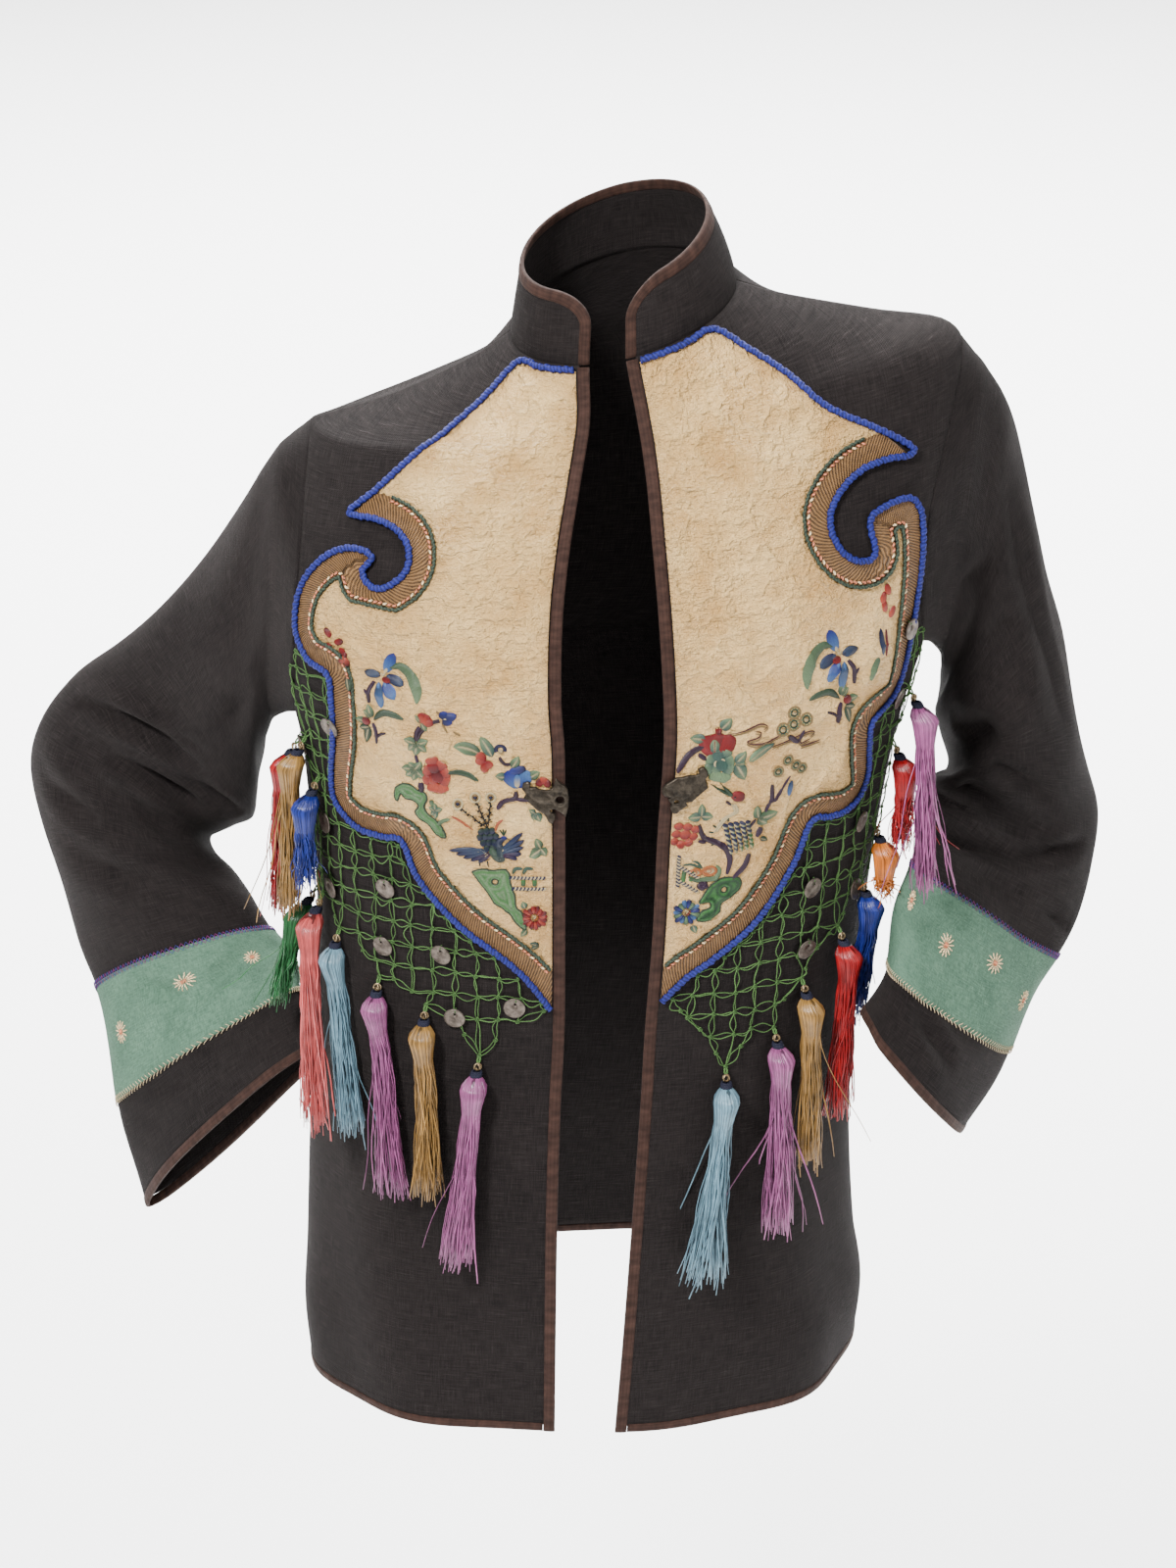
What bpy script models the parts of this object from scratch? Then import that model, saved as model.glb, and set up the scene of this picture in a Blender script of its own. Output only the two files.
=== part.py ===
"""Hmong embroidered jacket, worn open with both hands on the hips.

Metres, +Z up, the wearer faces -Y and +X is the wearer's left. The origin is
the centre of the neck base, where the wearer's shoulders carry the jacket.

Every cloth is a grid of points on the worn form. A place on a front panel is
given as (across, drop): across is the distance round from the panel's own
front edge, and drop is the fall from the neck seam. What is sewn on a panel is
cut along that panel's facets and moved out, so it lies flat on the cloth.
"""
import math
from functools import lru_cache

import bmesh
import bpy
import numpy as np
from mathutils import Vector
from mathutils.geometry import delaunay_2d_cdt

RIGHT, LEFT = -1, 1      # wearer's sides
NAMES = {RIGHT: "right", LEFT: "left"}

# Driving sizes
CLOTH = 0.0016           # cotton twill wall
SEAM = 0.0003            # space between two pieces at a seam
JACKET_LENGTH = 0.660    # neck seam to hem
SHOULDER_DROP = 0.042    # neck seam to shoulder tip
COLLAR_HEIGHT = 0.041
FRONT_BINDING = 0.0070
HEM_BINDING = 0.0055
CUFF_BINDING = 0.0060
COLLAR_BINDING = 0.0065
BINDING_WALL = 0.0028    # folded binding, outside to inside
APPLIQUE = 0.0008        # satin and ribbon thickness
APPLIQUE_LIFT = 0.0003
APPLIQUE_EDGE = 0.0006   # the satin ends under the cord, this far inside its line
RIBBON_WIDTH = 0.0140    # woven ribbon inside the cord
CORD_WIDTH = 0.0038      # couched cord round the satin
CORD_WALL = 0.0013
CORD_LIFT = 0.0020
BAND_LIFT = 0.0004       # linen band round each sleeve
NET_PITCH = (0.0129, 0.0140)
NET_CORD = 0.0018
NET_WALL = 0.0008
NET_LIFT = 0.0007
NET_PULL = 0.018         # farthest a tassel draws its knot of the net
TASSEL_STRANDS = 5
COLLAR_LEAN = {RIGHT: 0.006, LEFT: 0.016}  # how far the collar leans in at its top
COLLAR_ROUND = (0.028, 0.020)  # rounding of its front corners, along and up

UNDERARM = {RIGHT: 0.235, LEFT: 0.205}

# Sections of the body, level rings that roll with the shoulders and fall away
# behind the shoulder seam
BODY_COLUMNS = ("drop", "lean", "half_width", "front", "back", "roll", "pitch", "square", "fall")
BODY_RINGS = (
    (0.0000, 0.0000, 0.0645, 0.055, 0.060, 0.230, 0.29, 2.0, 0.00),
    (0.0115, 0.0020, 0.0900, 0.061, 0.063, 0.210, 0.27, 2.0, 0.52),
    (0.0270, 0.0050, 0.1400, 0.068, 0.067, 0.180, 0.22, 2.1, 0.47),
    (0.0345, 0.0060, 0.1750, 0.073, 0.069, 0.160, 0.19, 2.1, 0.43),
    (0.0420, 0.0070, 0.1870, 0.077, 0.073, 0.133, 0.16, 2.2, 0.39),
    (0.0700, 0.0020, 0.1960, 0.094, 0.088, 0.120, 0.10, 2.4, 0.27),
    (0.1000, -0.0040, 0.2000, 0.110, 0.102, 0.100, 0.06, 2.5, 0.13),
    (0.1400, -0.0090, 0.1990, 0.126, 0.108, 0.080, 0.03, 2.6, 0.00),
    (0.1900, -0.0115, 0.1900, 0.135, 0.110, 0.050, 0.00, 2.7, 0.00),
    (0.2350, -0.0125, 0.1780, 0.135, 0.106, 0.040, 0.00, 2.7, 0.00),
    (0.2800, -0.0144, 0.1720, 0.130, 0.100, 0.030, 0.00, 2.6, 0.00),
    (0.3600, -0.0177, 0.1650, 0.125, 0.094, 0.020, 0.00, 2.5, 0.00),
    (0.4300, -0.0215, 0.1635, 0.125, 0.094, 0.020, 0.00, 2.5, 0.00),
    (0.5000, -0.0250, 0.1645, 0.130, 0.102, 0.020, 0.00, 2.5, 0.00),
    (0.5800, -0.0252, 0.1680, 0.133, 0.114, 0.020, 0.00, 2.5, 0.00),
    (0.6200, -0.0240, 0.1720, 0.134, 0.119, 0.020, 0.00, 2.5, 0.00),
    (0.6600, -0.0244, 0.1690, 0.135, 0.122, 0.015, 0.00, 2.5, 0.00),
)
# Where each front edge hangs, measured across the wearer
EDGE_COLUMNS = ("drop", "right", "left")
FRONT_EDGES = (
    (0.000, -0.0195, 0.0010),
    (0.030, -0.0190, 0.0070),
    (0.063, -0.0240, 0.0120),
    (0.100, -0.0300, 0.0155),
    (0.140, -0.0340, 0.0190),
    (0.190, -0.0348, 0.0220),
    (0.220, -0.0330, 0.0225),
    (0.275, -0.0328, 0.0195),
    (0.340, -0.0330, 0.0170),
    (0.400, -0.0336, 0.0130),
    (0.450, -0.0360, 0.0105),
    (0.520, -0.0380, 0.0060),
    (0.600, -0.0392, 0.0005),
    (0.660, -0.0400, -0.0040),
)
# Armhole seam: half width of the panels from shoulder tip to underarm
ARMHOLE_COLUMNS = ("part", "right", "left")
ARMHOLE = (
    (0.00, 0.1870, 0.1870),
    (0.15, 0.1835, 0.1850),
    (0.30, 0.1795, 0.1820),
    (0.50, 0.1775, 0.1790),
    (0.72, 0.1775, 0.1800),
    (1.00, 0.1780, 0.1864),
)
PANEL_ROWS = (
    0.0, 0.0080, 0.0180, 0.0300, 0.0420, 0.0560, 0.0740, 0.0960, 0.1200, 0.1450,
    0.1730, 0.2050, 0.2350, 0.2750, 0.3200, 0.3700, 0.4300, 0.5000, 0.5800, 0.6600,
)
FRONT_COLUMNS = 7
BACK_COLUMNS = 11

# Sleeve sections from the armhole to the cuff: the outer and the inner fold
# of the tube, the cloth's girth there and how far the section tips forward
SLEEVE_COLUMNS = ("out_x", "out_y", "out_z", "in_x", "in_y", "in_z", "girth", "tip")
SLEEVES = {
    RIGHT: (
        (-0.200, 0.014, -0.089, -0.209, 0.008, -0.258, 0.46, 22),
        (-0.220, 0.028, -0.123, -0.214, 0.018, -0.275, 0.43, 22),
        (-0.245, 0.042, -0.163, -0.218, 0.032, -0.295, 0.40, 22),
        (-0.274, 0.060, -0.201, -0.222, 0.046, -0.318, 0.385, 22),
        (-0.306, 0.080, -0.235, -0.226, 0.058, -0.341, 0.375, 22),
        (-0.336, 0.098, -0.263, -0.239, 0.070, -0.352, 0.37, 22),
        (-0.359, 0.112, -0.294, -0.250, 0.077, -0.358, 0.37, 22),
        (-0.368, 0.118, -0.326, -0.254, 0.078, -0.363, 0.37, 22),
        (-0.362, 0.112, -0.367, -0.250, 0.070, -0.369, 0.36, 24),
        (-0.352, 0.100, -0.402, -0.239, 0.056, -0.376, 0.36, 28),
        (-0.340, 0.085, -0.434, -0.225, 0.040, -0.386, 0.355, 32),
        (-0.328, 0.068, -0.460, -0.212, 0.020, -0.400, 0.35, 36),
        (-0.321, 0.050, -0.488, -0.200, 0.000, -0.408, 0.35, 34),
        (-0.313, 0.028, -0.520, -0.194, -0.022, -0.420, 0.352, 32),
        (-0.304, 0.008, -0.548, -0.187, -0.044, -0.430, 0.358, 40),
        (-0.295, -0.008, -0.574, -0.181, -0.064, -0.441, 0.363, 46),
    ),
    LEFT: (
        (0.208, 0.012, -0.038, 0.189, 0.006, -0.215, 0.46, 22),
        (0.224, 0.020, -0.066, 0.190, 0.014, -0.229, 0.43, 22),
        (0.234, 0.030, -0.099, 0.191, 0.022, -0.243, 0.40, 22),
        (0.244, 0.040, -0.142, 0.189, 0.030, -0.258, 0.385, 22),
        (0.254, 0.050, -0.182, 0.192, 0.036, -0.273, 0.375, 22),
        (0.266, 0.060, -0.223, 0.196, 0.038, -0.286, 0.37, 22),
        (0.276, 0.070, -0.271, 0.199, 0.036, -0.294, 0.37, 21),
        (0.286, 0.074, -0.312, 0.196, 0.028, -0.297, 0.37, 20),
        (0.294, 0.070, -0.343, 0.187, 0.012, -0.293, 0.36, 19),
        (0.292, 0.058, -0.371, 0.177, -0.010, -0.294, 0.36, 18),
        (0.282, 0.040, -0.394, 0.172, -0.034, -0.301, 0.355, 16),
        (0.267, 0.016, -0.414, 0.170, -0.056, -0.322, 0.35, 14),
        (0.251, -0.008, -0.430, 0.161, -0.075, -0.345, 0.35, 12),
        (0.235, -0.030, -0.453, 0.155, -0.092, -0.372, 0.352, 11),
        (0.221, -0.050, -0.472, 0.147, -0.104, -0.387, 0.358, 11),
        (0.205, -0.069, -0.490, 0.140, -0.114, -0.396, 0.363, 12),
    ),
}
SLEEVE_ROWS = (0, 1, 2, 3.2, 4.4, 5.4, 6.2, 7, 7.8, 8.6, 9.8, 11, 12, 13, 14, 15)
SLEEVE_AROUND = 16
LINEN_BAND = (11, 13)    # sections between which the linen band runs
# Largest folds, as troughs: section, turn round the sleeve (degrees, 0 outer,
# 90 front, 180 inner), half reach, half width in sections, depth and slant
FOLD_COLUMNS = ("section", "turn", "reach", "width", "depth", "slant")
FOLDS = {
    RIGHT: (
        (7.2, 95, 65, 0.75, 0.009, -1.2),
        (5.4, 105, 55, 0.60, 0.006, -0.8),
        (8.8, 125, 45, 0.60, 0.005, 0.6),
        (7.0, 250, 60, 0.70, 0.006, 0.8),
        (12.4, 60, 40, 0.60, 0.003, 0.5),
    ),
    LEFT: (
        (7.0, 110, 55, 0.70, 0.008, -0.8),
        (8.6, 100, 65, 0.60, 0.007, -0.9),
        (10.2, 95, 65, 0.60, 0.006, -0.8),
        (5.4, 140, 50, 0.60, 0.004, -0.5),
        (7.6, 265, 50, 0.80, 0.004, 0.5),
    ),
}

# Outline of the satin, a point for each bend on each front in millimetres;
# the ribbon edges it where ribbon is 1
OUTLINE_COLUMNS = ("right_across", "right_drop", "left_across", "left_drop", "ribbon")
OUTLINE = (
    (8.2, 2.6, 8.2, 2.6, 0),
    (30.0, 2.6, 34.0, 2.6, 0),
    (46.0, 3.0, 54.0, 3.0, 0),
    (64.0, 17.0, 71.5, 15.5, 0),
    (86.0, 33.0, 88.0, 28.0, 0),
    (103.0, 49.0, 109.0, 46.0, 0),
    (118.0, 64.0, 131.0, 60.0, 0),
    (130.0, 74.5, 153.0, 75.5, 0),
    (130.5, 78.5, 152.5, 80.0, 1),
    (115.0, 80.0, 139.0, 78.5, 1),
    (102.0, 85.0, 123.0, 80.0, 1),
    (93.0, 94.0, 110.0, 87.0, 1),
    (90.5, 105.5, 101.5, 98.0, 1),
    (95.0, 114.0, 101.0, 110.0, 1),
    (106.0, 120.0, 107.0, 121.5, 1),
    (114.5, 116.5, 117.0, 128.0, 1),
    (117.5, 110.0, 126.5, 126.0, 1),
    (113.0, 102.5, 124.5, 108.0, 1),
    (121.0, 98.0, 134.0, 102.5, 1),
    (134.0, 99.5, 149.0, 101.5, 1),
    (147.0, 108.5, 157.0, 107.5, 1),
    (158.0, 123.5, 160.5, 119.0, 1),
    (163.0, 141.0, 161.0, 140.0, 1),
    (162.5, 157.0, 158.0, 172.0, 1),
    (153.0, 171.0, 155.0, 200.0, 1),
    (138.0, 178.0, 148.0, 214.0, 1),
    (136.5, 196.0, 128.0, 223.0, 1),
    (139.0, 218.0, 129.0, 240.0, 1),
    (144.5, 247.0, 133.0, 258.0, 1),
    (143.0, 264.0, 128.0, 271.0, 1),
    (127.0, 277.5, 115.0, 277.0, 1),
    (108.0, 280.0, 103.0, 277.0, 1),
    (95.0, 280.5, 91.0, 277.5, 1),
    (85.0, 304.0, 81.0, 303.0, 1),
    (62.0, 331.0, 61.0, 334.0, 1),
    (36.0, 351.5, 36.0, 356.0, 1),
    (22.0, 365.0, 22.0, 366.0, 1),
    (8.2, 384.0, 8.2, 381.0, 1),
)
# Tassels on each front in millimetres: where it hangs, its length, the flare
# of its skirt, how far its end swings across and fore-and-aft, and its colour
TASSEL_COLUMNS = ("across", "drop", "length", "flare", "swing_x", "swing_y", "colour")
TASSELS = {
    RIGHT: (
        (193, 239, 106, 1.0, -4, 0, "red"),
        (177, 232, 104, 1.0, -3, 0, "gold"),
        (162, 254, 60, 1.0, 0, -8, "navy"),
        (191, 358, 62, 1.0, -15, -20, "green"),
        (168, 337, 118, 1.2, 6, -62, "salmon"),
        (147, 353, 116, 1.3, 24, -16, "sky"),
        (113, 374, 126, 1.5, 22, -6, "mauve"),
        (82, 386, 112, 1.3, 8, -2, "gold"),
        (49, 415, 126, 1.6, -12, -2, "mauve"),
    ),
    LEFT: (
        (171, 217, 106, 1.0, 0, -38, "mauve"),
        (162, 248, 60, 1.0, -4, -8, "red"),
        (151, 298, 38, 1.0, -3, -8, "gold"),
        (142, 331, 84, 1.0, -10, -2, "navy"),
        (122, 355, 112, 1.3, -8, -4, "red"),
        (95, 380, 112, 1.2, -1, -2, "gold"),
        (78, 407, 124, 1.3, -2, -2, "mauve"),
        (49, 427, 126, 2.2, -20, -2, "sky"),
    ),
}
# Lower edge of the knotted net, from its end by the front edge to the side
NET_EDGE_COLUMNS = ("right_across", "right_drop", "left_across", "left_drop")
NET_EDGE = (
    (14, 381, 14, 380),
    (32, 395, 30, 400),
    (49, 415, 49, 427),
    (64, 397, 64, 404),
    (82, 386, 79, 407),
    (98, 373, 86, 384),
    (113, 374, 93, 380),
    (132, 355, 108, 359),
    (147, 353, 122, 355),
    (160, 340, 141, 333),
    (176, 338, 156, 330),
    (180, 314, 170, 308),
    (174, 296, 170, 284),
    (170, 268, 170, 256),
    (182, 244, 176, 226),
    (184, 214, 180, 203),
)

# Clasp halves: outline of each worn cast plate over its front, across and drop
# in millimetres, and its eye: middle and radius
CLASP_OUTLINE = {
    RIGHT: (
        (5.3, 234.4), (2.1, 237.6), (-0.2, 239.0), (-1.5, 241.7), (-2.0, 246.7), (-1.8, 252.1),
        (-0.2, 259.0), (2.1, 256.2), (6.1, 253.5), (8.6, 254.0), (8.0, 255.8), (5.5, 256.7),
        (5.7, 260.3), (7.6, 263.5), (9.4, 262.1), (11.9, 256.7), (15.1, 254.9), (18.2, 251.7),
        (21.0, 249.0), (23.5, 246.5), (22.1, 244.0), (24.3, 240.8), (23.7, 237.1), (21.0, 236.0),
        (19.2, 237.1), (19.6, 239.7), (16.6, 239.4), (14.7, 240.8), (10.8, 241.7), (8.6, 241.2),
        (6.8, 239.4),
    ),
    LEFT: (
        (0.1, 243.7), (2.1, 240.9), (8.1, 237.5), (10.3, 237.7), (14.1, 236.8), (18.5, 237.0),
        (20.6, 236.1), (19.7, 233.6), (21.3, 232.4), (23.3, 232.4), (25.1, 234.5), (25.9, 237.7),
        (24.5, 239.6), (25.3, 241.9), (26.3, 245.1), (22.9, 248.1), (17.7, 253.4), (14.1, 253.4),
        (15.7, 255.7), (12.5, 257.5), (9.7, 260.3), (7.1, 259.8), (5.5, 256.1), (6.3, 253.8),
        (4.1, 251.1), (5.6, 249.7), (2.5, 248.8), (0.5, 246.9),
    ),
}
CLASP_EYE = {RIGHT: (3.0, 247.5, 2.4), LEFT: (8.9, 252.4, 1.3)}
CLASP_WALL = 0.0020

COLOURS = {
    "cloth": (0.024, 0.021, 0.020),
    "binding": (0.070, 0.030, 0.020),
    "satin": (0.72, 0.60, 0.41),
    "ribbon": (0.26, 0.15, 0.06),
    "cord": (0.030, 0.070, 0.35),
    "linen": (0.12, 0.28, 0.20),
    "net": (0.16, 0.32, 0.11),
    "bronze": (0.07, 0.06, 0.04),
    "red": (0.42, 0.03, 0.03),
    "gold": (0.55, 0.36, 0.12),
    "navy": (0.03, 0.08, 0.30),
    "green": (0.06, 0.28, 0.11),
    "salmon": (0.68, 0.20, 0.17),
    "sky": (0.26, 0.42, 0.55),
    "mauve": (0.40, 0.19, 0.38),
}


def column(rows, names, wanted, at, key=0):
    """Value of one table column, smooth between the table's rows."""
    where = [row[key] for row in rows]
    value = [row[names.index(wanted)] for row in rows]
    at = min(max(at, where[0]), where[-1])
    i = min(max(int(np.searchsorted(where, at)) - 1, 0), len(where) - 2)
    step = where[i + 1] - where[i]
    t = (at - where[i]) / step

    def slope(k):
        low, high = max(k - 1, 0), min(k + 1, len(where) - 1)
        return (value[high] - value[low]) / (where[high] - where[low]) * step

    return (
        (2 * t**3 - 3 * t**2 + 1) * value[i]
        + (t**3 - 2 * t**2 + t) * slope(i)
        + (3 * t**2 - 2 * t**3) * value[i + 1]
        + (t**3 - t**2) * slope(i + 1)
    )


# The worn form: rings round the body
@lru_cache(maxsize=None)
def body_ring(drop):
    return {name: column(BODY_RINGS, BODY_COLUMNS, name, drop) for name in BODY_COLUMNS[1:]}


def body_point(turn, drop):
    """Point on the ring at this drop, turn in radians from centre front to the left."""
    ring = body_ring(drop)
    power = 2 / ring["square"]
    across, ahead = np.sin(turn), np.cos(turn)
    x = ring["half_width"] * np.sign(across) * np.abs(across) ** power
    depth = np.where(ahead > 0, ring["front"], ring["back"])
    y = -depth * np.sign(ahead) * np.abs(ahead) ** power
    z = -drop + ring["roll"] * x + ring["pitch"] * y - ring["fall"] * across**2 * np.maximum(y, 0)
    return np.stack([x + ring["lean"], y, z], -1)


def turn_at(drop, x, front=True):
    """Turn at which the ring passes x, on its front or its back half."""
    ring = body_ring(drop)
    part = max(-1.0, min(1.0, (x - ring["lean"]) / ring["half_width"]))
    turn = math.asin(math.copysign(abs(part) ** (ring["square"] / 2), part))
    if front:
        return turn
    return math.copysign(math.pi, turn) - turn


def edge_turn(side, drop):
    return turn_at(drop, column(FRONT_EDGES, EDGE_COLUMNS, NAMES[side], drop))


def outer_turn(side, drop, front=True):
    """Turn at which a panel ends: shoulder seam, armhole, then side seam."""
    if not SHOULDER_DROP < drop < UNDERARM[side]:
        return side * math.pi / 2
    part = (drop - SHOULDER_DROP) / (UNDERARM[side] - SHOULDER_DROP)
    half = column(ARMHOLE, ARMHOLE_COLUMNS, NAMES[side], part)
    return turn_at(drop, body_ring(drop)["lean"] + side * half, front)


@lru_cache(maxsize=None)
def span(drop, start, end):
    """Turns from start to end and the distance run along the ring to each."""
    turns = np.linspace(start, end, 129)
    points = body_point(turns, drop)
    steps = np.linalg.norm(np.diff(points, axis=0), axis=1)
    return turns, np.concatenate([[0.0], np.cumsum(steps)])


def between(drop, start, end, part):
    """Point part of the way along the ring from start to end."""
    turns, run = span(drop, start, end)
    return body_point(np.interp(part * run[-1], run, turns), drop)


def front_width(side, drop):
    return span(drop, edge_turn(side, drop), outer_turn(side, drop))[1][-1]


class Cloth:
    """A sheet of cloth as a grid of points, u counting columns and v rows."""

    def __init__(self, points, ways, loop=False):
        self.points = np.array(points)
        self.ways = np.array(ways)
        self.rows = self.points.shape[0] - 1
        self.columns = self.points.shape[1] - (0 if loop else 1)

    def at(self, u, v, lift=0.0):
        """Point on the facets, lift out from the cloth."""
        i = min(max(int(math.floor(v)), 0), self.rows - 1)
        j = min(max(int(math.floor(u)), 0), self.columns - 1)
        k = (j + 1) % self.points.shape[1]
        s, t = u - j, v - i
        if s >= t:
            weights = ((i, j, 1 - s), (i, k, s - t), (i + 1, k, t))
        else:
            weights = ((i, j, 1 - t), (i + 1, j, t - s), (i + 1, k, s))
        return sum(w * (self.points[a, b] + lift * self.ways[a, b]) for a, b, w in weights)


def material(name):
    found = bpy.data.materials.get(name)
    if found:
        return found
    made = bpy.data.materials.new(name)
    made.use_nodes = True
    shader = made.node_tree.nodes["Principled BSDF"]
    shader.inputs["Base Color"].default_value = (*COLOURS[name], 1.0)
    shader.inputs["Roughness"].default_value = 0.4 if name in ("satin", "bronze") else 0.85
    shader.inputs["Metallic"].default_value = 1.0 if name == "bronze" else 0.0
    return made


def add_piece(name, mesh, look):
    bmesh.ops.recalc_face_normals(mesh, faces=mesh.faces)
    if mesh.calc_volume(signed=True) < 0:
        bmesh.ops.reverse_faces(mesh, faces=mesh.faces)
    data = bpy.data.meshes.new(name)
    mesh.to_mesh(data)
    mesh.free()
    data.materials.append(material(look))
    piece = bpy.data.objects.new(name, data)
    bpy.context.scene.collection.objects.link(piece)
    return piece


def cut_piece(name, cloth, outlines, low, high, look, follow=True):
    """Piece cut to outlines given in grid counts, then bent over the cloth's facets.

    Its wall runs from low to high, measured out from the cloth.
    """
    mesh = bmesh.new()
    for outline in outlines:
        mesh.faces.new([mesh.verts.new((u, v, 0.0)) for u, v in outline])
    bmesh.ops.remove_doubles(mesh, verts=mesh.verts, dist=1e-5)
    if follow:
        for k in range(1, cloth.columns):
            slice_piece(mesh, (k, 0, 0), (1, 0, 0))
        for k in range(1, cloth.rows):
            slice_piece(mesh, (0, k, 0), (0, 1, 0))
        for k in range(-cloth.rows, cloth.columns):
            slice_piece(mesh, (k, 0, 0), (1, -1, 0))
    copy = bmesh.ops.extrude_face_region(mesh, geom=mesh.faces[:], use_keep_orig=True)
    for item in copy["geom"]:
        if isinstance(item, bmesh.types.BMVert):
            item.co.z = 1.0
    for vert in mesh.verts:
        vert.co = cloth.at(vert.co.x, vert.co.y, low + vert.co.z * (high - low))
    return add_piece(name, mesh, look)


def slice_piece(mesh, place, way):
    bmesh.ops.bisect_plane(
        mesh, geom=mesh.verts[:] + mesh.edges[:] + mesh.faces[:], dist=1e-5, plane_co=place, plane_no=way
    )


def tube_piece(name, cloth, first, last, low, high, look):
    """Piece running round a sleeve between two places along it, in grid counts."""
    rows = [first] + list(range(math.floor(first) + 1, math.ceil(last))) + [last]
    mesh = bmesh.new()
    layers = [[[mesh.verts.new(cloth.at(u, row, lift)) for u in range(cloth.columns)] for row in rows] for lift in (low, high)]
    for u in range(cloth.columns):
        w = (u + 1) % cloth.columns
        for layer in layers:
            for one, two in zip(layer, layer[1:]):
                mesh.faces.new((one[u], one[w], two[w]))
                mesh.faces.new((one[u], two[w], two[u]))
        for end in (0, -1):
            inside, outside = layers[0][end], layers[1][end]
            mesh.faces.new((inside[u], inside[w], outside[w], outside[u]))
    return add_piece(name, mesh, look)


# Grids of the front and back panels
def body_cloth(turns_at, columns):
    points, ways = [], []
    for drop in PANEL_ROWS:
        start, end = turns_at(drop)
        turns, run = span(drop, start, end)
        turns = np.interp(np.linspace(0.0, run[-1], columns + 1), run, turns)
        points.append(body_point(turns, drop))
        ways.append([body_way(turn, drop) for turn in turns])
    return Cloth(points, ways)


def body_way(turn, drop):
    """Direction straight out from the worn form."""
    low, high = max(drop - 0.003, 0.0), min(drop + 0.003, JACKET_LENGTH)
    round_body = body_point(turn + 0.03, drop) - body_point(turn - 0.03, drop)
    down_body = body_point(turn, high) - body_point(turn, low)
    way = np.cross(down_body, round_body)
    return way / np.linalg.norm(way)


def front_cloth(side):
    return body_cloth(lambda drop: (edge_turn(side, drop), outer_turn(side, drop)), FRONT_COLUMNS)


def back_turns(drop):
    return outer_turn(RIGHT, drop, front=False) + 2 * math.pi, outer_turn(LEFT, drop, front=False)


def row_of(drop):
    return float(np.interp(drop, PANEL_ROWS, range(len(PANEL_ROWS))))


def on_front(side, across, drop):
    """Grid counts of a place on a front panel."""
    return FRONT_COLUMNS * across / front_width(side, drop), row_of(drop)


def front_strip(side, inner, outer, top=0.0, bottom=JACKET_LENGTH):
    """Outline between two distances from the front edge; outer None reaches the far seam."""
    drops = [d for d in PANEL_ROWS if top < d < bottom]
    drops = [top] + drops + [bottom]

    def far(drop):
        return front_width(side, drop) - SEAM / 2 if outer is None else outer

    down = [on_front(side, inner, d) for d in drops]
    up = [on_front(side, far(d), d) for d in reversed(drops)]
    return down + up


def build_front(side, cloth):
    hem = JACKET_LENGTH - HEM_BINDING
    fold = (BINDING_WALL - CLOTH) / 2
    name = NAMES[side]
    cut_piece(
        f"front_{name}", cloth, [front_strip(side, FRONT_BINDING + SEAM, None, 0.0, hem - SEAM)], -CLOTH, 0.0, "cloth"
    )
    cut_piece(
        f"front_binding_{name}", cloth, [front_strip(side, 0.0, FRONT_BINDING, 4 * SEAM)],
        -CLOTH - fold, fold, "binding",
    )
    cut_piece(
        f"hem_binding_front_{name}", cloth, [front_strip(side, FRONT_BINDING + SEAM, None, hem)],
        -CLOTH - fold, fold, "binding",
    )


def build_back():
    cloth = body_cloth(back_turns, BACK_COLUMNS)
    hem = JACKET_LENGTH - HEM_BINDING
    fold = (BINDING_WALL - CLOTH) / 2

    def strip(top, bottom):
        drops = [top] + [d for d in PANEL_ROWS if top < d < bottom] + [bottom]
        inset = [BACK_COLUMNS * SEAM / 2 / span(d, *back_turns(d))[1][-1] for d in drops]
        down = [(i, row_of(d)) for i, d in zip(inset, drops)]
        return down + [(BACK_COLUMNS - u, v) for u, v in reversed(down)]

    cut_piece("back", cloth, [strip(0.0, hem - SEAM)], -CLOTH, 0.0, "cloth")
    cut_piece("hem_binding_back", cloth, [strip(hem, JACKET_LENGTH)], -CLOTH - fold, fold, "binding")


# Sleeves
def armhole_ring(side):
    """Armhole seam from the shoulder tip down the front and up the back, and the way out there.

    Its corners are those of the panels, so that sleeve and panels run side by side.
    """
    half = SLEEVE_AROUND // 2
    ring, ways = [], []
    for front in (True, False):
        drops = [d for d in PANEL_ROWS if SHOULDER_DROP <= d <= UNDERARM[side]]
        turns = [outer_turn(side, d, front) for d in drops]
        path = [body_point(t, d) for t, d in zip(turns, drops)]
        out = [body_way(t, d) for t, d in zip(turns, drops)]
        while len(path) <= half:
            steps = np.linalg.norm(np.diff(path, axis=0), axis=1)
            k = int(np.argmax(steps))
            path.insert(k + 1, (path[k] + path[k + 1]) / 2)
            out.insert(k + 1, (out[k] + out[k + 1]) / 2)
        order = range(half) if front else range(half, 0, -1)
        ring += [path[k] for k in order]
        ways += [out[k] for k in order]
    ring, ways = np.array(ring), np.array(ways)
    away = np.cross(ways, np.roll(ring, -1, axis=0) - np.roll(ring, 1, axis=0))
    away /= np.linalg.norm(away, axis=1, keepdims=True)
    away *= np.sign(np.sum(away * (ring.mean(axis=0) - ring), axis=1, keepdims=True))
    return ring + 1.5 * SEAM * away + 0.5 * SEAM * ways, ways


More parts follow.
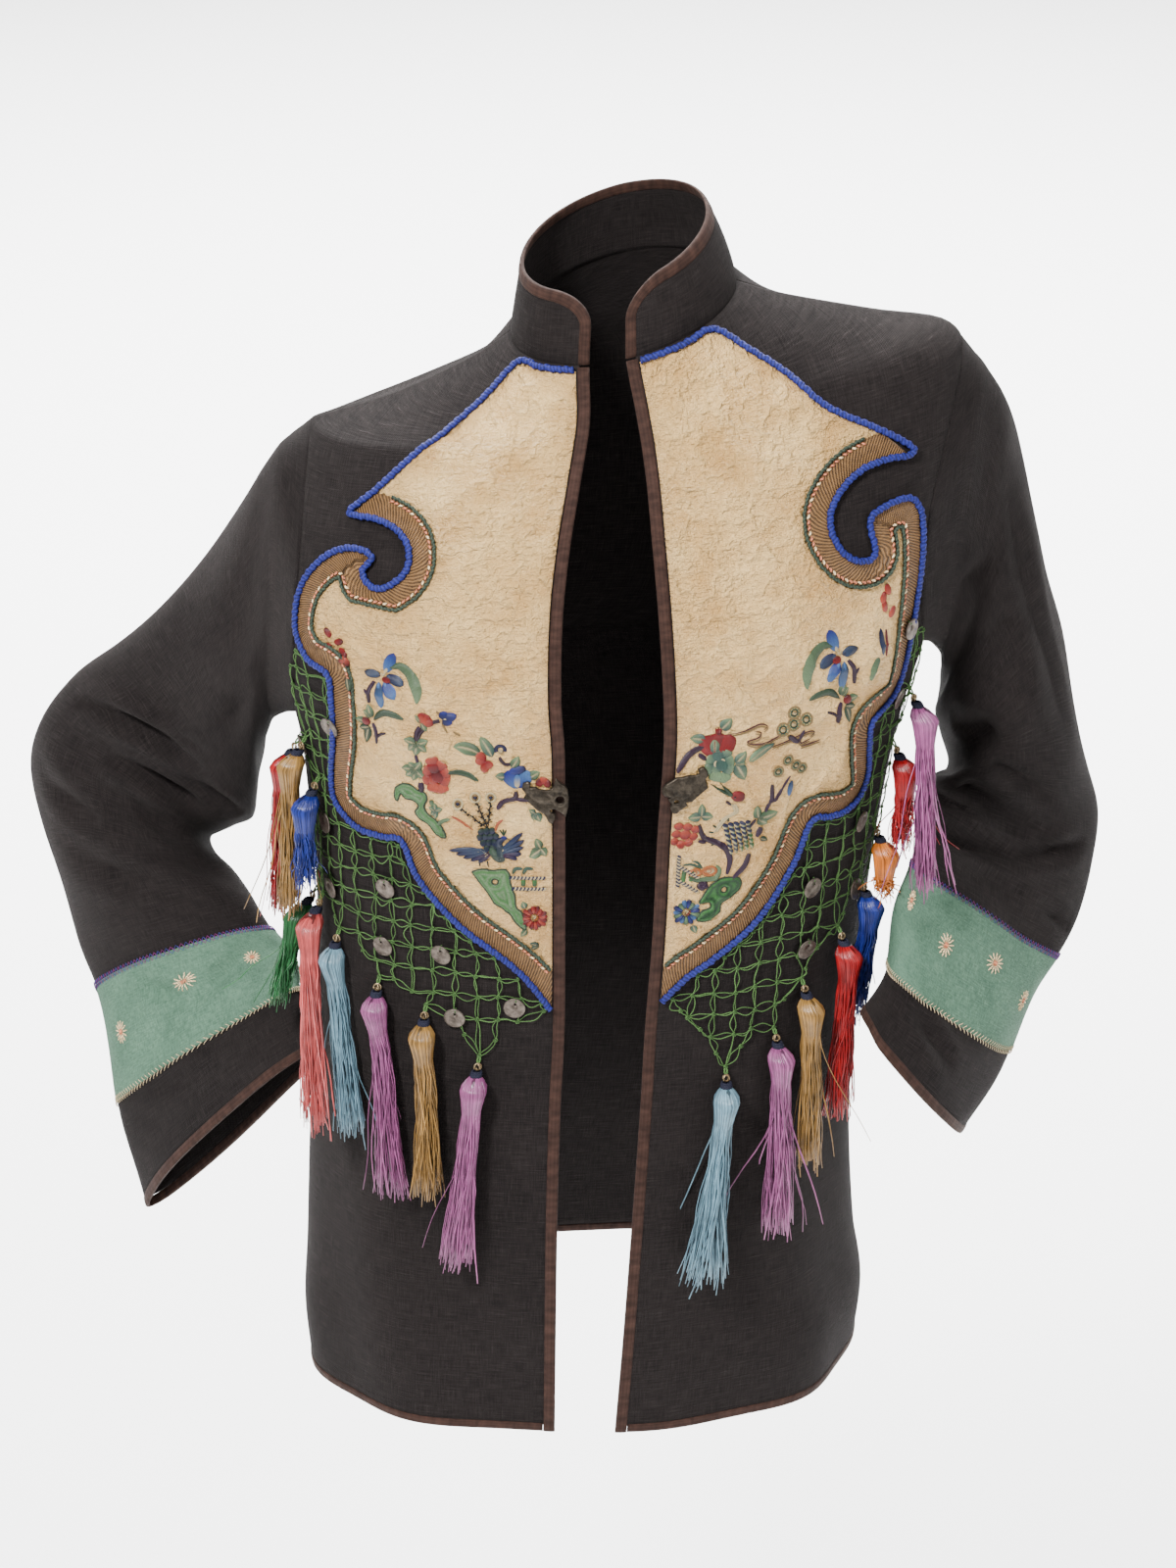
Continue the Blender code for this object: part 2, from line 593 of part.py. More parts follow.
def sleeve_section(side, section):
    table = [(k,) + row for k, row in enumerate(SLEEVES[side])]
    names = ("section",) + SLEEVE_COLUMNS
    got = {name: column(table, names, name, section) for name in SLEEVE_COLUMNS}
    outer = np.array([got["out_x"], got["out_y"], got["out_z"]])
    inner = np.array([got["in_x"], got["in_y"], got["in_z"]])
    half = (outer - inner) / 2
    tip = math.radians(got["tip"])
    ahead = np.array([0.0, -math.cos(tip), math.sin(tip)])
    deep = math.sqrt(max(2 * (got["girth"] / (2 * math.pi)) ** 2 - half @ half, 0.026**2))
    ring = []
    for k in range(SLEEVE_AROUND):
        turn = 2 * math.pi * k / SLEEVE_AROUND
        across, depth = math.cos(turn), math.sin(turn)
        ring.append(
            (outer + inner) / 2
            + half * math.copysign(abs(across) ** 0.9, across)
            + ahead * deep * math.copysign(abs(depth) ** 0.9, depth)
        )
    return np.array(ring)


def tube_ways(rings):
    """Direction out of a tube at each of its points."""
    round_tube = np.roll(rings, -1, axis=1) - np.roll(rings, 1, axis=1)
    along = np.gradient(rings, axis=0)
    ways = np.cross(along, round_tube)
    ways /= np.linalg.norm(ways, axis=2, keepdims=True)
    outward = np.sum(ways * (rings - rings.mean(axis=1, keepdims=True)), axis=2)
    return ways if outward.mean() > 0 else -ways


def fold_sink(side, section, turn):
    """How far the folds take the sleeve in at a place."""
    sink = 0.0
    for row in FOLDS[side]:
        fold = dict(zip(FOLD_COLUMNS, row))
        along = (turn - fold["turn"]) / fold["reach"]
        beyond = (section - fold["section"] - fold["slant"] * along) / fold["width"]
        if abs(along) < 1:
            sink += fold["depth"] * math.cos(along * math.pi / 2) ** 2 * math.exp(-(beyond**2))
    return sink


def clear_of_body(side, point, space):
    """The point, or the nearest place beside it that leaves the body this much space."""
    drop = -point[2]
    for _ in range(3):
        ring = body_ring(min(max(drop, 0.0), JACKET_LENGTH))
        drop = -point[2] + ring["roll"] * (point[0] - ring["lean"]) + ring["pitch"] * point[1]
    x = point[0] - ring["lean"]
    depth = ring["front"] if point[1] < 0 else ring["back"]
    reach = (abs(x) / ring["half_width"]) ** ring["square"] + (abs(point[1]) / depth) ** ring["square"]
    reach = reach ** (1 / ring["square"])
    apart = (reach - 1) * math.hypot(x, point[1])
    if drop < UNDERARM[side] or apart >= space:
        return point
    grow = (math.hypot(x, point[1]) + space - apart) / math.hypot(x, point[1])
    return np.array([ring["lean"] + x * grow, point[1] * grow, point[2]])


def sleeve_cloth(side):
    seam, seam_ways = armhole_ring(side)
    rings = np.array([seam] + [sleeve_section(side, section) for section in SLEEVE_ROWS])
    ways = tube_ways(rings)
    for row, section in enumerate(SLEEVE_ROWS, start=1):
        for k in range(SLEEVE_AROUND):
            rings[row, k] -= fold_sink(side, section, 360 * k / SLEEVE_AROUND) * ways[row, k]
            rings[row, k] = clear_of_body(side, rings[row, k], 0.004)
    ways = tube_ways(rings)
    ways[0] += seam_ways
    ways[0] /= np.linalg.norm(ways[0], axis=1, keepdims=True)
    return Cloth(rings, ways, loop=True)


def build_sleeve(side):
    cloth = sleeve_cloth(side)
    name = NAMES[side]
    last = cloth.rows
    count = last - CUFF_BINDING / np.linalg.norm(cloth.points[-1] - cloth.points[-2], axis=1).mean()
    fold = (BINDING_WALL - CLOTH) / 2
    band = [SLEEVE_ROWS.index(section) + 1 for section in LINEN_BAND]
    tube_piece(f"sleeve_{name}", cloth, 0, count - 0.02, -CLOTH, 0.0, "cloth")
    tube_piece(f"sleeve_band_{name}", cloth, band[0], band[1], BAND_LIFT, BAND_LIFT + APPLIQUE, "linen")
    tube_piece(f"cuff_binding_{name}", cloth, count, last, -CLOTH - fold, fold, "binding")


# Collar
def build_collar():
    start, end = edge_turn(RIGHT, 0.0), edge_turn(LEFT, 0.0) - 2 * math.pi
    turns, run = span(0.0, start, end)
    length = run[-1]
    ends = (0.0, 0.016, 0.038)
    places = list(ends) + list(np.linspace(0.064, length - 0.064, 9)) + [length - e for e in reversed(ends)]
    turns = np.interp(places, run, turns)
    rows = 2
    points, ways = [], []
    for up in np.linspace(0.0, COLLAR_HEIGHT, rows + 1):
        foot = body_point(turns, 0.0)
        out = np.stack([foot[:, 0], foot[:, 1], 0 * turns], -1)
        out /= np.linalg.norm(out, axis=1, keepdims=True)
        lean = COLLAR_LEAN[RIGHT] + (COLLAR_LEAN[LEFT] - COLLAR_LEAN[RIGHT]) * np.clip(out[:, :1], 0, 1)
        points.append(foot + np.array([0.0, 0.0, up + 2 * SEAM]) - out * lean * (up / COLLAR_HEIGHT) ** 1.5)
        ways.append(out)
    cloth = Cloth(points, ways)

    def outline(inset, floor=0.0):
        along, tall = COLLAR_ROUND[0] - inset, COLLAR_ROUND[1] - inset
        arc = [math.radians(a) for a in (0, 24, 50, 90)]
        left = [(inset + along * (1 - math.cos(a)), COLLAR_HEIGHT - COLLAR_ROUND[1] + tall * math.sin(a)) for a in arc]
        half = [(inset, floor)] + left
        middle = [(p, COLLAR_HEIGHT - inset) for p in places if COLLAR_ROUND[0] + 0.004 < p < length - COLLAR_ROUND[0] - 0.004]
        path = half + middle + [(length - a, u) for a, u in reversed(half)]
        return [(float(np.interp(a, places, range(len(places)))), rows * u / COLLAR_HEIGHT) for a, u in path]

    cut_piece("collar", cloth, [outline(COLLAR_BINDING + SEAM)], -CLOTH, 0.0, "cloth")
    fold = (BINDING_WALL - CLOTH) / 2
    outer, inner = outline(0.0), outline(COLLAR_BINDING)
    cut_piece("collar_binding", cloth, quads(outer, inner), -CLOTH - fold, fold, "binding")


def quads(one, two):
    """Faces between two paths with the same count of points."""
    return [(one[k], one[k + 1], two[k + 1], two[k]) for k in range(len(one) - 1)]


# Work on the front panels, in distances across and drops
def front_point(side, across, drop, lift=0.0):
    turns, run = span(drop, edge_turn(side, drop), outer_turn(side, drop))
    turn = float(np.interp(across, run, turns))
    point = body_point(turn, drop)
    return point + lift * body_way(turn, drop) if lift else point


def over_cloth(side, cloth, across, drop, lift):
    """Point above the worn form, or above the cloth's facets where they stand out of it."""
    turns, run = span(drop, edge_turn(side, drop), outer_turn(side, drop))
    turn = float(np.interp(max(across, 0.0), run, turns))
    way = body_way(turn, drop)
    point = body_point(turn, drop)
    out = max(0.0, float((cloth.at(*on_front(side, max(across, 0.0), drop)) - point) @ way))
    point = point + way * (out + lift)
    if across < 0:
        point = point + (front_point(side, 0.0, drop) - front_point(side, 0.002, drop)) * (-across / 0.002)
    return point


def curve(rows, step):
    """Smooth path through the rows with a point about every step; further columns follow along."""
    rows = np.array(rows)
    path = []
    for k in range(len(rows) - 1):
        before, after = rows[max(k - 1, 0)], rows[min(k + 2, len(rows) - 1)]
        count = max(1, round(float(np.linalg.norm(rows[k + 1, :2] - rows[k, :2])) / step))
        for n in range(count):
            t = n / count
            spot = (
                (2 * t**3 - 3 * t**2 + 1) * rows[k]
                + (t**3 - 2 * t**2 + t) * (rows[k + 1] - before) / 2
                + (3 * t**2 - 2 * t**3) * rows[k + 1]
                + (t**3 - t**2) * (after - rows[k]) / 2
            )
            spot[2:] = rows[k, 2:]
            path.append(spot)
    path.append(rows[-1])
    return np.array(path)


def shifted(place, path, amounts):
    """Each point of the path moved across it within the cloth, towards the satin, with mitred corners.

    place gives the point in space for the path's two counts.
    """
    path = np.array(path)[:, :2]
    steps = np.diff(path, axis=0)
    steps = np.vstack([steps[:1], steps, steps[-1:]])
    reach = 1e-4 * np.ptp(path) / 0.4
    moved = []
    for k, (spot, amount) in enumerate(zip(path, amounts)):
        here = place(*spot)
        grid = np.stack([place(spot[0] + reach, spot[1]) - here, here - place(spot[0], spot[1] - reach)], 1) / reach
        ways = [grid @ steps[k], grid @ steps[k + 1]]
        along = sum(way / np.linalg.norm(way) for way in ways)
        aside = np.cross(along, np.cross(grid[:, 0], grid[:, 1]))
        aside *= amount * min(2 / np.linalg.norm(along), 1.6) / np.linalg.norm(aside)
        moved.append(spot - np.linalg.lstsq(grid, aside, rcond=None)[0])
    return np.array(moved)


def inset(side, path, amounts):
    """Path moved in by its amounts, without the points that come too near another part of it."""
    moved = shifted(lambda a, d: front_point(side, a, d), path, amounts)
    line = np.array([front_point(side, a, d) for a, d in np.array(path)[:, :2]])
    closed = np.array([(0.0, outline_path(side)[0][1])] + [tuple(p[:2]) for p in outline_path(side)] + [(0.0, 0.384)])
    kept = []
    for spot in moved:
        if not inside(closed, spot):
            continue
        here = front_point(side, *spot)
        if np.all(np.linalg.norm(line - here, axis=1) > 0.97 * np.array(amounts) - 1e-6):
            kept.append(tuple(spot))
    return kept


def thinned(path, slack):
    """Path without the points that lie within slack of the line past them."""
    path = [np.array(p) for p in path]
    keep = [0, len(path) - 1]

    def split(first, last):
        if last - first < 2:
            return
        chord = path[last] - path[first]
        size = np.linalg.norm(chord)
        off = [abs(chord[0] * (p - path[first])[1] - chord[1] * (p - path[first])[0]) / size for p in path[first + 1 : last]]
        far = int(np.argmax(off)) + first + 1
        if off[far - first - 1] >= slack:
            keep.append(far)
            split(first, far)
            split(far, last)

    split(0, len(path) - 1)
    return [tuple(path[k]) for k in sorted(keep)]


def outline_path(side):
    name = NAMES[side]
    rows = [dict(zip(OUTLINE_COLUMNS, row)) for row in OUTLINE]
    return curve([(r[f"{name}_across"] / 1000, r[f"{name}_drop"] / 1000, r["ribbon"]) for r in rows], 0.004)


def eased(side, path, slack=0.06):
    """Path with points added where a straight run would stray across the cloth's columns."""
    spots = []

    def split(one, two):
        middle = (one + two) / 2
        ends = (np.array(on_front(side, *one)) + on_front(side, *two)) / 2
        if np.hypot(*(ends - on_front(side, *middle))) < slack or np.hypot(*(two - one)) < 0.008:
            spots.append(tuple(one))
        else:
            split(one, middle)
            split(middle, two)

    for one, two in zip(path, path[1:]):
        split(np.array(one), np.array(two))
    return spots + [tuple(path[-1])]


def build_applique(side, cloth):
    """Satin, the woven ribbon along its lower edge and the cord round both."""
    name = NAMES[side]
    path = outline_path(side)
    ribbon = path[:, 2] > 0.5
    edge = FRONT_BINDING + 2 * SEAM
    slack = 0.0013

    def on_grid(points):
        return [on_front(side, max(a, edge), d) for a, d in points]

    rim = eased(side, thinned(inset(side, path, np.where(ribbon, APPLIQUE_EDGE + RIBBON_WIDTH, APPLIQUE_EDGE)), slack))
    top, low = rim[0][1], rim[-1][1]
    cut_piece(
        f"satin_{name}", cloth, [on_grid(rim + eased(side, [(edge, low), (edge, top)]))], APPLIQUE_LIFT, APPLIQUE_LIFT + APPLIQUE, "satin"
    )
    first = int(np.argmax(ribbon))
    outer = eased(side, thinned(inset(side, path[first:], np.full(len(path) - first, APPLIQUE_EDGE)), slack))
    tip = path[first][:2]
    corner = min(range(len(rim)), key=lambda k: np.hypot(*(np.array(rim[k]) - tip)) + (0.0 if rim[k][1] < 0.1 else 1.0))
    inner = shifted(lambda u, v: cloth.at(u, v, 0.0), on_grid(rim[corner:]), np.full(len(rim) - corner, -2 * SEAM))
    cut_piece(
        f"ribbon_{name}", cloth, [on_grid(outer) + [tuple(p) for p in inner[::-1]]],
        APPLIQUE_LIFT, APPLIQUE_LIFT + APPLIQUE, "ribbon",
    )
    middle = thinned(with_bends(side, cloth, path[:first, :2]), 0.0) + thinned(path[first:, :2], 0.0009)
    smooth = np.array(middle)
    sides = [shifted(lambda a, d: front_point(side, a, d), smooth, np.full(len(smooth), way * CORD_WIDTH / 2)) for way in (1, -1)]
    lay_strip(f"cord_{name}", side, cloth, sides, CORD_LIFT, CORD_LIFT + CORD_WALL, "cord")


def with_bends(side, cloth, path):
    """Ends of the path and the places between where it crosses an edge of the cloth's facets."""
    bends = [tuple(path[0])]
    for one, two in zip(path, path[1:]):
        a, b = (np.array(on_front(side, *spot)) for spot in (one, two))
        cuts = []
        for p, q in ((a[0], b[0]), (a[1], b[1]), (a[0] - a[1], b[0] - b[1])):
            low, high = min(p, q), max(p, q)
            cuts += [(k - p) / (q - p) for k in range(math.ceil(low), math.floor(high) + 1) if q != p]
        for t in sorted(cuts):
            spot = np.array(one) + t * (np.array(two) - one)
            if np.hypot(*(spot - bends[-1])) > 0.0015:
                bends.append(tuple(spot))
    return bends


def lay_strip(name, side, cloth, sides, low, high, look):
    """Narrow piece between two paths on the worn form, its wall from low to high."""
    mesh = bmesh.new()
    layers = [
        [[mesh.verts.new(over_cloth(side, cloth, a, d, lift)) for a, d in path] for path in sides] for lift in (low, high)
    ]
    (a, b), (c, d) = layers
    for k in range(len(a) - 1):
        for one, two in ((a, b), (c, d), (a, c), (b, d)):
            mesh.faces.new((one[k], one[k + 1], two[k + 1], two[k]))
    for k in (0, -1):
        mesh.faces.new((a[k], b[k], d[k], c[k]))
    add_piece(name, mesh, look)


def inside(polygon, spot):
    count = 0
    for (ax, ay), (bx, by) in zip(polygon, np.roll(polygon, -1, axis=0)):
        if (ay > spot[1]) != (by > spot[1]) and spot[0] < ax + (spot[1] - ay) * (bx - ax) / (by - ay):
            count += 1
    return count % 2 == 1


def nearest_on(polygon, spot):
    best = None
    for a, b in zip(polygon, np.roll(polygon, -1, axis=0)):
        t = np.clip(np.dot(spot - a, b - a) / max(np.dot(b - a, b - a), 1e-12), 0, 1)
        here = a + t * (b - a)
        gap = np.linalg.norm(here - spot)
        if best is None or gap < best[0]:
            best = (gap, here)
    return best


def net_region(side):
    """Outline of the net: under the cord from the side lobe to the front edge, back along its scallops."""
    name = NAMES[side]
    path = outline_path(side)
    lobe = next(k for k in range(len(path)) if path[k][1] > 0.150 and path[k][0] > 0.150)
    top = shifted(lambda a, d: front_point(side, a, d), path[lobe:], np.full(len(path) - lobe, -(CORD_WIDTH / 2 + 3 * SEAM + NET_CORD / 2)))
    rows = [dict(zip(NET_EDGE_COLUMNS, row)) for row in NET_EDGE]
    low = [(r[f"{name}_across"] / 1000, r[f"{name}_drop"] / 1000) for r in rows]
    return np.array(thinned(top, 0.0006) + low)


@lru_cache(maxsize=None)
def net_knots(side):
    """Cells of the net, its knots and the knot that carries each tassel."""
    region = net_region(side)
    wide, tall = NET_PITCH
    cells = set()
    for i in range(0, 20):
        for j in range(8, 40):
            if inside(region, ((i + 0.5) * wide, (j + 0.5) * tall)):
                cells.add((i, j))
    knots = {}
    for i, j in cells:
        for k in (i, i + 1):
            for m in (j, j + 1):
                spot = np.array([k * wide, m * tall])
                gap, edge = nearest_on(region, spot)
                knots[k, m] = edge if not inside(region, spot) or gap < 0.0015 else spot
    hangers = []
    for row in TASSELS[side]:
        spot = np.array(row[:2]) / 1000
        free = min((k for k in knots if k not in hangers), key=lambda k: np.linalg.norm(knots[k] - spot))
        if np.linalg.norm(knots[free] - spot) < NET_PULL:
            knots[free] = spot
        hangers.append(free)
    return cells, knots, hangers


def build_net(side, cloth):
    cells, knots, _ = net_knots(side)
    mesh = bmesh.new()
    half = NET_CORD / 2
    corners = {}
    for key, (across, drop) in knots.items():
        for a, b in ((-1, -1), (1, -1), (1, 1), (-1, 1)):
            corners[key + (a, b)] = mesh.verts.new((across + a * half, drop + b * half, 0.0))
    for i, j in knots:
        mesh.faces.new([corners[i, j, a, b] for a, b in ((-1, -1), (1, -1), (1, 1), (-1, 1))])
        if (i + 1, j) in knots and ((i, j) in cells or (i, j - 1) in cells):
            mesh.faces.new([corners[i, j, 1, -1], corners[i + 1, j, -1, -1], corners[i + 1, j, -1, 1], corners[i, j, 1, 1]])
        if (i, j + 1) in knots and ((i, j) in cells or (i - 1, j) in cells):
            mesh.faces.new([corners[i, j, -1, 1], corners[i, j, 1, 1], corners[i, j + 1, 1, -1], corners[i, j + 1, -1, -1]])
    copy = bmesh.ops.extrude_face_region(mesh, geom=mesh.faces[:], use_keep_orig=True)
    for item in copy["geom"]:
        if isinstance(item, bmesh.types.BMVert):
            item.co.z = NET_WALL
    for vert in mesh.verts:
        vert.co = over_cloth(side, cloth, vert.co.x, vert.co.y, NET_LIFT + vert.co.z)
    add_piece(f"net_{NAMES[side]}", mesh, "net")


# Tassel profile below its hanger: fall and radius, knot, neck, head and skirt
TASSEL_HEAD = ((-0.0030, 0.0009), (0.0060, 0.0040), (0.0100, 0.0030), (0.0180, 0.0074), (0.0290, 0.0060))


def build_tassel(side, cloth, number, row):
    got = dict(zip(TASSEL_COLUMNS, row))
    _, knots, hangers = net_knots(side)
    across, drop = knots[hangers[number - 1]]
    length = got["length"] / 1000
    turns, run = span(drop, edge_turn(side, drop), outer_turn(side, drop))
    turn = float(np.interp(across, run, turns))
    out = body_way(turn, drop)
    hanger = np.array(over_cloth(side, cloth, across, drop, NET_LIFT + NET_WALL + 0.0015))
    out = np.array([out[0], out[1], 0.0]) / np.hypot(out[0], out[1])
    swing = np.array([got["swing_x"], got["swing_y"], 0.0]) / 1000

    def centre(fall):
        away = min(0.0085, 0.55 * max(fall - 0.001, 0)) + 0.0074 * (got["flare"] - 1) * fall / length
        spot = hanger + out * away + swing * max(fall, 0.0) / length - np.array([0.0, 0.0, fall + 0.0016])
        return clear_of_body(side, spot, away + 0.001)

    mesh = bmesh.new()
    count = TASSEL_STRANDS
    angles = [2 * math.pi * k / count for k in range(count)]
    rings = []
    for fall, radius in TASSEL_HEAD:
        rings.append([mesh.verts.new(centre(fall) + radius * np.array([math.cos(a), math.sin(a), 0.0])) for a in angles])
    mesh.faces.new(rings[0])
    for one, two in zip(rings, rings[1:]):
        for k in range(count):
            mesh.faces.new((one[k], one[(k + 1) % count], two[(k + 1) % count], two[k]))
    fall, radius = TASSEL_HEAD[-1]
    middle = mesh.verts.new(centre(fall))
    # Strands: wedges that leave the head's underside and part on the way down
    levels = ((fall, radius * 0.8), ((fall + length) / 2, 0.0074), (length, 0.0072 * got["flare"]))
    for k in range(count):
        strand = [[middle, rings[-1][k], rings[-1][(k + 1) % count]]]
        lean = angles[k] + math.pi / count
        half = 0.78 * math.pi / count
        for level, (depth, reach) in enumerate(levels):
            heart = centre(depth)
            if level == 2:
                heart = heart + np.array([0.0, 0.0, 0.003 * (k * 2 % 3 - 1)])
            spots = [heart + 0.22 * reach * np.array([math.cos(lean), math.sin(lean), 0.0])]
            width = half * (0.8 if level < 2 else 0.8 / got["flare"])
            for turn in (lean - width, lean + width):
                spots.append(heart + reach * np.array([math.cos(turn), math.sin(turn), 0.0]))
            strand.append([mesh.verts.new(spot) for spot in spots])
        for one, two in zip(strand, strand[1:]):
            for n in range(3):
                mesh.faces.new((one[n], one[(n + 1) % 3], two[(n + 1) % 3], two[n]))
        mesh.faces.new(strand[-1])
    add_piece(f"tassel_{NAMES[side]}_{number}", mesh, got["colour"])


def plate_triangles(rim, eye, step):
    """Places and triangles that fill a rim but for its round eye, with points a step apart within."""
    x, y, radius = eye
    ring = [(x + radius * math.cos(n * math.pi / 8), y + radius * math.sin(n * math.pi / 8)) for n in range(16)]
    loops = [np.array(rim), np.array(ring)]
    edges = [(k, (k + 1) % len(rim)) for k in range(len(rim))]
    edges += [(len(rim) + k, len(rim) + (k + 1) % 16) for k in range(16)]
    low, high = loops[0].min(axis=0), loops[0].max(axis=0)
    grid = np.array([(a, d) for d in np.arange(low[1], high[1], step) for a in np.arange(low[0], high[0], step)])
    near = np.min(np.linalg.norm(grid[:, None] - np.concatenate(loops)[None], axis=2), axis=1)
    grid = grid[(near > step / 3) & (np.hypot(grid[:, 0] - x, grid[:, 1] - y) > radius + step / 3)]
    spots = [Vector(p) for p in np.concatenate(loops + [grid])]
    verts, _, faces, *_ = delaunay_2d_cdt(spots, edges, [], 1, 1e-6)
    verts = np.array([tuple(v) for v in verts])
    faces = [f for f in faces if math.hypot(*(verts[list(f)].mean(axis=0) - (x, y))) > radius]
    used = sorted({k for f in faces for k in f})
    return verts[used], [tuple(used.index(k) for k in f) for f in faces]


def build_clasp(side, cloth):
    places, faces = plate_triangles(CLASP_OUTLINE[side], CLASP_EYE[side], 4.0)
    mesh = bmesh.new()
    low = APPLIQUE_LIFT + APPLIQUE + SEAM
    layers = [
        [mesh.verts.new(over_cloth(side, cloth, a / 1000, d / 1000, lift)) for a, d in places]
        for lift in (low, low + CLASP_WALL)
    ]
    sides = {}
    for face in faces:
        for layer in layers:
            mesh.faces.new([layer[k] for k in face])
        for one, two in zip(face, face[1:] + face[:1]):
            if not sides.pop((two, one), None):
                sides[one, two] = True
    for one, two in sides:
        mesh.faces.new((layers[0][one], layers[0][two], layers[1][two], layers[1][one]))
    add_piece(f"clasp_{NAMES[side]}", mesh, "bronze")


def clear_scene():
    for old in list(bpy.data.objects):
        bpy.data.objects.remove(old)


def main():
    clear_scene()
    fronts = {side: front_cloth(side) for side in (RIGHT, LEFT)}
    build_back()
    build_collar()
    for side in (RIGHT, LEFT):
        build_front(side, fronts[side])
        build_sleeve(side)
        build_applique(side, fronts[side])
        build_net(side, fronts[side])
        for number, row in enumerate(TASSELS[side], start=1):
            build_tassel(side, fronts[side], number, row)
        build_clasp(side, fronts[side])


main()
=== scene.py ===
"""Looks of a Hmong embroidered jacket, worn open with both hands on the hips.

Metres, +Z up, the wearer faces -Y and +X is the wearer's left. The origin is
the centre of the neck base. The jacket is dressed in the order in which it is
put together: back, fronts, sleeves, collar and bindings, then the applique with
its ribbon and cords, the knotted nets with their discs and tassels, the sleeve
bands, the clasps and the embroidery.

A place on a front is given as (across, drop): across is the distance round
from that front's own edge, and drop is the fall from the neck seam.
"""
import math

import bmesh
import bpy
import numpy as np
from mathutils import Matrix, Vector
from mathutils.geometry import delaunay_2d_cdt


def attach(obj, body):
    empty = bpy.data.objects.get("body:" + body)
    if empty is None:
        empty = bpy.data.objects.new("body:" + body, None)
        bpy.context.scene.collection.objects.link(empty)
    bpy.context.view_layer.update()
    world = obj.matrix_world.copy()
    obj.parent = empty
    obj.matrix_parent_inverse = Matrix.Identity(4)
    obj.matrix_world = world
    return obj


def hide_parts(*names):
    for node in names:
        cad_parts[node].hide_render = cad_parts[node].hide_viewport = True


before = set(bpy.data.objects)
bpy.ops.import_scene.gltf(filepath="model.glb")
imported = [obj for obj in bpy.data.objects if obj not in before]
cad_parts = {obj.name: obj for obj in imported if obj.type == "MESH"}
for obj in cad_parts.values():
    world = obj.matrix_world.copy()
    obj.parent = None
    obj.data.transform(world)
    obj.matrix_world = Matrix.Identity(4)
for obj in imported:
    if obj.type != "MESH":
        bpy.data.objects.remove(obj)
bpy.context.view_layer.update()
bpy.ops.object.select_all(action="DESELECT")


# Camera, floor and light
# A portrait view from a little above the shoulders, a pale floor far below the
# hanging jacket, and large soft lamps that leave it almost free of shadow.
EYE = (-0.020, -2.309, 0.638)
LOOK_DOWN = 22.0  # degrees
SENSOR, LENS = 36.0, 95.6  # millimetres
FLOOR_DROP, FLOOR_SIZE, FLOOR_MIDDLE, FLOOR_GREY = 1.45, 80, 20, 0.93
AIR_LIGHT = 0.46
LAMPS = (
    # place, aim, size, watts
    ((-1.4, -2.2, 2.1), (0.0, 0.0, -0.30), 0.6, 215),
    ((2.1, -2.0, 0.8), (0.0, 0.0, -0.30), 1.2, 30),
    ((0.2, -0.9, 2.3), (0.0, 0.0, -0.20), 0.9, 34),
    ((0.0, 4.5, 2.6), (0.0, 4.5, -1.45), 7.0, 2100),
)

bpy.ops.object.camera_add(location=EYE, rotation=(math.radians(90 - LOOK_DOWN), 0, 0))
camera = bpy.context.object
camera.data.sensor_width = SENSOR
camera.data.lens = LENS
bpy.context.scene.camera = camera

for number, (place, aim, size, watts) in enumerate(LAMPS, start=1):
    bpy.ops.object.light_add(type="AREA", location=place)
    lamp = bpy.context.object
    lamp.name = f"lamp_{number}"
    lamp.data.shape = "DISK"
    lamp.data.size = size
    lamp.data.energy = watts
    lamp.rotation_euler = (Vector(aim) - Vector(place)).to_track_quat("-Z", "Y").to_euler()

world = bpy.data.worlds.new("studio_air")
bpy.context.scene.world = world
world.use_nodes = True
air = world.node_tree.nodes["Background"].inputs
air["Color"].default_value = (1.0, 1.0, 1.0, 1.0)
air["Strength"].default_value = AIR_LIGHT

bpy.ops.mesh.primitive_plane_add(size=FLOOR_SIZE, location=(0, FLOOR_MIDDLE, -FLOOR_DROP))
floor = bpy.context.object
floor.name = "studio_floor"
bpy.ops.object.transform_apply(location=True, rotation=True, scale=True)
paper = bpy.data.materials.new("pale_floor")
paper.use_nodes = True
matt = paper.node_tree.nodes["Principled BSDF"].inputs
matt["Base Color"].default_value = (FLOOR_GREY, FLOOR_GREY, FLOOR_GREY, 1.0)
matt["Roughness"].default_value = 0.9
floor.data.materials.append(paper)


# Back
# One width of charcoal cotton twill from side seam to side seam, hung from the
# shoulder seams. The cloth is a thin shell on the worn form, with soft folds.
RIGHT, LEFT = -1, 1  # wearer's sides
NAMES = {RIGHT: "right", LEFT: "left"}
CLOTH = 0.0016
SEAM = 0.0003
JACKET_LENGTH = 0.660
SHOULDER_DROP = 0.042
HEM_BINDING = 0.0055
TUCK = 0.0012  # cloth that goes on inside its binding
UNDERARM = {RIGHT: 0.235, LEFT: 0.205}
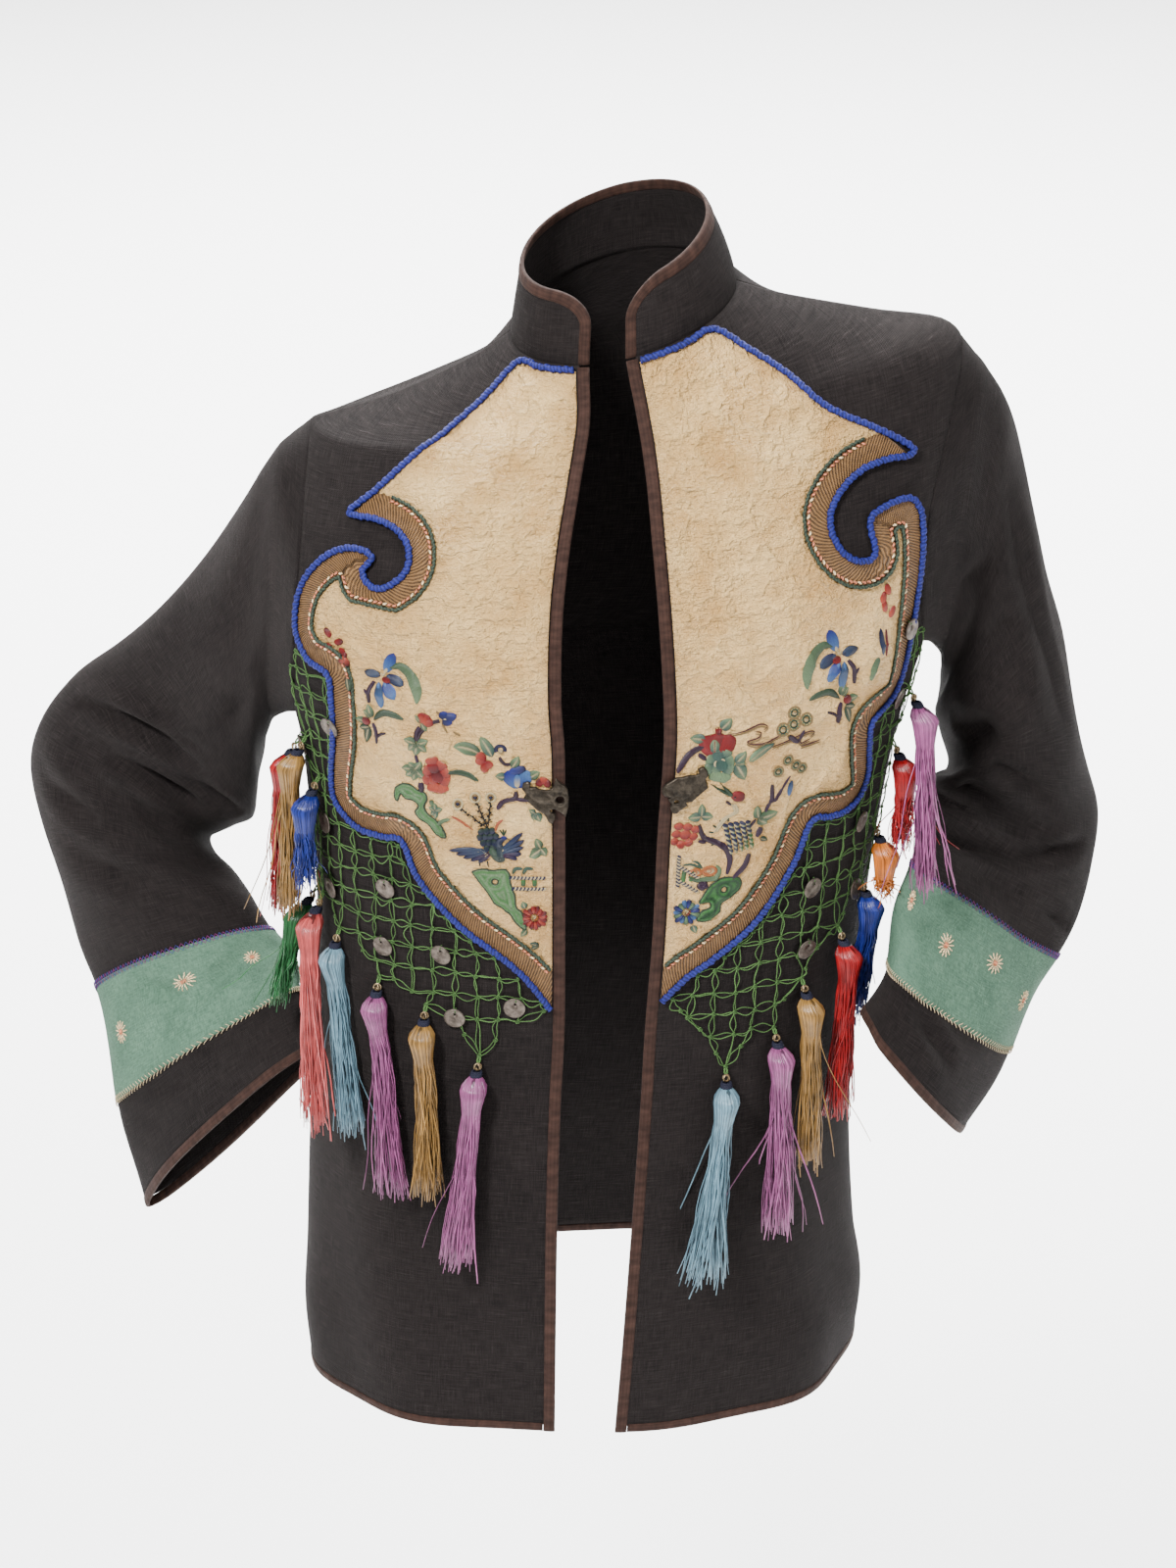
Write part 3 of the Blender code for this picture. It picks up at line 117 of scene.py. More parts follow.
# Sections of the body: drop, lean, half width, front, back, roll, pitch,
# square and how far they fall behind the shoulder seam
BODY_RINGS = np.array((
    (0.0000, 0.0000, 0.0645, 0.055, 0.060, 0.230, 0.29, 2.0, 0.00),
    (0.0115, 0.0020, 0.0900, 0.061, 0.063, 0.210, 0.27, 2.0, 0.52),
    (0.0270, 0.0050, 0.1400, 0.068, 0.067, 0.180, 0.22, 2.1, 0.47),
    (0.0345, 0.0060, 0.1750, 0.073, 0.069, 0.160, 0.19, 2.1, 0.43),
    (0.0420, 0.0070, 0.1870, 0.077, 0.073, 0.133, 0.16, 2.2, 0.39),
    (0.0700, 0.0020, 0.1960, 0.094, 0.088, 0.120, 0.10, 2.4, 0.27),
    (0.1000, -0.0040, 0.2000, 0.110, 0.102, 0.100, 0.06, 2.5, 0.13),
    (0.1400, -0.0090, 0.1990, 0.126, 0.108, 0.080, 0.03, 2.6, 0.00),
    (0.1900, -0.0115, 0.1900, 0.135, 0.110, 0.050, 0.00, 2.7, 0.00),
    (0.2350, -0.0125, 0.1780, 0.135, 0.106, 0.040, 0.00, 2.7, 0.00),
    (0.2800, -0.0144, 0.1720, 0.130, 0.100, 0.030, 0.00, 2.6, 0.00),
    (0.3600, -0.0177, 0.1650, 0.125, 0.094, 0.020, 0.00, 2.5, 0.00),
    (0.4300, -0.0215, 0.1635, 0.125, 0.094, 0.020, 0.00, 2.5, 0.00),
    (0.5000, -0.0250, 0.1645, 0.130, 0.102, 0.020, 0.00, 2.5, 0.00),
    (0.5800, -0.0252, 0.1680, 0.133, 0.114, 0.020, 0.00, 2.5, 0.00),
    (0.6200, -0.0240, 0.1720, 0.134, 0.119, 0.020, 0.00, 2.5, 0.00),
    (0.6600, -0.0244, 0.1690, 0.135, 0.122, 0.015, 0.00, 2.5, 0.00),
))
# Where each front edge hangs: drop, right and left
FRONT_EDGES = np.array((
    (0.000, -0.0195, 0.0010), (0.030, -0.0190, 0.0070), (0.063, -0.0240, 0.0120),
    (0.100, -0.0300, 0.0155), (0.140, -0.0340, 0.0190), (0.190, -0.0348, 0.0220),
    (0.220, -0.0330, 0.0225), (0.275, -0.0328, 0.0195), (0.340, -0.0330, 0.0170),
    (0.400, -0.0336, 0.0130), (0.450, -0.0360, 0.0105), (0.520, -0.0380, 0.0060),
    (0.600, -0.0392, 0.0005), (0.660, -0.0400, -0.0040),
))
# Armhole seam, half width of the panels: part of the way down, right and left
ARMHOLE = np.array((
    (0.00, 0.1870, 0.1870), (0.15, 0.1835, 0.1850), (0.30, 0.1795, 0.1820),
    (0.50, 0.1775, 0.1790), (0.72, 0.1775, 0.1800), (1.00, 0.1780, 0.1864),
))
BODY_DROPS = np.concatenate([
    np.linspace(0, SHOULDER_DROP, 25)[:-1], np.linspace(SHOULDER_DROP, UNDERARM[LEFT], 36)[:-1],
    np.linspace(UNDERARM[LEFT], UNDERARM[RIGHT], 10)[:-1],
    np.linspace(UNDERARM[RIGHT], JACKET_LENGTH - HEM_BINDING + TUCK, 84),
])
BACK_COLUMNS = 112


def bends(t):
    """Shares of a smooth bend's start, the lead from it, its end and the lead into it, part of the way along."""
    return 2 * t**3 - 3 * t**2 + 1, t**3 - 2 * t**2 + t, 3 * t**2 - 2 * t**3, t**3 - t**2


def smooth(rows, column, at):
    """Values of a table's column at places in its first one, smooth between its rows."""
    where, value = rows[:, 0], rows[:, column]
    at = np.clip(np.asarray(at, float), where[0], where[-1])
    k = np.clip(np.searchsorted(where, at, side="right") - 1, 0, len(where) - 2)
    low, high = np.maximum(np.arange(len(where)) - 1, 0), np.minimum(np.arange(len(where)) + 1, len(where) - 1)
    slope = (value[high] - value[low]) / (where[high] - where[low])
    step = where[k + 1] - where[k]
    start, lead, end, lag = bends((at - where[k]) / step)
    return start * value[k] + lead * step * slope[k] + end * value[k + 1] + lag * step * slope[k + 1]


def unit(vectors):
    return vectors / np.maximum(np.linalg.norm(vectors, axis=-1, keepdims=True), 1e-12)


def body(turn, drop):
    """Points of the worn form; turn runs in radians from centre front to the wearer's left."""
    drop = np.clip(drop, 0.0, JACKET_LENGTH)
    lean, half, front, back, roll, pitch, square, fall = (smooth(BODY_RINGS, k, drop) for k in range(1, 9))
    across, ahead = np.sin(turn), np.cos(turn)
    x = half * np.sign(across) * np.abs(across) ** (2 / square)
    y = -np.where(ahead > 0, front, back) * np.sign(ahead) * np.abs(ahead) ** (2 / square)
    z = -drop + roll * x + pitch * y - fall * across**2 * np.maximum(y, 0)
    return np.stack([x + lean, y, z + 0 * x], -1)


def outward(turn, drop):
    """Directions straight out from the worn form."""
    low, high = np.maximum(drop - 0.003, 0.0), np.minimum(drop + 0.003, JACKET_LENGTH)
    return unit(np.cross(body(turn, high) - body(turn, low), body(turn + 0.03, drop) - body(turn - 0.03, drop)))


def turn_at(drop, x, front=True):
    """Turn at which the ring at a drop passes x, on its front or its back half."""
    lean, half, square = (smooth(BODY_RINGS, k, drop) for k in (1, 2, 7))
    part = np.clip((x - lean) / half, -1, 1)
    turn = np.arcsin(np.sign(part) * np.abs(part) ** (square / 2))
    return turn if front else np.copysign(math.pi, turn) - turn


def edge_turn(side, drop):
    return turn_at(drop, smooth(FRONT_EDGES, 1 if side == RIGHT else 2, drop))


def outer_turn(side, drop, front=True):
    """Turn at which a panel ends: shoulder seam, armhole, then side seam."""
    drop = np.asarray(drop, float)
    part = (drop - SHOULDER_DROP) / (UNDERARM[side] - SHOULDER_DROP)
    half = smooth(ARMHOLE, 1 if side == RIGHT else 2, part)
    turn = turn_at(drop, smooth(BODY_RINGS, 1, drop) + side * half, front)
    return np.where((part > 0) & (part < 1), turn, side * math.pi / 2)


def drape(turn, drop):
    """How far the body cloth stands off its form: long soft folds that open towards the hem."""
    low = np.clip((drop - 0.30) / 0.30, 0, 1) ** 1.5
    long_folds = 0.0022 * low * np.sin(9 * turn + 2.2 * np.sin(5 * drop) + 0.6)
    chest = 0.0010 * np.exp(-(((drop - 0.20) / 0.09) ** 2)) * np.sin(14 * turn + 9 * drop)
    blades = 0.0016 * np.exp(-(((drop - 0.17) / 0.10) ** 2)) * np.where(np.cos(turn) < 0, np.sin(8 * turn), 0)
    return long_folds + chest + blades


def grid_faces(rows, columns, ring=False, closed=False):
    """Four-cornered faces of a grid; ring joins its last column to its first, and closed its last row."""
    last_row, last_column = rows if closed else rows - 1, columns if ring else columns - 1
    i, j = np.meshgrid(np.arange(last_row), np.arange(last_column), indexing="ij")
    k, n = (j + 1) % columns, (i + 1) % rows
    return np.stack([i * columns + j, i * columns + k, n * columns + k, n * columns + j], -1).reshape(-1, 4)


def corner_numbers(mesh):
    """The vertex at each corner of a mesh's faces."""
    corners = np.empty(len(mesh.loops), int)
    mesh.loops.foreach_get("vertex_index", corners)
    return corners


def wrapped(numbers, columns):
    """Corners in the first column that belong to a face between the last column and the first."""
    rings = (numbers % columns).reshape(-1, 4)
    return ((np.ptp(rings, axis=1)[:, None] > columns // 2) & (rings == 0)).ravel()


def charted(mesh, spots):
    """Lays the weave chart on a mesh: a spot for each corner of its faces."""
    mesh.uv_layers.new(name="weave").data.foreach_set("uv", spots.ravel())


def linked(mesh):
    """The mesh as a smooth piece of the scene."""
    mesh.shade_smooth()
    piece = bpy.data.objects.new(mesh.name, mesh)
    bpy.context.scene.collection.objects.link(piece)
    return piece


def sheet_piece(name, points, ways, wall, chart, loop=False):
    """A cloth shell: its face is the grid of points, its wall goes in from there, and chart is its weave UV."""
    rows, columns = points.shape[:2]
    verts = np.concatenate([points.reshape(-1, 3), (points - wall * ways).reshape(-1, 3)])
    inside = rows * columns
    face = grid_faces(rows, columns, ring=loop)
    across, down = np.arange(columns if loop else columns - 1), np.arange(rows - 1)
    rims = []
    for row in (0, rows - 1):
        one, two = row * columns + across, row * columns + (across + 1) % columns
        rims.append(np.stack([one, two, two + inside, one + inside], -1)[:, :: 1 if row else -1])
    if not loop:
        for column in (0, columns - 1):
            one, two = down * columns + column, (down + 1) * columns + column
            rims.append(np.stack([one, two, two + inside, one + inside], -1)[:, :: -1 if column else 1])
    faces = np.concatenate([face, face[:, ::-1] + inside, *rims])
    a, b, c = (points.reshape(-1, 3)[face[:, n]] for n in (0, 1, 3))
    if np.sum(np.cross(b - a, c - a) * ways.reshape(-1, 3)[face[:, 0]]) < 0:
        faces = faces[:, ::-1]
    mesh = bpy.data.meshes.new(name)
    mesh.from_pydata(verts, [], faces.tolist())
    corners = corner_numbers(mesh)
    spots = np.concatenate([chart.reshape(-1, 2)] * 2)[corners]
    if loop:  # the last column closes the chart on itself
        girth = chart[:, -1, 0] + (chart[:, 1, 0] - chart[:, 0, 0])
        wraps = wrapped(corners, columns)
        spots[wraps, 0] = girth[(corners % inside // columns)[wraps]]
    charted(mesh, spots)
    return linked(mesh)


class Value:
    """A shader socket. Operators on it add Math nodes, so a pattern is written as a sum."""

    def __init__(self, tree, socket):
        self.tree, self.socket = tree, socket

    def node(self, kind, settings=(), values=(), out=0):
        """Output of a new node with these settings and these values or links on its sockets."""
        made = self.tree.nodes.new(kind)
        for name, value in dict(settings).items():
            setattr(made, name, value)
        for name, value in dict(values).items():
            if isinstance(value, Value):
                self.tree.links.new(value.socket, made.inputs[name])
            else:
                made.inputs[name].default_value = value
        return Value(self.tree, made.outputs[out])

    def maths(self, operation, *terms):
        return self.node("ShaderNodeMath", {"operation": operation}, enumerate(terms))

    def __add__(self, other):
        return self.maths("ADD", self, other)

    def __mul__(self, other):
        return self.maths("MULTIPLY", self, other)

    def __sub__(self, other):
        return self.maths("SUBTRACT", self, other)

    def __rsub__(self, other):
        return self.maths("SUBTRACT", other, self)

    __radd__, __rmul__ = __add__, __mul__

    def step(self, low, high):
        """0 below low and 1 above high, with a soft step between."""
        values = {"Value": self, "From Min": low, "From Max": high}
        return self.node("ShaderNodeMapRange", {"interpolation_type": "SMOOTHSTEP"}, values)

    def size(self):
        return self.maths("ABSOLUTE", self)

    def wave(self, pitch):
        """A sine of this pitch along a length, from 0 to 1."""
        return self.maths("SINE", self * (2 * math.pi / pitch)) * 0.5 + 0.5

    def blend(self, one, two):
        """Colour one where this is 0 and two where it is 1."""
        return self.node("ShaderNodeMix", {"data_type": "RGBA"}, {0: self, 6: one, 7: two}, out=2)

    def dyed(self, tint, dark, light):
        """The tint times the dark share where this is 0, and times the light one where it is 1."""
        settings = {"data_type": "RGBA", "blend_type": "MULTIPLY"}
        one, two = (
            tint.node("ShaderNodeMix", settings, {0: 1.0, 6: tint, 7: (share, share, share, 1)}, out=2)
            for share in (dark, light)
        )
        return self.blend(one, two)


class Finish:
    """A material in the making: its principled shader and its patterns."""

    def __init__(self, name, roughness, metallic=0.0, sheen=0.0, sheen_tint=(1, 1, 1), specular=0.5):
        self.material = bpy.data.materials.new(name)
        self.material.use_nodes = True
        self.tree = self.material.node_tree
        self.shader = self.tree.nodes["Principled BSDF"]
        self.shader.inputs["Roughness"].default_value = roughness
        self.shader.inputs["Metallic"].default_value = metallic
        self.shader.inputs["Sheen Weight"].default_value = sheen
        self.shader.inputs["Sheen Tint"].default_value = (*sheen_tint, 1.0)
        self.shader.inputs["Specular IOR Level"].default_value = specular
        self.start = Value(self.tree, None)

    def chart(self):
        """Across and along of the piece's own weave chart, in metres, and both as a vector."""
        place = self.start.node("ShaderNodeUVMap", {"uv_map": "weave"})
        return self.parts(place) + (place,)

    def place(self):
        return self.start.node("ShaderNodeTexCoord", out=3)

    def parts(self, vector):
        one = vector.node("ShaderNodeSeparateXYZ", {}, {0: vector})
        other = Value(self.tree, one.socket.node.outputs[1])
        return one, other

    def vector(self, x, y, z=0.0):
        return self.start.node("ShaderNodeCombineXYZ", {}, {0: x, 1: y, 2: z})

    def noise(self, at, scale, detail=2.0, roughness=0.5):
        values = {"Vector": at, "Scale": scale, "Detail": detail, "Roughness": roughness}
        return at.node("ShaderNodeTexNoise", {}, values)

    def attribute(self, name, out=0):
        return self.start.node("ShaderNodeAttribute", {"attribute_name": name}, out=out)

    def set(self, **wanted):
        """Links or values for the shader's sockets, named as base_color or roughness; bump is (height, metres)."""
        for name, value in wanted.items():
            if name == "bump":
                height, distance = value
                value = height.node("ShaderNodeBump", {}, {"Height": height, "Distance": distance, "Strength": 1.0})
                name = "normal"
            socket = self.shader.inputs[name.replace("_", " ").title()]
            if isinstance(value, Value):
                self.tree.links.new(value.socket, socket)
            else:
                socket.default_value = value
        return self.material


def cotton_twill():
    """Charcoal twill: fine diagonal ribs, uneven threads, and pale lint caught in it."""
    finish = Finish("charcoal_twill", 0.86, sheen=0.02, sheen_tint=(0.9, 0.8, 0.75), specular=0.10)
    across, along, chart = finish.chart()
    ribs = (across + along).wave(0.0011) * 0.5 + (across - along * 0.3).wave(0.0009) * 0.3
    warp = finish.noise(finish.vector(across * 1400.0, along * 90.0), 1.0, 3.0)
    weft = finish.noise(finish.vector(across * 70.0, along * 1300.0, 4.0), 1.0, 3.0)
    threads = warp * 0.5 + weft * 0.5
    specks = finish.noise(chart, 1500.0, 1.0).step(0.66, 0.76)
    wear = finish.noise(finish.place(), 9.0, 4.0, 0.6)
    slub = weft.step(0.62, 0.78) + warp.step(0.66, 0.80) * 0.7
    tone = (threads * 1.1 + wear * 0.30 + specks * 0.50 + slub * 0.20).step(0.30, 1.35)
    colour = tone.blend((0.0020, 0.0016, 0.0017, 1), (0.0330, 0.0260, 0.0250, 1))
    return finish.set(base_color=colour, roughness=0.93 - tone * 0.1,
                      bump=(ribs * 0.35 + threads * 0.9 + slub * 0.4, 0.0009))


twill = cotton_twill()


def finished(piece, material, slot, *nodes):
    """The piece gets its material, rides on the jacket and stands for its solids; its slot is not used."""
    piece.data.materials.append(material)
    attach(piece, "root")
    if nodes:
        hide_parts(*nodes)
    return piece


def travelled(points):
    """Distance along a line at each of its points."""
    return np.concatenate([[0], np.cumsum(np.linalg.norm(np.diff(points, axis=0), axis=1))])


def ring_grid(drops, start, end, columns):
    """Turns and distances of a grid between two turns on each level ring."""
    turns, runs = [], []
    for drop, one, two in zip(drops, start, end):
        fine = np.linspace(one, two, 400)
        run = travelled(body(fine, drop))
        even = np.linspace(0, run[-1], columns + 1)
        turns.append(np.interp(even, run, fine))
        runs.append(even)
    return np.array(turns), np.array(runs)


def back_grid(drops):
    right = outer_turn(RIGHT, drops, front=False) + 2 * math.pi
    return ring_grid(drops, right, outer_turn(LEFT, drops, front=False), BACK_COLUMNS)


BACK_EASE = np.sin(np.linspace(0, math.pi, BACK_COLUMNS + 1)) ** 0.3  # its folds fade out at the side seams
turns, runs = back_grid(BODY_DROPS)
drops = np.repeat(BODY_DROPS[:, None], BACK_COLUMNS + 1, axis=1)
ways = outward(turns, drops)
points = body(turns, drops) + (drape(turns, drops) * BACK_EASE)[..., None] * ways
back = sheet_piece("back_panel", points, ways, CLOTH, np.stack([runs, drops], -1))
finished(back, twill, "cloth", "back")


# Fronts
# Two panels of the same twill. Each hangs from its shoulder seam and leaves the
# front edge and the hem to the bindings.
FRONT_BINDING = 0.0070
RULER_STEP = (0.001, 0.002)  # across and down
RULER_BACK = 0.012           # the rulers start this far before the front edge
FRONT_COLUMNS = 62


def rulers(side):
    """Turn at each millimetre across a front, for each 2 mm of drop, and the width at each drop."""
    drops = np.arange(0, JACKET_LENGTH + 0.001, RULER_STEP[1])
    reach = np.arange(-RULER_BACK, 0.420, RULER_STEP[0])
    sweep = np.linspace(-0.35, 3.4, 900)
    table, width = [], []
    for drop, start, end in zip(drops, edge_turn(side, drops), outer_turn(side, drops)):
        turns = start + side * sweep
        run = travelled(body(turns, drop))
        run -= np.interp(0, sweep, run)
        table.append(np.interp(reach, run, turns))
        width.append(np.interp(side * (end - start), sweep, run))
    return np.array(table), np.array(width)


RULERS = {side: rulers(side) for side in NAMES}


def front_turn(side, across, drop):
    """Turn of a place on a front."""
    table = RULERS[side][0]
    a = np.clip((np.asarray(across) + RULER_BACK) / RULER_STEP[0], 0, table.shape[1] - 1.001)
    d = np.clip(np.asarray(drop) / RULER_STEP[1], 0, table.shape[0] - 1.001)
    j, i = a.astype(int), d.astype(int)
    s, t = a - j, d - i
    top = (1 - s) * table[i, j] + s * table[i, j + 1]
    low = (1 - s) * table[i + 1, j] + s * table[i + 1, j + 1]
    return (1 - t) * top + t * low


def front_width(side, drop):
    return np.interp(drop, np.arange(len(RULERS[side][1])) * RULER_STEP[1], RULERS[side][1])


def on_front(side, across, drop, lift=0.0):
    """Points over a front's cloth, and the ways out from it."""
    turn = front_turn(side, across, drop)
    way = outward(turn, np.asarray(drop, float))
    return body(turn, drop) + (drape(turn, drop) + lift)[..., None] * way, way


for side, name in NAMES.items():
    part = np.linspace(0, 1, FRONT_COLUMNS + 1)
    drops = np.repeat(BODY_DROPS[:, None], FRONT_COLUMNS + 1, axis=1)
    start = FRONT_BINDING - TUCK
    across = start + part * (front_width(side, BODY_DROPS)[:, None] - start)
    points, ways = on_front(side, across, drops)
    front = sheet_piece(f"front_panel_{name}", points, ways, CLOTH, np.stack([side * across, drops], -1))
    finished(front, twill, "cloth", f"front_{name}")


# Sleeves
# One tube of the same twill each, sewn into the armhole and caught up in deep
# folds at the bent elbow, with the hand resting on the hip.
# Sections: the outer and the inner fold of the tube, its girth and its forward tip
SLEEVES = {
    RIGHT: np.array((
        (-0.200, 0.014, -0.089, -0.209, 0.008, -0.258, 0.46, 22),
        (-0.220, 0.028, -0.123, -0.214, 0.018, -0.275, 0.43, 22),
        (-0.245, 0.042, -0.163, -0.218, 0.032, -0.295, 0.40, 22),
        (-0.274, 0.060, -0.201, -0.222, 0.046, -0.318, 0.385, 22),
        (-0.306, 0.080, -0.235, -0.226, 0.058, -0.341, 0.375, 22),
        (-0.336, 0.098, -0.263, -0.239, 0.070, -0.352, 0.37, 22),
        (-0.359, 0.112, -0.294, -0.250, 0.077, -0.358, 0.37, 22),
        (-0.368, 0.118, -0.326, -0.254, 0.078, -0.363, 0.37, 22),
        (-0.362, 0.112, -0.367, -0.250, 0.070, -0.369, 0.36, 24),
        (-0.352, 0.100, -0.402, -0.239, 0.056, -0.376, 0.36, 28),
        (-0.340, 0.085, -0.434, -0.225, 0.040, -0.386, 0.355, 32),
        (-0.328, 0.068, -0.460, -0.212, 0.020, -0.400, 0.35, 36),
        (-0.321, 0.050, -0.488, -0.200, 0.000, -0.408, 0.35, 34),
        (-0.313, 0.028, -0.520, -0.194, -0.022, -0.420, 0.352, 32),
        (-0.304, 0.008, -0.548, -0.187, -0.044, -0.430, 0.358, 40),
        (-0.295, -0.008, -0.574, -0.181, -0.064, -0.441, 0.363, 46),
    )),
    LEFT: np.array((
        (0.208, 0.012, -0.038, 0.189, 0.006, -0.215, 0.46, 22),
        (0.224, 0.020, -0.066, 0.190, 0.014, -0.229, 0.43, 22),
        (0.234, 0.030, -0.099, 0.191, 0.022, -0.243, 0.40, 22),
        (0.244, 0.040, -0.142, 0.189, 0.030, -0.258, 0.385, 22),
        (0.254, 0.050, -0.182, 0.192, 0.036, -0.273, 0.375, 22),
        (0.266, 0.060, -0.223, 0.196, 0.038, -0.286, 0.37, 22),
        (0.276, 0.070, -0.271, 0.199, 0.036, -0.294, 0.37, 21),
        (0.286, 0.074, -0.312, 0.196, 0.028, -0.297, 0.37, 20),
        (0.294, 0.070, -0.343, 0.187, 0.012, -0.293, 0.36, 19),
        (0.292, 0.058, -0.371, 0.177, -0.010, -0.294, 0.36, 18),
        (0.282, 0.040, -0.394, 0.172, -0.034, -0.301, 0.355, 16),
        (0.267, 0.016, -0.414, 0.170, -0.056, -0.322, 0.35, 14),
        (0.251, -0.008, -0.430, 0.161, -0.075, -0.345, 0.35, 12),
        (0.235, -0.030, -0.453, 0.155, -0.092, -0.372, 0.352, 11),
        (0.221, -0.050, -0.472, 0.147, -0.104, -0.387, 0.358, 11),
        (0.205, -0.069, -0.490, 0.140, -0.114, -0.396, 0.363, 12),
    )),
}
# Broad folds, as troughs: section, turn round the sleeve (degrees, 0 outer, 90
# front, 180 inner), half reach, half width in sections, depth and slant
FOLDS = {
    RIGHT: (
        (7.2, 95, 65, 0.75, 0.009, -1.2), (5.4, 105, 55, 0.60, 0.006, -0.8), (8.8, 125, 45, 0.60, 0.005, 0.6),
        (7.0, 250, 60, 0.70, 0.006, 0.8), (12.4, 60, 40, 0.60, 0.003, 0.5),
    ),
    LEFT: (
        (7.0, 110, 55, 0.70, 0.008, -0.8), (8.6, 100, 65, 0.60, 0.007, -0.9), (10.2, 95, 65, 0.60, 0.006, -0.8),
        (5.4, 140, 50, 0.60, 0.004, -0.5), (7.6, 265, 50, 0.80, 0.004, 0.5),
    ),
}
# Creases: from section and turn to section and turn, half width and depth in
# millimetres, and the share of the depth that stands up beside them
CREASES = {
    RIGHT: (
        (5.4, 40, 4.0, 118, 7, 7.5, 0.6), (5.9, 78, 5.3, 142, 6, 8.5, 0.5), (7.2, 32, 7.8, 78, 9, 4.5, 0.4),
        (4.7, 108, 4.2, 158, 8, 6.0, 0.3), (4.3, 84, 3.7, 108, 5, 3.5, 0.4), (0.2, 104, 2.8, 68, 12, 3.0, 0.4),
        (1.0, 124, 3.4, 104, 10, 3.0, 0.3), (8.5, 44, 9.4, 104, 10, 4.0, 0.4), (7.0, 98, 7.7, 142, 8, 5.0, 0.4),
        (11.3, 60, 12.15, 92, 6, 3.8, 0.5), (12.2, 84, 11.7, 124, 6, 4.2, 0.5), (5.6, 214, 6.4, 290, 8, 5.0, 0.5),
        (7.4, 220, 8.2, 280, 9, 4.0, 0.4), (13.2, 50, 13.9, 96, 8, 2.6, 0.4),
    ),
    LEFT: (
        (0.0, 122, 2.5, 84, 9, 4.5, 0.4), (4.2, 152, 6.6, 98, 11, 9.0, 0.3), (10.1, 152, 9.4, 68, 7, 8.0, 0.6),
        (9.5, 82, 8.6, 36, 6, 5.0, 0.5), (8.0, 152, 8.6, 92, 7, 7.5, 0.6), (10.2, 62, 10.4, 16, 5, 4.0, 0.4),
        (6.7, 122, 8.2, 66, 8, 5.5, 0.5), (1.4, 62, 6.6, 50, 9, 3.0, 0.4), (11.4, 98, 11.9, 138, 5, 3.2, 0.4),
        (13.2, 124, 13.9, 78, 6, 4.0, 0.5), (3.2, 96, 4.4, 62, 7, 2.8, 0.4), (7.2, 230, 8.6, 300, 8, 4.5, 0.5),
        (5.4, 220, 6.2, 280, 9, 4.0, 0.4),
    ),
}
CUFF_BINDING = 0.0060
SLEEVE_AROUND = 144
SLEEVE_STEP = 0.1  # in sections


def sleeve_rings(side, sections, turns):
    rows = np.column_stack([np.arange(len(SLEEVES[side])), SLEEVES[side]])
    got = [smooth(rows, k, sections)[:, None] for k in range(1, 9)]
    outer, inner = np.concatenate(got[0:3], 1), np.concatenate(got[3:6], 1)
    half, tip = (outer - inner) / 2, np.radians(got[7])
    ahead = np.concatenate([0 * tip, -np.cos(tip), np.sin(tip)], 1)
    deep = np.sqrt(np.maximum(2 * (got[6][:, 0] / (2 * math.pi)) ** 2 - np.sum(half * half, 1), 0.026**2))
    across, depth = (np.sign(f(turns)) * np.abs(f(turns)) ** 0.9 for f in (np.cos, np.sin))
    return (
        ((outer + inner) / 2)[:, None]
        + half[:, None] * across[None, :, None]
        + (ahead * deep[:, None])[:, None] * depth[None, :, None]
    )


ALLOWANCE = 0.0060  # sleeve cloth turned in past the armhole seam


def round_turns(count):
    """Even turns once round, in radians."""
    return np.arange(count) * 2 * math.pi / count


def armhole_ring(side, turns):
    """Armhole seam at these turns, down the front and up the back, its ways out and its ways on to the sleeve."""
    ring, ways = np.zeros((len(turns), 3)), np.zeros((len(turns), 3))
    for front in (True, False):
        drops = np.linspace(SHOULDER_DROP, UNDERARM[side], 200)
        path = body(outer_turn(side, drops, front), drops)
        run = travelled(path)
        mine = turns <= math.pi if front else turns > math.pi
        part = turns[mine] / math.pi if front else 2 - turns[mine] / math.pi
        drop = np.interp(part * run[-1], run, drops)
        ring[mine] = body(outer_turn(side, drop, front), drop)
        ways[mine] = outward(outer_turn(side, drop, front), drop)
    away = unit(np.cross(ways, np.roll(ring, -1, axis=0) - np.roll(ring, 1, axis=0)))
    away *= np.sign(np.sum(away * (ring.mean(axis=0) - ring), axis=1, keepdims=True))
    return ring + 1.5 * SEAM * away + 0.5 * SEAM * ways, ways, away


def seam_allowance(side):
    """Two rows of sleeve cloth turned in under the body's panels past the armhole seam, and their ways out."""
    ring, ways, away = armhole_ring(side, round_turns(SLEEVE_AROUND))
    under = ring - (CLOTH + 2 * SEAM) * ways
    return np.stack([under - ALLOWANCE * away, under - 2 * SEAM * away]), np.stack([ways, ways])


def tube_ways(rings):
    """Directions out of a tube at each of its points."""
    ways = unit(np.cross(np.gradient(rings, axis=0), np.roll(rings, -1, axis=1) - np.roll(rings, 1, axis=1)))
    outward_share = np.sum(ways * (rings - rings.mean(axis=1, keepdims=True)), axis=2)
    return ways if outward_share.mean() > 0 else -ways


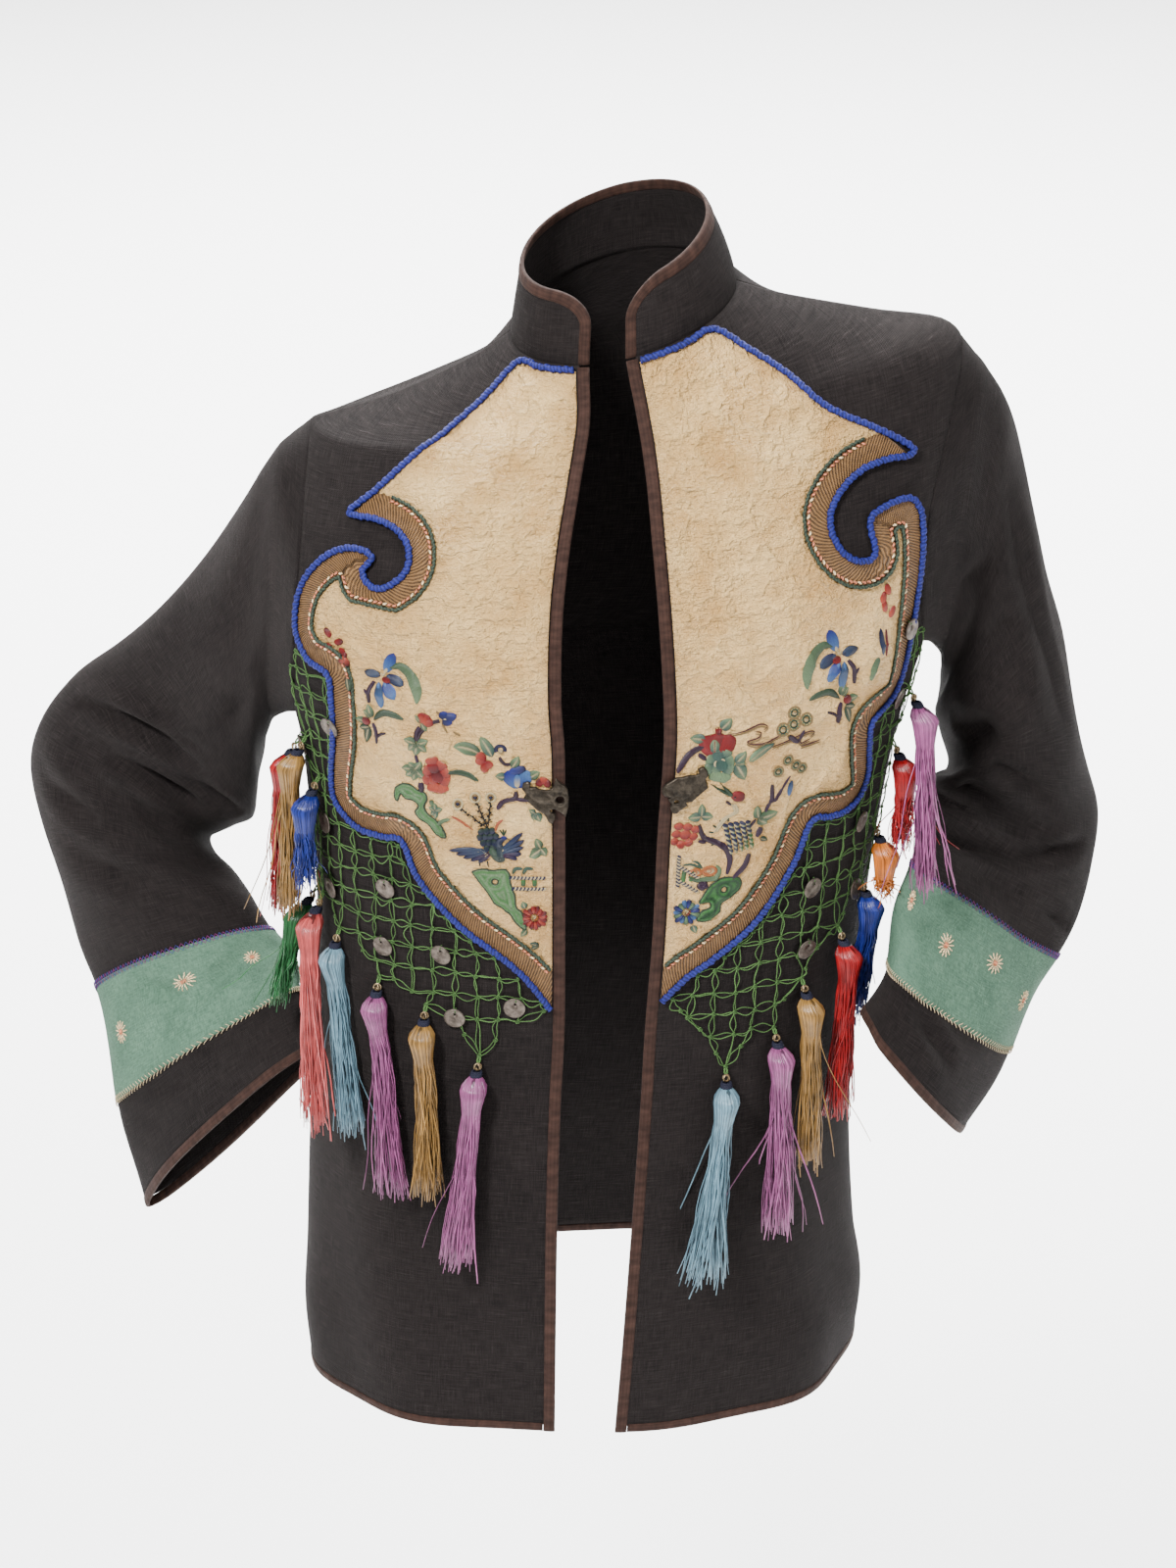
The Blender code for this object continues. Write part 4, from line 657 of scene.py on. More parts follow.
def clear_of_body(side, points, space):
    """The points, with those that come too near the body moved straight away from it."""
    drop = -points[..., 2]
    for _ in range(3):
        at = np.clip(drop, 0, JACKET_LENGTH)
        lean, half, front, back, roll, pitch, square = (smooth(BODY_RINGS, k, at) for k in range(1, 8))
        drop = -points[..., 2] + roll * (points[..., 0] - lean) + pitch * points[..., 1]
    x, y = points[..., 0] - lean, points[..., 1]
    depth = np.where(y < 0, front, back)
    reach = ((np.abs(x) / half) ** square + (np.abs(y) / depth) ** square) ** (1 / square)
    size = np.hypot(x, y)
    apart = (reach - 1) * size
    near = (drop >= UNDERARM[side]) & (apart < space)
    grow = np.where(near, (size + space - apart) / size, 1.0)
    return np.stack([lean + x * grow, y * grow, points[..., 2]], -1)


def fold_sink(side, sections, turns):
    degrees = np.degrees(turns)[None, :]
    sink = np.zeros((len(sections), len(turns)))
    for section, turn, reach, width, depth, slant in FOLDS[side]:
        along = (degrees - turn) / reach
        beyond = (sections[:, None] - section - slant * along) / width
        sink += np.where(np.abs(along) < 1, depth * np.cos(along * math.pi / 2) ** 2 * np.exp(-(beyond**2)), 0)
    return sink


def crease_rise(side, rings, sections, turns):
    """How far creases move the cloth out: a sharp valley with rounded cloth standing up on both sides."""
    along = np.linalg.norm(np.gradient(rings, axis=0), axis=2) / SLEEVE_STEP * 1000
    around = np.linalg.norm(np.roll(rings, -1, axis=1) - np.roll(rings, 1, axis=1), axis=2) / 2 * 1000
    around = around / np.degrees(turns[1])
    rise = np.zeros(rings.shape[:2])
    for one, turn_one, two, turn_two, width, depth, lip in CREASES[side]:
        ds = sections[:, None] - one + 0 * rise
        dt = (np.degrees(turns)[None, :] - turn_one + 180) % 360 - 180 + 0 * rise
        way = np.stack([(two - one) * along, (turn_two - turn_one) * around])
        size = np.hypot(*way)
        part = (ds * along * way[0] + dt * around * way[1]) / size**2
        off = (ds * along * way[1] - dt * around * way[0]) / size / width
        taper = np.clip(1 - np.abs(2 * part - 1), 0, 1) ** 0.8
        taper = taper * (np.abs(dt) < 140)
        lips, valley = np.exp(-(((np.abs(off) - 1.7) / 0.9) ** 2)), np.exp(-1.3 * np.abs(off) ** 1.15)
        rise += taper * depth / 800 * (lip * lips - valley)
    return rise


def sleeve_form(side):
    """Grid of a sleeve from the armhole (section -1) to the cuff (section 15), and its ways out."""
    sections = np.arange(-1, 15 + SLEEVE_STEP / 2, SLEEVE_STEP)
    turns = round_turns(SLEEVE_AROUND)
    seam, seam_ways, _ = armhole_ring(side, turns)
    rings = sleeve_rings(side, np.maximum(sections, 0), turns)
    first = int(round(1 / SLEEVE_STEP))
    start, lead, end, lag = bends((sections[:first] + 1)[:, None, None])
    onward = (rings[first + 1] - rings[first]) / SLEEVE_STEP
    rings[:first] = start * seam + lead * (rings[first] - seam) + end * rings[first] + lag * onward
    ways = tube_ways(rings)
    rise = crease_rise(side, rings, sections, turns) - fold_sink(side, sections, turns)
    degrees, s = turns[None, :], sections[:, None]
    rise += 0.0012 * np.sin(3 * degrees + 1.1 * s) * np.sin(0.9 * s + 1.0) + 0.0006 * np.sin(5 * degrees - 2.3 * s)
    ease = np.clip((s + 1) / 1.5, 0, 1) ** 1.5
    rings = rings + (ease * rise)[..., None] * ways
    rings[1:] = clear_of_body(side, rings[1:], 0.004)
    ways = tube_ways(rings)
    ways[0] = unit(ways[0] + seam_ways)
    return sections, turns, rings, ways


FORMS = {side: sleeve_form(side) for side in NAMES}


def on_sleeve(side, section, turn, lift=0.0):
    """Points over a sleeve's cloth at sections and turns in degrees, and the ways out."""
    sections, _, rings, ways = FORMS[side]
    s = np.clip((np.asarray(section, float) + 1) / SLEEVE_STEP, 0, len(sections) - 1.001)
    a = (np.asarray(turn, float) % 360) / 360 * SLEEVE_AROUND
    i, j = s.astype(int), a.astype(int) % SLEEVE_AROUND
    k = (j + 1) % SLEEVE_AROUND
    t, u = (s - i)[..., None], (a - np.floor(a))[..., None]

    def mix(grid):
        return (1 - t) * ((1 - u) * grid[i, j] + u * grid[i, k]) + t * ((1 - u) * grid[i + 1, j] + u * grid[i + 1, k])

    way = unit(mix(ways))
    return mix(rings) + np.asarray(lift)[..., None] * way, way


def sleeve_chart(rings, turns):
    girth = np.linalg.norm(np.roll(rings, -1, axis=1) - rings, axis=2).sum(axis=1).mean()
    along = np.concatenate([[0], np.cumsum(np.linalg.norm(np.diff(rings, axis=0), axis=2).mean(axis=1))])
    return np.stack(np.meshgrid(girth * turns / (2 * math.pi), along), -1)


for side, name in NAMES.items():
    sections, turns, rings, ways = FORMS[side]
    step = np.linalg.norm(rings[-1] - rings[-2], axis=1).mean()
    last = len(sections) - int(round((CUFF_BINDING - TUCK) / step))
    turned_in, turned_ways = seam_allowance(side)
    rings, ways = np.concatenate([turned_in, rings[:last]]), np.concatenate([turned_ways, ways[:last]])
    sleeve = sheet_piece(f"sleeve_tube_{name}", rings, ways, CLOTH, sleeve_chart(rings, turns), loop=True)
    finished(sleeve, twill, "cloth", f"sleeve_{name}")


# Collar
# A stand-up band of the twill, rounded at its front corners and sewn to the
# neck seam.
COLLAR_HEIGHT = 0.041
COLLAR_BINDING = 0.0065
COLLAR_ROUND = (0.028, 0.020)
COLLAR_LEAN = {RIGHT: 0.006, LEFT: 0.016}

neck_start, neck_end = float(edge_turn(RIGHT, 0.0)), float(edge_turn(LEFT, 0.0)) - 2 * math.pi
neck_turns, neck_run = ring_grid([0.0], [neck_start], [neck_end], 600)
NECK_GIRTH = neck_run[0, -1]


def on_collar(along, up, lift=0.0):
    """Points of the collar at distances round the neck seam and up from it, and the ways out."""
    foot = body(np.interp(along, neck_run[0], neck_turns[0]), np.zeros(np.shape(along)))
    way = unit(foot * (1, 1, 0))
    lean = COLLAR_LEAN[RIGHT] + (COLLAR_LEAN[LEFT] - COLLAR_LEAN[RIGHT]) * np.clip(way[..., 0], 0, 1)
    soft = 0.0007 * np.sin(along * 60) * np.sin(up * 70)
    out = lift + soft - lean * np.maximum(up, 0) ** 1.5 / COLLAR_HEIGHT**1.5
    points = foot + out[..., None] * way
    points[..., 2] += up
    return points, way


def collar_top(along, inset):
    end = np.minimum(along, NECK_GIRTH - along) - inset
    part = np.clip(1 - end / (COLLAR_ROUND[0] - inset), 0, 1)
    return COLLAR_HEIGHT - COLLAR_ROUND[1] + (COLLAR_ROUND[1] - inset) * np.sqrt(1 - part**2)


COLLAR_ROWS = 15
tucked = COLLAR_BINDING - TUCK
ends = tucked + 0.024 * (np.linspace(0, 1, 14)) ** 2
along = np.concatenate([ends[:-1], np.linspace(ends[-1], NECK_GIRTH - ends[-1], 110), NECK_GIRTH - ends[-2::-1]])
along = np.repeat(along[None], COLLAR_ROWS, axis=0)
up = np.linspace(-0.04, 1, COLLAR_ROWS)[:, None] * collar_top(along[0], tucked)[None]
points, ways = on_collar(along, up)
collar = sheet_piece("collar_stand", points, ways, CLOTH, np.stack([along, up], -1))
finished(collar, twill, "cloth", "collar")


# Bindings
# Brown cotton strips folded over the raw edges of the collar, both fronts, the
# hem and the cuffs, and stitched down.
BINDING_WALL = 0.0028
BINDING_AROUND = 14
BINDING_PUFF = 0.00004  # unevenness of the folded strip


def rolled(name, edge, inner, out, loop=False):
    """A strip folded over an edge: a flattened roll between the edge line and the inner line."""
    turn = round_turns(BINDING_AROUND)
    across, thick = (np.sign(f(turn)) * np.abs(f(turn)) ** 0.5 for f in (np.cos, np.sin))
    run = travelled(edge)
    middle, half = (edge + inner) / 2 - out * CLOTH / 2, (inner - edge) / 2
    puff = BINDING_PUFF * (np.sin(run * 900) + np.sin(run * 1370 + 1))[:, None, None] * 0.5
    rings = middle[:, None] + half[:, None] * across[None, :, None]
    rings = rings + out[:, None] * (thick[None, :, None] * (BINDING_WALL / 2 + puff))
    quads = grid_faces(len(edge), BINDING_AROUND, ring=True, closed=loop)
    faces, end = quads.tolist(), list(range(BINDING_AROUND))
    if not loop:
        faces += [end[::-1], [(len(edge) - 1) * BINDING_AROUND + m for m in end]]
    mesh = bpy.data.meshes.new(name)
    mesh.from_pydata(rings.reshape(-1, 3), [], faces)
    corners = corner_numbers(mesh)
    girth = np.linalg.norm(half, axis=1).mean() * 4
    spots = np.stack([(corners % BINDING_AROUND) / BINDING_AROUND * girth, run[corners // BINDING_AROUND]], -1)
    spots[: quads.size][wrapped(corners[: quads.size], BINDING_AROUND), 0] = girth
    charted(mesh, spots)
    shaped = bmesh.new()
    shaped.from_mesh(mesh)
    bmesh.ops.recalc_face_normals(shaped, faces=shaped.faces)
    if shaped.calc_volume(signed=True) < 0:
        bmesh.ops.reverse_faces(shaped, faces=shaped.faces)
    shaped.to_mesh(mesh)
    shaped.free()
    return linked(mesh)


def brown_cotton():
    """Brown cotton strip: fine plain weave, faded along its fold and a little puckered by its stitches."""
    finish = Finish("brown_binding", 0.8, sheen=0.02, sheen_tint=(1, 0.8, 0.7), specular=0.2)
    across, along, chart = finish.chart()
    weave = across.wave(0.0008) * 0.5 + along.wave(0.0008) * 0.5
    pucker = along.wave(0.0045)
    fade = finish.noise(chart, 220.0, 3.0)
    tone = (fade * 0.8 + weave * 0.2 + pucker * 0.03).step(0.25, 0.95)
    colour = tone.blend((0.0150, 0.0062, 0.0042, 1), (0.0560, 0.0250, 0.0170, 1))
    bump = weave * 0.4 + pucker * 0.12 + fade * 0.5
    return finish.set(base_color=colour, roughness=0.85 - tone * 0.15, bump=(bump, 0.0003))


brown = brown_cotton()


for side, name in NAMES.items():
    drops = np.linspace(4 * SEAM, JACKET_LENGTH, 190)
    edge, way = on_front(side, 0 * drops, drops)
    inner, _ = on_front(side, 0 * drops + FRONT_BINDING, drops)
    strip = rolled(f"front_edge_binding_{name}", edge, inner, way)
    finished(strip, brown, "binding", f"front_binding_{name}")

    across = np.linspace(FRONT_BINDING + SEAM, float(front_width(side, JACKET_LENGTH)) - SEAM, 70)
    low, way = on_front(side, across, 0 * across + JACKET_LENGTH)
    high, _ = on_front(side, across, 0 * across + JACKET_LENGTH - HEM_BINDING)
    strip = rolled(f"hem_roll_front_{name}", low, high, way)
    finished(strip, brown, "binding", f"hem_binding_front_{name}")

    sections, turns, rings, ways = FORMS[side]
    inner = rings[-1] + unit(rings[-5] - rings[-1]) * CUFF_BINDING
    strip = rolled(f"cuff_roll_{name}", rings[-1], inner, ways[-1], loop=True)
    finished(strip, brown, "binding", f"cuff_binding_{name}")

hem = np.full(BACK_COLUMNS + 1, JACKET_LENGTH)
turns = back_grid(np.array([JACKET_LENGTH]))[0][0]
way = outward(turns, hem)
off = (drape(turns, hem) * BACK_EASE)[:, None] * way
strip = rolled("hem_roll_back", body(turns, hem) + off, body(turns, hem - HEM_BINDING) + off, way)
finished(strip, brown, "binding", "hem_binding_back")

rise = np.linspace(0.0, COLLAR_HEIGHT - COLLAR_ROUND[1], 12)[:-1]
bend = np.linspace(0, math.pi / 2, 22)
flat = np.linspace(COLLAR_ROUND[0], NECK_GIRTH - COLLAR_ROUND[0], 100)[1:-1]


def collar_line(inset):
    corner = np.stack([
        inset + (COLLAR_ROUND[0] - inset) * (1 - np.cos(bend)),
        COLLAR_HEIGHT - COLLAR_ROUND[1] + (COLLAR_ROUND[1] - inset) * np.sin(bend),
    ], -1)
    start = np.concatenate([np.stack([inset + 0 * rise, rise], -1), corner])
    top = np.stack([flat, 0 * flat + COLLAR_HEIGHT - inset], -1)
    return np.concatenate([start, top, (start * (-1, 1) + (NECK_GIRTH, 0))[::-1]])


outer_line, inner_line = collar_line(0.0), collar_line(COLLAR_BINDING)
edge, way = on_collar(*outer_line.T)
inner, _ = on_collar(*inner_line.T)
strip = rolled("collar_edge_binding", edge, inner, way)
finished(strip, brown, "binding", "collar_binding")


# Satin
# Cream silk satin cut to a cloud collar shape on each front, hemmed under its
# cord. Age has crinkled it and stained it a little.
APPLIQUE = 0.0008
APPLIQUE_LIFT = 0.0003
APPLIQUE_EDGE = 0.0006
RIBBON_WIDTH = 0.0140
SATIN_TOP = APPLIQUE_LIFT + APPLIQUE
BINDING_EDGE = FRONT_BINDING + 2 * SEAM
# Bends of the satin's outline in millimetres: right across and drop, left
# across and drop, and 1 where the ribbon edges it
OUTLINE = np.array((
    (8.2, 2.6, 8.2, 2.6, 0), (30.0, 2.6, 34.0, 2.6, 0), (46.0, 3.0, 54.0, 3.0, 0),
    (64.0, 17.0, 71.5, 15.5, 0), (86.0, 33.0, 88.0, 28.0, 0), (103.0, 49.0, 109.0, 46.0, 0),
    (118.0, 64.0, 131.0, 60.0, 0), (130.0, 74.5, 153.0, 75.5, 0), (130.5, 78.5, 152.5, 80.0, 1),
    (115.0, 80.0, 139.0, 78.5, 1), (102.0, 85.0, 123.0, 80.0, 1), (93.0, 94.0, 110.0, 87.0, 1),
    (90.5, 105.5, 101.5, 98.0, 1), (95.0, 114.0, 101.0, 110.0, 1), (106.0, 120.0, 107.0, 121.5, 1),
    (114.5, 116.5, 117.0, 128.0, 1), (117.5, 110.0, 126.5, 126.0, 1), (113.0, 102.5, 124.5, 108.0, 1),
    (121.0, 98.0, 134.0, 102.5, 1), (134.0, 99.5, 149.0, 101.5, 1), (147.0, 108.5, 157.0, 107.5, 1),
    (158.0, 123.5, 160.5, 119.0, 1), (163.0, 141.0, 161.0, 140.0, 1), (162.5, 157.0, 158.0, 172.0, 1),
    (153.0, 171.0, 155.0, 200.0, 1), (138.0, 178.0, 148.0, 214.0, 1), (136.5, 196.0, 128.0, 223.0, 1),
    (139.0, 218.0, 129.0, 240.0, 1), (144.5, 247.0, 133.0, 258.0, 1), (143.0, 264.0, 128.0, 271.0, 1),
    (127.0, 277.5, 115.0, 277.0, 1), (108.0, 280.0, 103.0, 277.0, 1), (95.0, 280.5, 91.0, 277.5, 1),
    (85.0, 304.0, 81.0, 303.0, 1), (62.0, 331.0, 61.0, 334.0, 1), (36.0, 351.5, 36.0, 356.0, 1),
    (22.0, 365.0, 22.0, 366.0, 1), (8.2, 384.0, 8.2, 381.0, 1),
))


def curve(rows, step):
    """Smooth path through rows of places, with a point about every step; further columns follow along."""
    path = []
    for k in range(len(rows) - 1):
        before, after = rows[max(k - 1, 0)], rows[min(k + 2, len(rows) - 1)]
        count = max(1, round(float(np.linalg.norm(rows[k + 1, :2] - rows[k, :2])) / step))
        start, lead, end, lag = bends((np.arange(count) / count)[:, None])
        spots = (
            start * rows[k] + lead * (rows[k + 1] - before) / 2
            + end * rows[k + 1] + lag * (after - rows[k]) / 2
        )
        spots[:, 2:] = rows[k, 2:]
        path.append(spots)
    return np.concatenate(path + [rows[-1:]])


def flat_front(side, path):
    """Points of a path on the smooth form, without its folds."""
    return body(front_turn(side, path[:, 0], path[:, 1]), path[:, 1])


def shifted(side, path, amount):
    """The path moved across itself within the cloth, towards the satin, with mitred corners."""
    reach = 2e-4
    here = flat_front(side, path)
    across = (flat_front(side, path + (reach, 0)) - here) / reach
    down = (flat_front(side, path + (0, reach)) - here) / reach
    steps = np.diff(path, axis=0)
    before, after = np.vstack([steps[:1], steps]), np.vstack([steps, steps[-1:]])
    along = sum(unit(across * s[:, :1] + down * s[:, 1:]) for s in (before, after))
    aside = np.cross(along, np.cross(across, down))
    size = np.linalg.norm(aside, axis=1)
    aside *= (amount * np.minimum(2 / np.linalg.norm(along, axis=1), 1.6) / size)[:, None]
    aa, ad, dd = (np.sum(p * q, 1) for p, q in ((across, across), (across, down), (down, down)))
    pa, pd = np.sum(across * aside, 1), np.sum(down * aside, 1)
    span = aa * dd - ad * ad
    return path - np.stack([(pa * dd - pd * ad) / span, (pd * aa - pa * ad) / span], -1)


def inside(polygon, spots):
    """Which spots lie inside a closed outline."""
    held = np.zeros(len(spots), bool)
    for (ax, ay), (bx, by) in zip(polygon, np.roll(polygon, -1, axis=0)):
        if ay != by:
            crossed = (ay > spots[:, 1]) != (by > spots[:, 1])
            held ^= crossed & (spots[:, 0] < ax + (spots[:, 1] - ay) * (bx - ax) / (by - ay))
    return held


def spread(path, step):
    """Path with its points evenly apart."""
    run = travelled(path)
    even = np.linspace(0, run[-1], max(2, round(run[-1] / step) + 1))
    return np.stack([np.interp(even, run, path[:, k]) for k in range(path.shape[1])], -1)


def clear_of_binding(path):
    """Path kept to the cloth beside the front edge's binding."""
    return np.stack([np.maximum(path[:, 0], BINDING_EDGE), path[:, 1]], -1)


def outline_of(side):
    columns = (0, 1, 4) if side == RIGHT else (2, 3, 4)
    return curve(OUTLINE[:, columns] * (0.001, 0.001, 1), 0.0015)


def inset(side, path, amounts):
    """Path moved in by its amounts, without the points that come too near another part of it."""
    moved = shifted(side, path, amounts)
    rim = outline_of(side)[:, :2]
    closed = np.concatenate([[(0.0, rim[0, 1])], rim, [(0.0, 0.384)]])
    line = flat_front(side, path)
    gaps = np.linalg.norm(flat_front(side, moved)[:, None] - line[None], axis=2)
    far = gaps > 0.985 * np.asarray(amounts)[None, :] - 1e-5
    return moved[inside(closed, moved) & far.all(axis=1)]


def distance_to(path, spots):
    """Distance of each spot from a path, and how far along the path it is nearest."""
    starts, steps, run = path[:-1], np.diff(path, axis=0), travelled(path)
    best, along = np.full(len(spots), np.inf), np.zeros(len(spots))
    for start, step, begun in zip(starts, steps, run):
        size = max(float(step @ step), 1e-18)
        t = np.clip((spots - start) @ step / size, 0, 1)
        gap = np.linalg.norm(spots - start - t[:, None] * step, axis=1)
        near = gap < best
        best[near], along[near] = gap[near], begun + t[near] * math.sqrt(size)
    return best, along


def cut_shape(outline, step, margin=0.45, holes=()):
    """Places and triangles that fill a closed outline evenly, but for round holes: middle and radius."""
    low, high = outline.min(axis=0), outline.max(axis=0)
    spots = []
    for n, y in enumerate(np.arange(low[1], high[1], step * 0.866)):
        row = np.arange(low[0] + (n % 2) * step / 2, high[0], step)
        spots.append(np.stack([row, np.full(len(row), y)], -1))
    spots = np.concatenate(spots)
    spots = spots[inside(outline, spots)]
    spots = spots[distance_to(np.vstack([outline, outline[:1]]), spots)[0] > margin * step]
    loops = [outline]
    for x, y, radius in holes:
        spots = spots[np.hypot(spots[:, 0] - x, spots[:, 1] - y) > radius + margin * step]
        turn = round_turns(24)
        loops.append(np.stack([x + radius * np.cos(turn), y + radius * np.sin(turn)], -1))
    edges, count = [], 0
    for loop in loops:
        edges += [(count + k, count + (k + 1) % len(loop)) for k in range(len(loop))]
        count += len(loop)
    places = [Vector(p) for p in np.concatenate(loops + [spots])]
    verts, _, faces, *_ = delaunay_2d_cdt(places, edges, [], 1, 1e-7)
    verts, faces = np.array([tuple(v) for v in verts]), np.array([f for f in faces if len(f) == 3])
    middles = verts[faces].mean(axis=1)
    for x, y, radius in holes:
        kept = np.hypot(middles[:, 0] - x, middles[:, 1] - y) > radius
        faces, middles = faces[kept], middles[kept]
    return verts, faces


LATTICE = np.random.default_rng(11).random((97, 97))


def rough(x, y):
    """Smooth noise from 0 to 1 with features one unit apart."""
    i, j = np.floor(x).astype(int), np.floor(y).astype(int)
    s, t = x - i, y - j
    s, t = s * s * (3 - 2 * s), t * t * (3 - 2 * t)
    i, j, k, m = i % 97, j % 97, (i + 1) % 97, (j + 1) % 97
    return (1 - s) * ((1 - t) * LATTICE[i, j] + t * LATTICE[i, m]) + s * ((1 - t) * LATTICE[k, j] + t * LATTICE[k, m])


def crinkle(across, drop):
    """Rise of the old satin: sharp small creases between flat places, and slack along its edges."""
    x, y = across * 1000, drop * 1000
    bent_x, bent_y = x + 9 * rough(x / 23, y / 31), y + 9 * rough(x / 29 + 7, y / 21)
    broad = 1 - np.abs(2 * rough(bent_x / 21, bent_y / 34 + 3) - 1)
    fine = 1 - np.abs(2 * rough(bent_x / 8.5 + 5, bent_y / 11) - 1)
    tiny = rough(x / 3.1, y / 3.7)
    return 0.0021 * broad**4 + 0.0010 * fine**5 * (0.3 + broad) + 0.00010 * tiny


def on_satin(side, across, drop, lift=0.0):
    """Points over the satin's face, and the ways out."""
    return on_front(side, across, drop, SATIN_TOP + crinkle(across, drop) + lift)


def patch_piece(name, side, places, faces, wall, rise, chart, foot=APPLIQUE_LIFT):
    """A cut shape on a front: its face at rise over the panel, its back a wall behind or lower, on the foot."""
    top, ways = on_front(side, places[:, 0], places[:, 1], rise)
    base, _ = on_front(side, places[:, 0], places[:, 1], np.minimum(rise - wall, foot))
    count = len(places)
    a, b, c = (top[faces[:, n]] for n in range(3))
    if np.sum(np.cross(b - a, c - a) * ways[faces[:, 0]]) < 0:
        faces = faces[:, ::-1]
    edges = {}
    for f in faces:
        for p, q in ((f[0], f[1]), (f[1], f[2]), (f[2], f[0])):
            if (q, p) in edges:
                del edges[q, p]
            else:
                edges[p, q] = True
    rims = [(q, p, p + count, q + count) for p, q in edges]
    mesh = bpy.data.meshes.new(name)
    mesh.from_pydata(np.concatenate([top, base]), [], faces.tolist() + (faces[:, ::-1] + count).tolist() + rims)
    charted(mesh, np.concatenate([chart, chart])[corner_numbers(mesh)])
    return linked(mesh)


def old_satin():
    """Cream silk satin: a soft gloss, fine lengthwise floats, creases with a painted highlight along their fold
    lines, the yellow and brown of age, and a browner tone towards its edges.
    """
    finish = Finish("cream_satin", 0.42, specular=0.5)
    across, along, chart = finish.chart()
    floats = finish.noise(finish.vector(across * 2600.0, along * 160.0), 1.0, 2.0)
    creases = 1 - (finish.noise(chart, 260.0, 3.0, 0.65) - 0.5).size() * 2
    puckers = finish.noise(finish.vector(across * 120.0, along * 420.0), 1.0, 3.0, 0.6)
    folds = 1 - (finish.noise(chart, 62.0, 3.0, 0.45) - 0.5).size() * 2
    folds = folds.maths("POWER", folds, 9.0)
    age = finish.noise(chart, 26.0, 4.0, 0.62)
    spots = finish.noise(chart, 95.0, 3.0, 0.6).step(0.66, 0.78)
    edge = finish.attribute("near_edge", out=2)
    # The folds term paints a highlight along the fold lines; age, floats and spots are the satin's own colour.
    tone = (age * 0.9 + floats * 0.12 - spots * 0.25 + folds * 0.10).step(0.20, 0.85)
    colour = tone.blend((0.520, 0.270, 0.070, 1), (0.950, 0.630, 0.260, 1))
    # Browner towards its edges, by the near_edge tag, and at the stains.
    colour = (edge * 0.35 + spots * 0.30).blend(colour, (0.400, 0.230, 0.090, 1))
    bump = creases * 0.8 + puckers * 0.9 + floats * 0.10 + folds * 0.55
    return finish.set(base_color=colour, roughness=0.30 + age * 0.22, bump=(bump, 0.0052))


satin_silk = old_satin()


def tag(piece, name, values):
    """A number for each vertex, which the material reads."""
    layer = piece.data.attributes.new(name, "FLOAT", "POINT")
    layer.data.foreach_set("value", np.asarray(values, dtype=np.float32))


RIMS, OUTLINES = {}, {}
for side, name in NAMES.items():
    path = outline_of(side)
    ribboned = path[:, 2] > 0.5
    OUTLINES[side] = path
    rim = inset(side, path[:, :2], np.where(ribboned, APPLIQUE_EDGE + RIBBON_WIDTH, APPLIQUE_EDGE))
    rim = spread(rim, 0.0020)
    RIMS[side] = rim
    rim = clear_of_binding(rim)
    cut = np.vstack([rim, spread(np.array([(BINDING_EDGE, rim[-1, 1]), (BINDING_EDGE, rim[0, 1])]), 0.0022)])
    places, faces = cut_shape(cut, 0.0026)
    gap, _ = distance_to(cut, places)
    creased = SATIN_TOP + crinkle(places[:, 0], places[:, 1])
    lift = SATIN_TOP + (creased - APPLIQUE_LIFT - APPLIQUE) * np.clip(gap / 0.004, 0.25, 1)
    satin = patch_piece(f"satin_panel_{name}", side, places, faces, APPLIQUE, lift, places * (side, 1))
    finished(satin, satin_silk, "satin", f"satin_{name}")
    tag(satin, "near_edge", np.tile(np.exp(-gap / 0.006), 2))


# Ribbon
# A gold-brown woven band along the lower edge of the satin, with its ends
# mitred at the corners, under the cords.
def gold_ribbon():
    """Gold-brown twill band: steep ribs, glints of metal thread, rubbed brown along its edges."""
    finish = Finish("gold_brown_ribbon", 0.5, specular=0.3)
    across, along, chart = finish.chart()
    ribs = (along + across * 0.55).wave(0.0017)
    fine = (along * 0.7 - across).wave(0.0010)
    glints = finish.noise(finish.vector(across * 260.0, along * 1500.0), 1.0, 2.0)
    worn = finish.noise(chart, 120.0, 4.0, 0.65)
    tone = (ribs * 0.50 + glints * 0.65 + fine * 0.12 + worn * 0.55 - 0.35).step(0.1, 1.0)
    colour = tone.blend((0.030, 0.0145, 0.0060, 1), (0.290, 0.155, 0.060, 1))
    return finish.set(
        base_color=colour, roughness=0.60 - glints * 0.25, metallic=glints.step(0.58, 0.72) * 0.5,
        bump=(ribs * 0.9 + fine * 0.4 + worn * 0.6, 0.0008),
    )


gold_brown = gold_ribbon()
RIBBON_EDGES = {}
for side, name in NAMES.items():
    path = OUTLINES[side]
    first = int(np.argmax(path[:, 2] > 0.5))
    outer = inset(side, path[first:, :2], np.full(len(path) - first, APPLIQUE_EDGE))
    rim = RIMS[side]
    corner = int(np.argmin(np.hypot(*(rim - path[first, :2]).T)))
    inner = rim[corner:]
    RIBBON_EDGES[side] = outer, inner
    outside = spread(outer, 0.0018)
    places, faces = cut_shape(clear_of_binding(np.vstack([outside, inner[::-1]])), 0.0022)
    gap, along = distance_to(outside, places)
    buckle = 0.00025 * rough(along * 300, gap * 200)
    lift = SATIN_TOP + 0.0001 + buckle + 0.0006 * rough(along * 55, gap * 0 + 4) ** 2
    ribbon = patch_piece(f"ribbon_band_{name}", side, places, faces, APPLIQUE, lift, np.stack([gap, along], -1))
    finished(ribbon, gold_brown, "ribbon", f"ribbon_{name}")


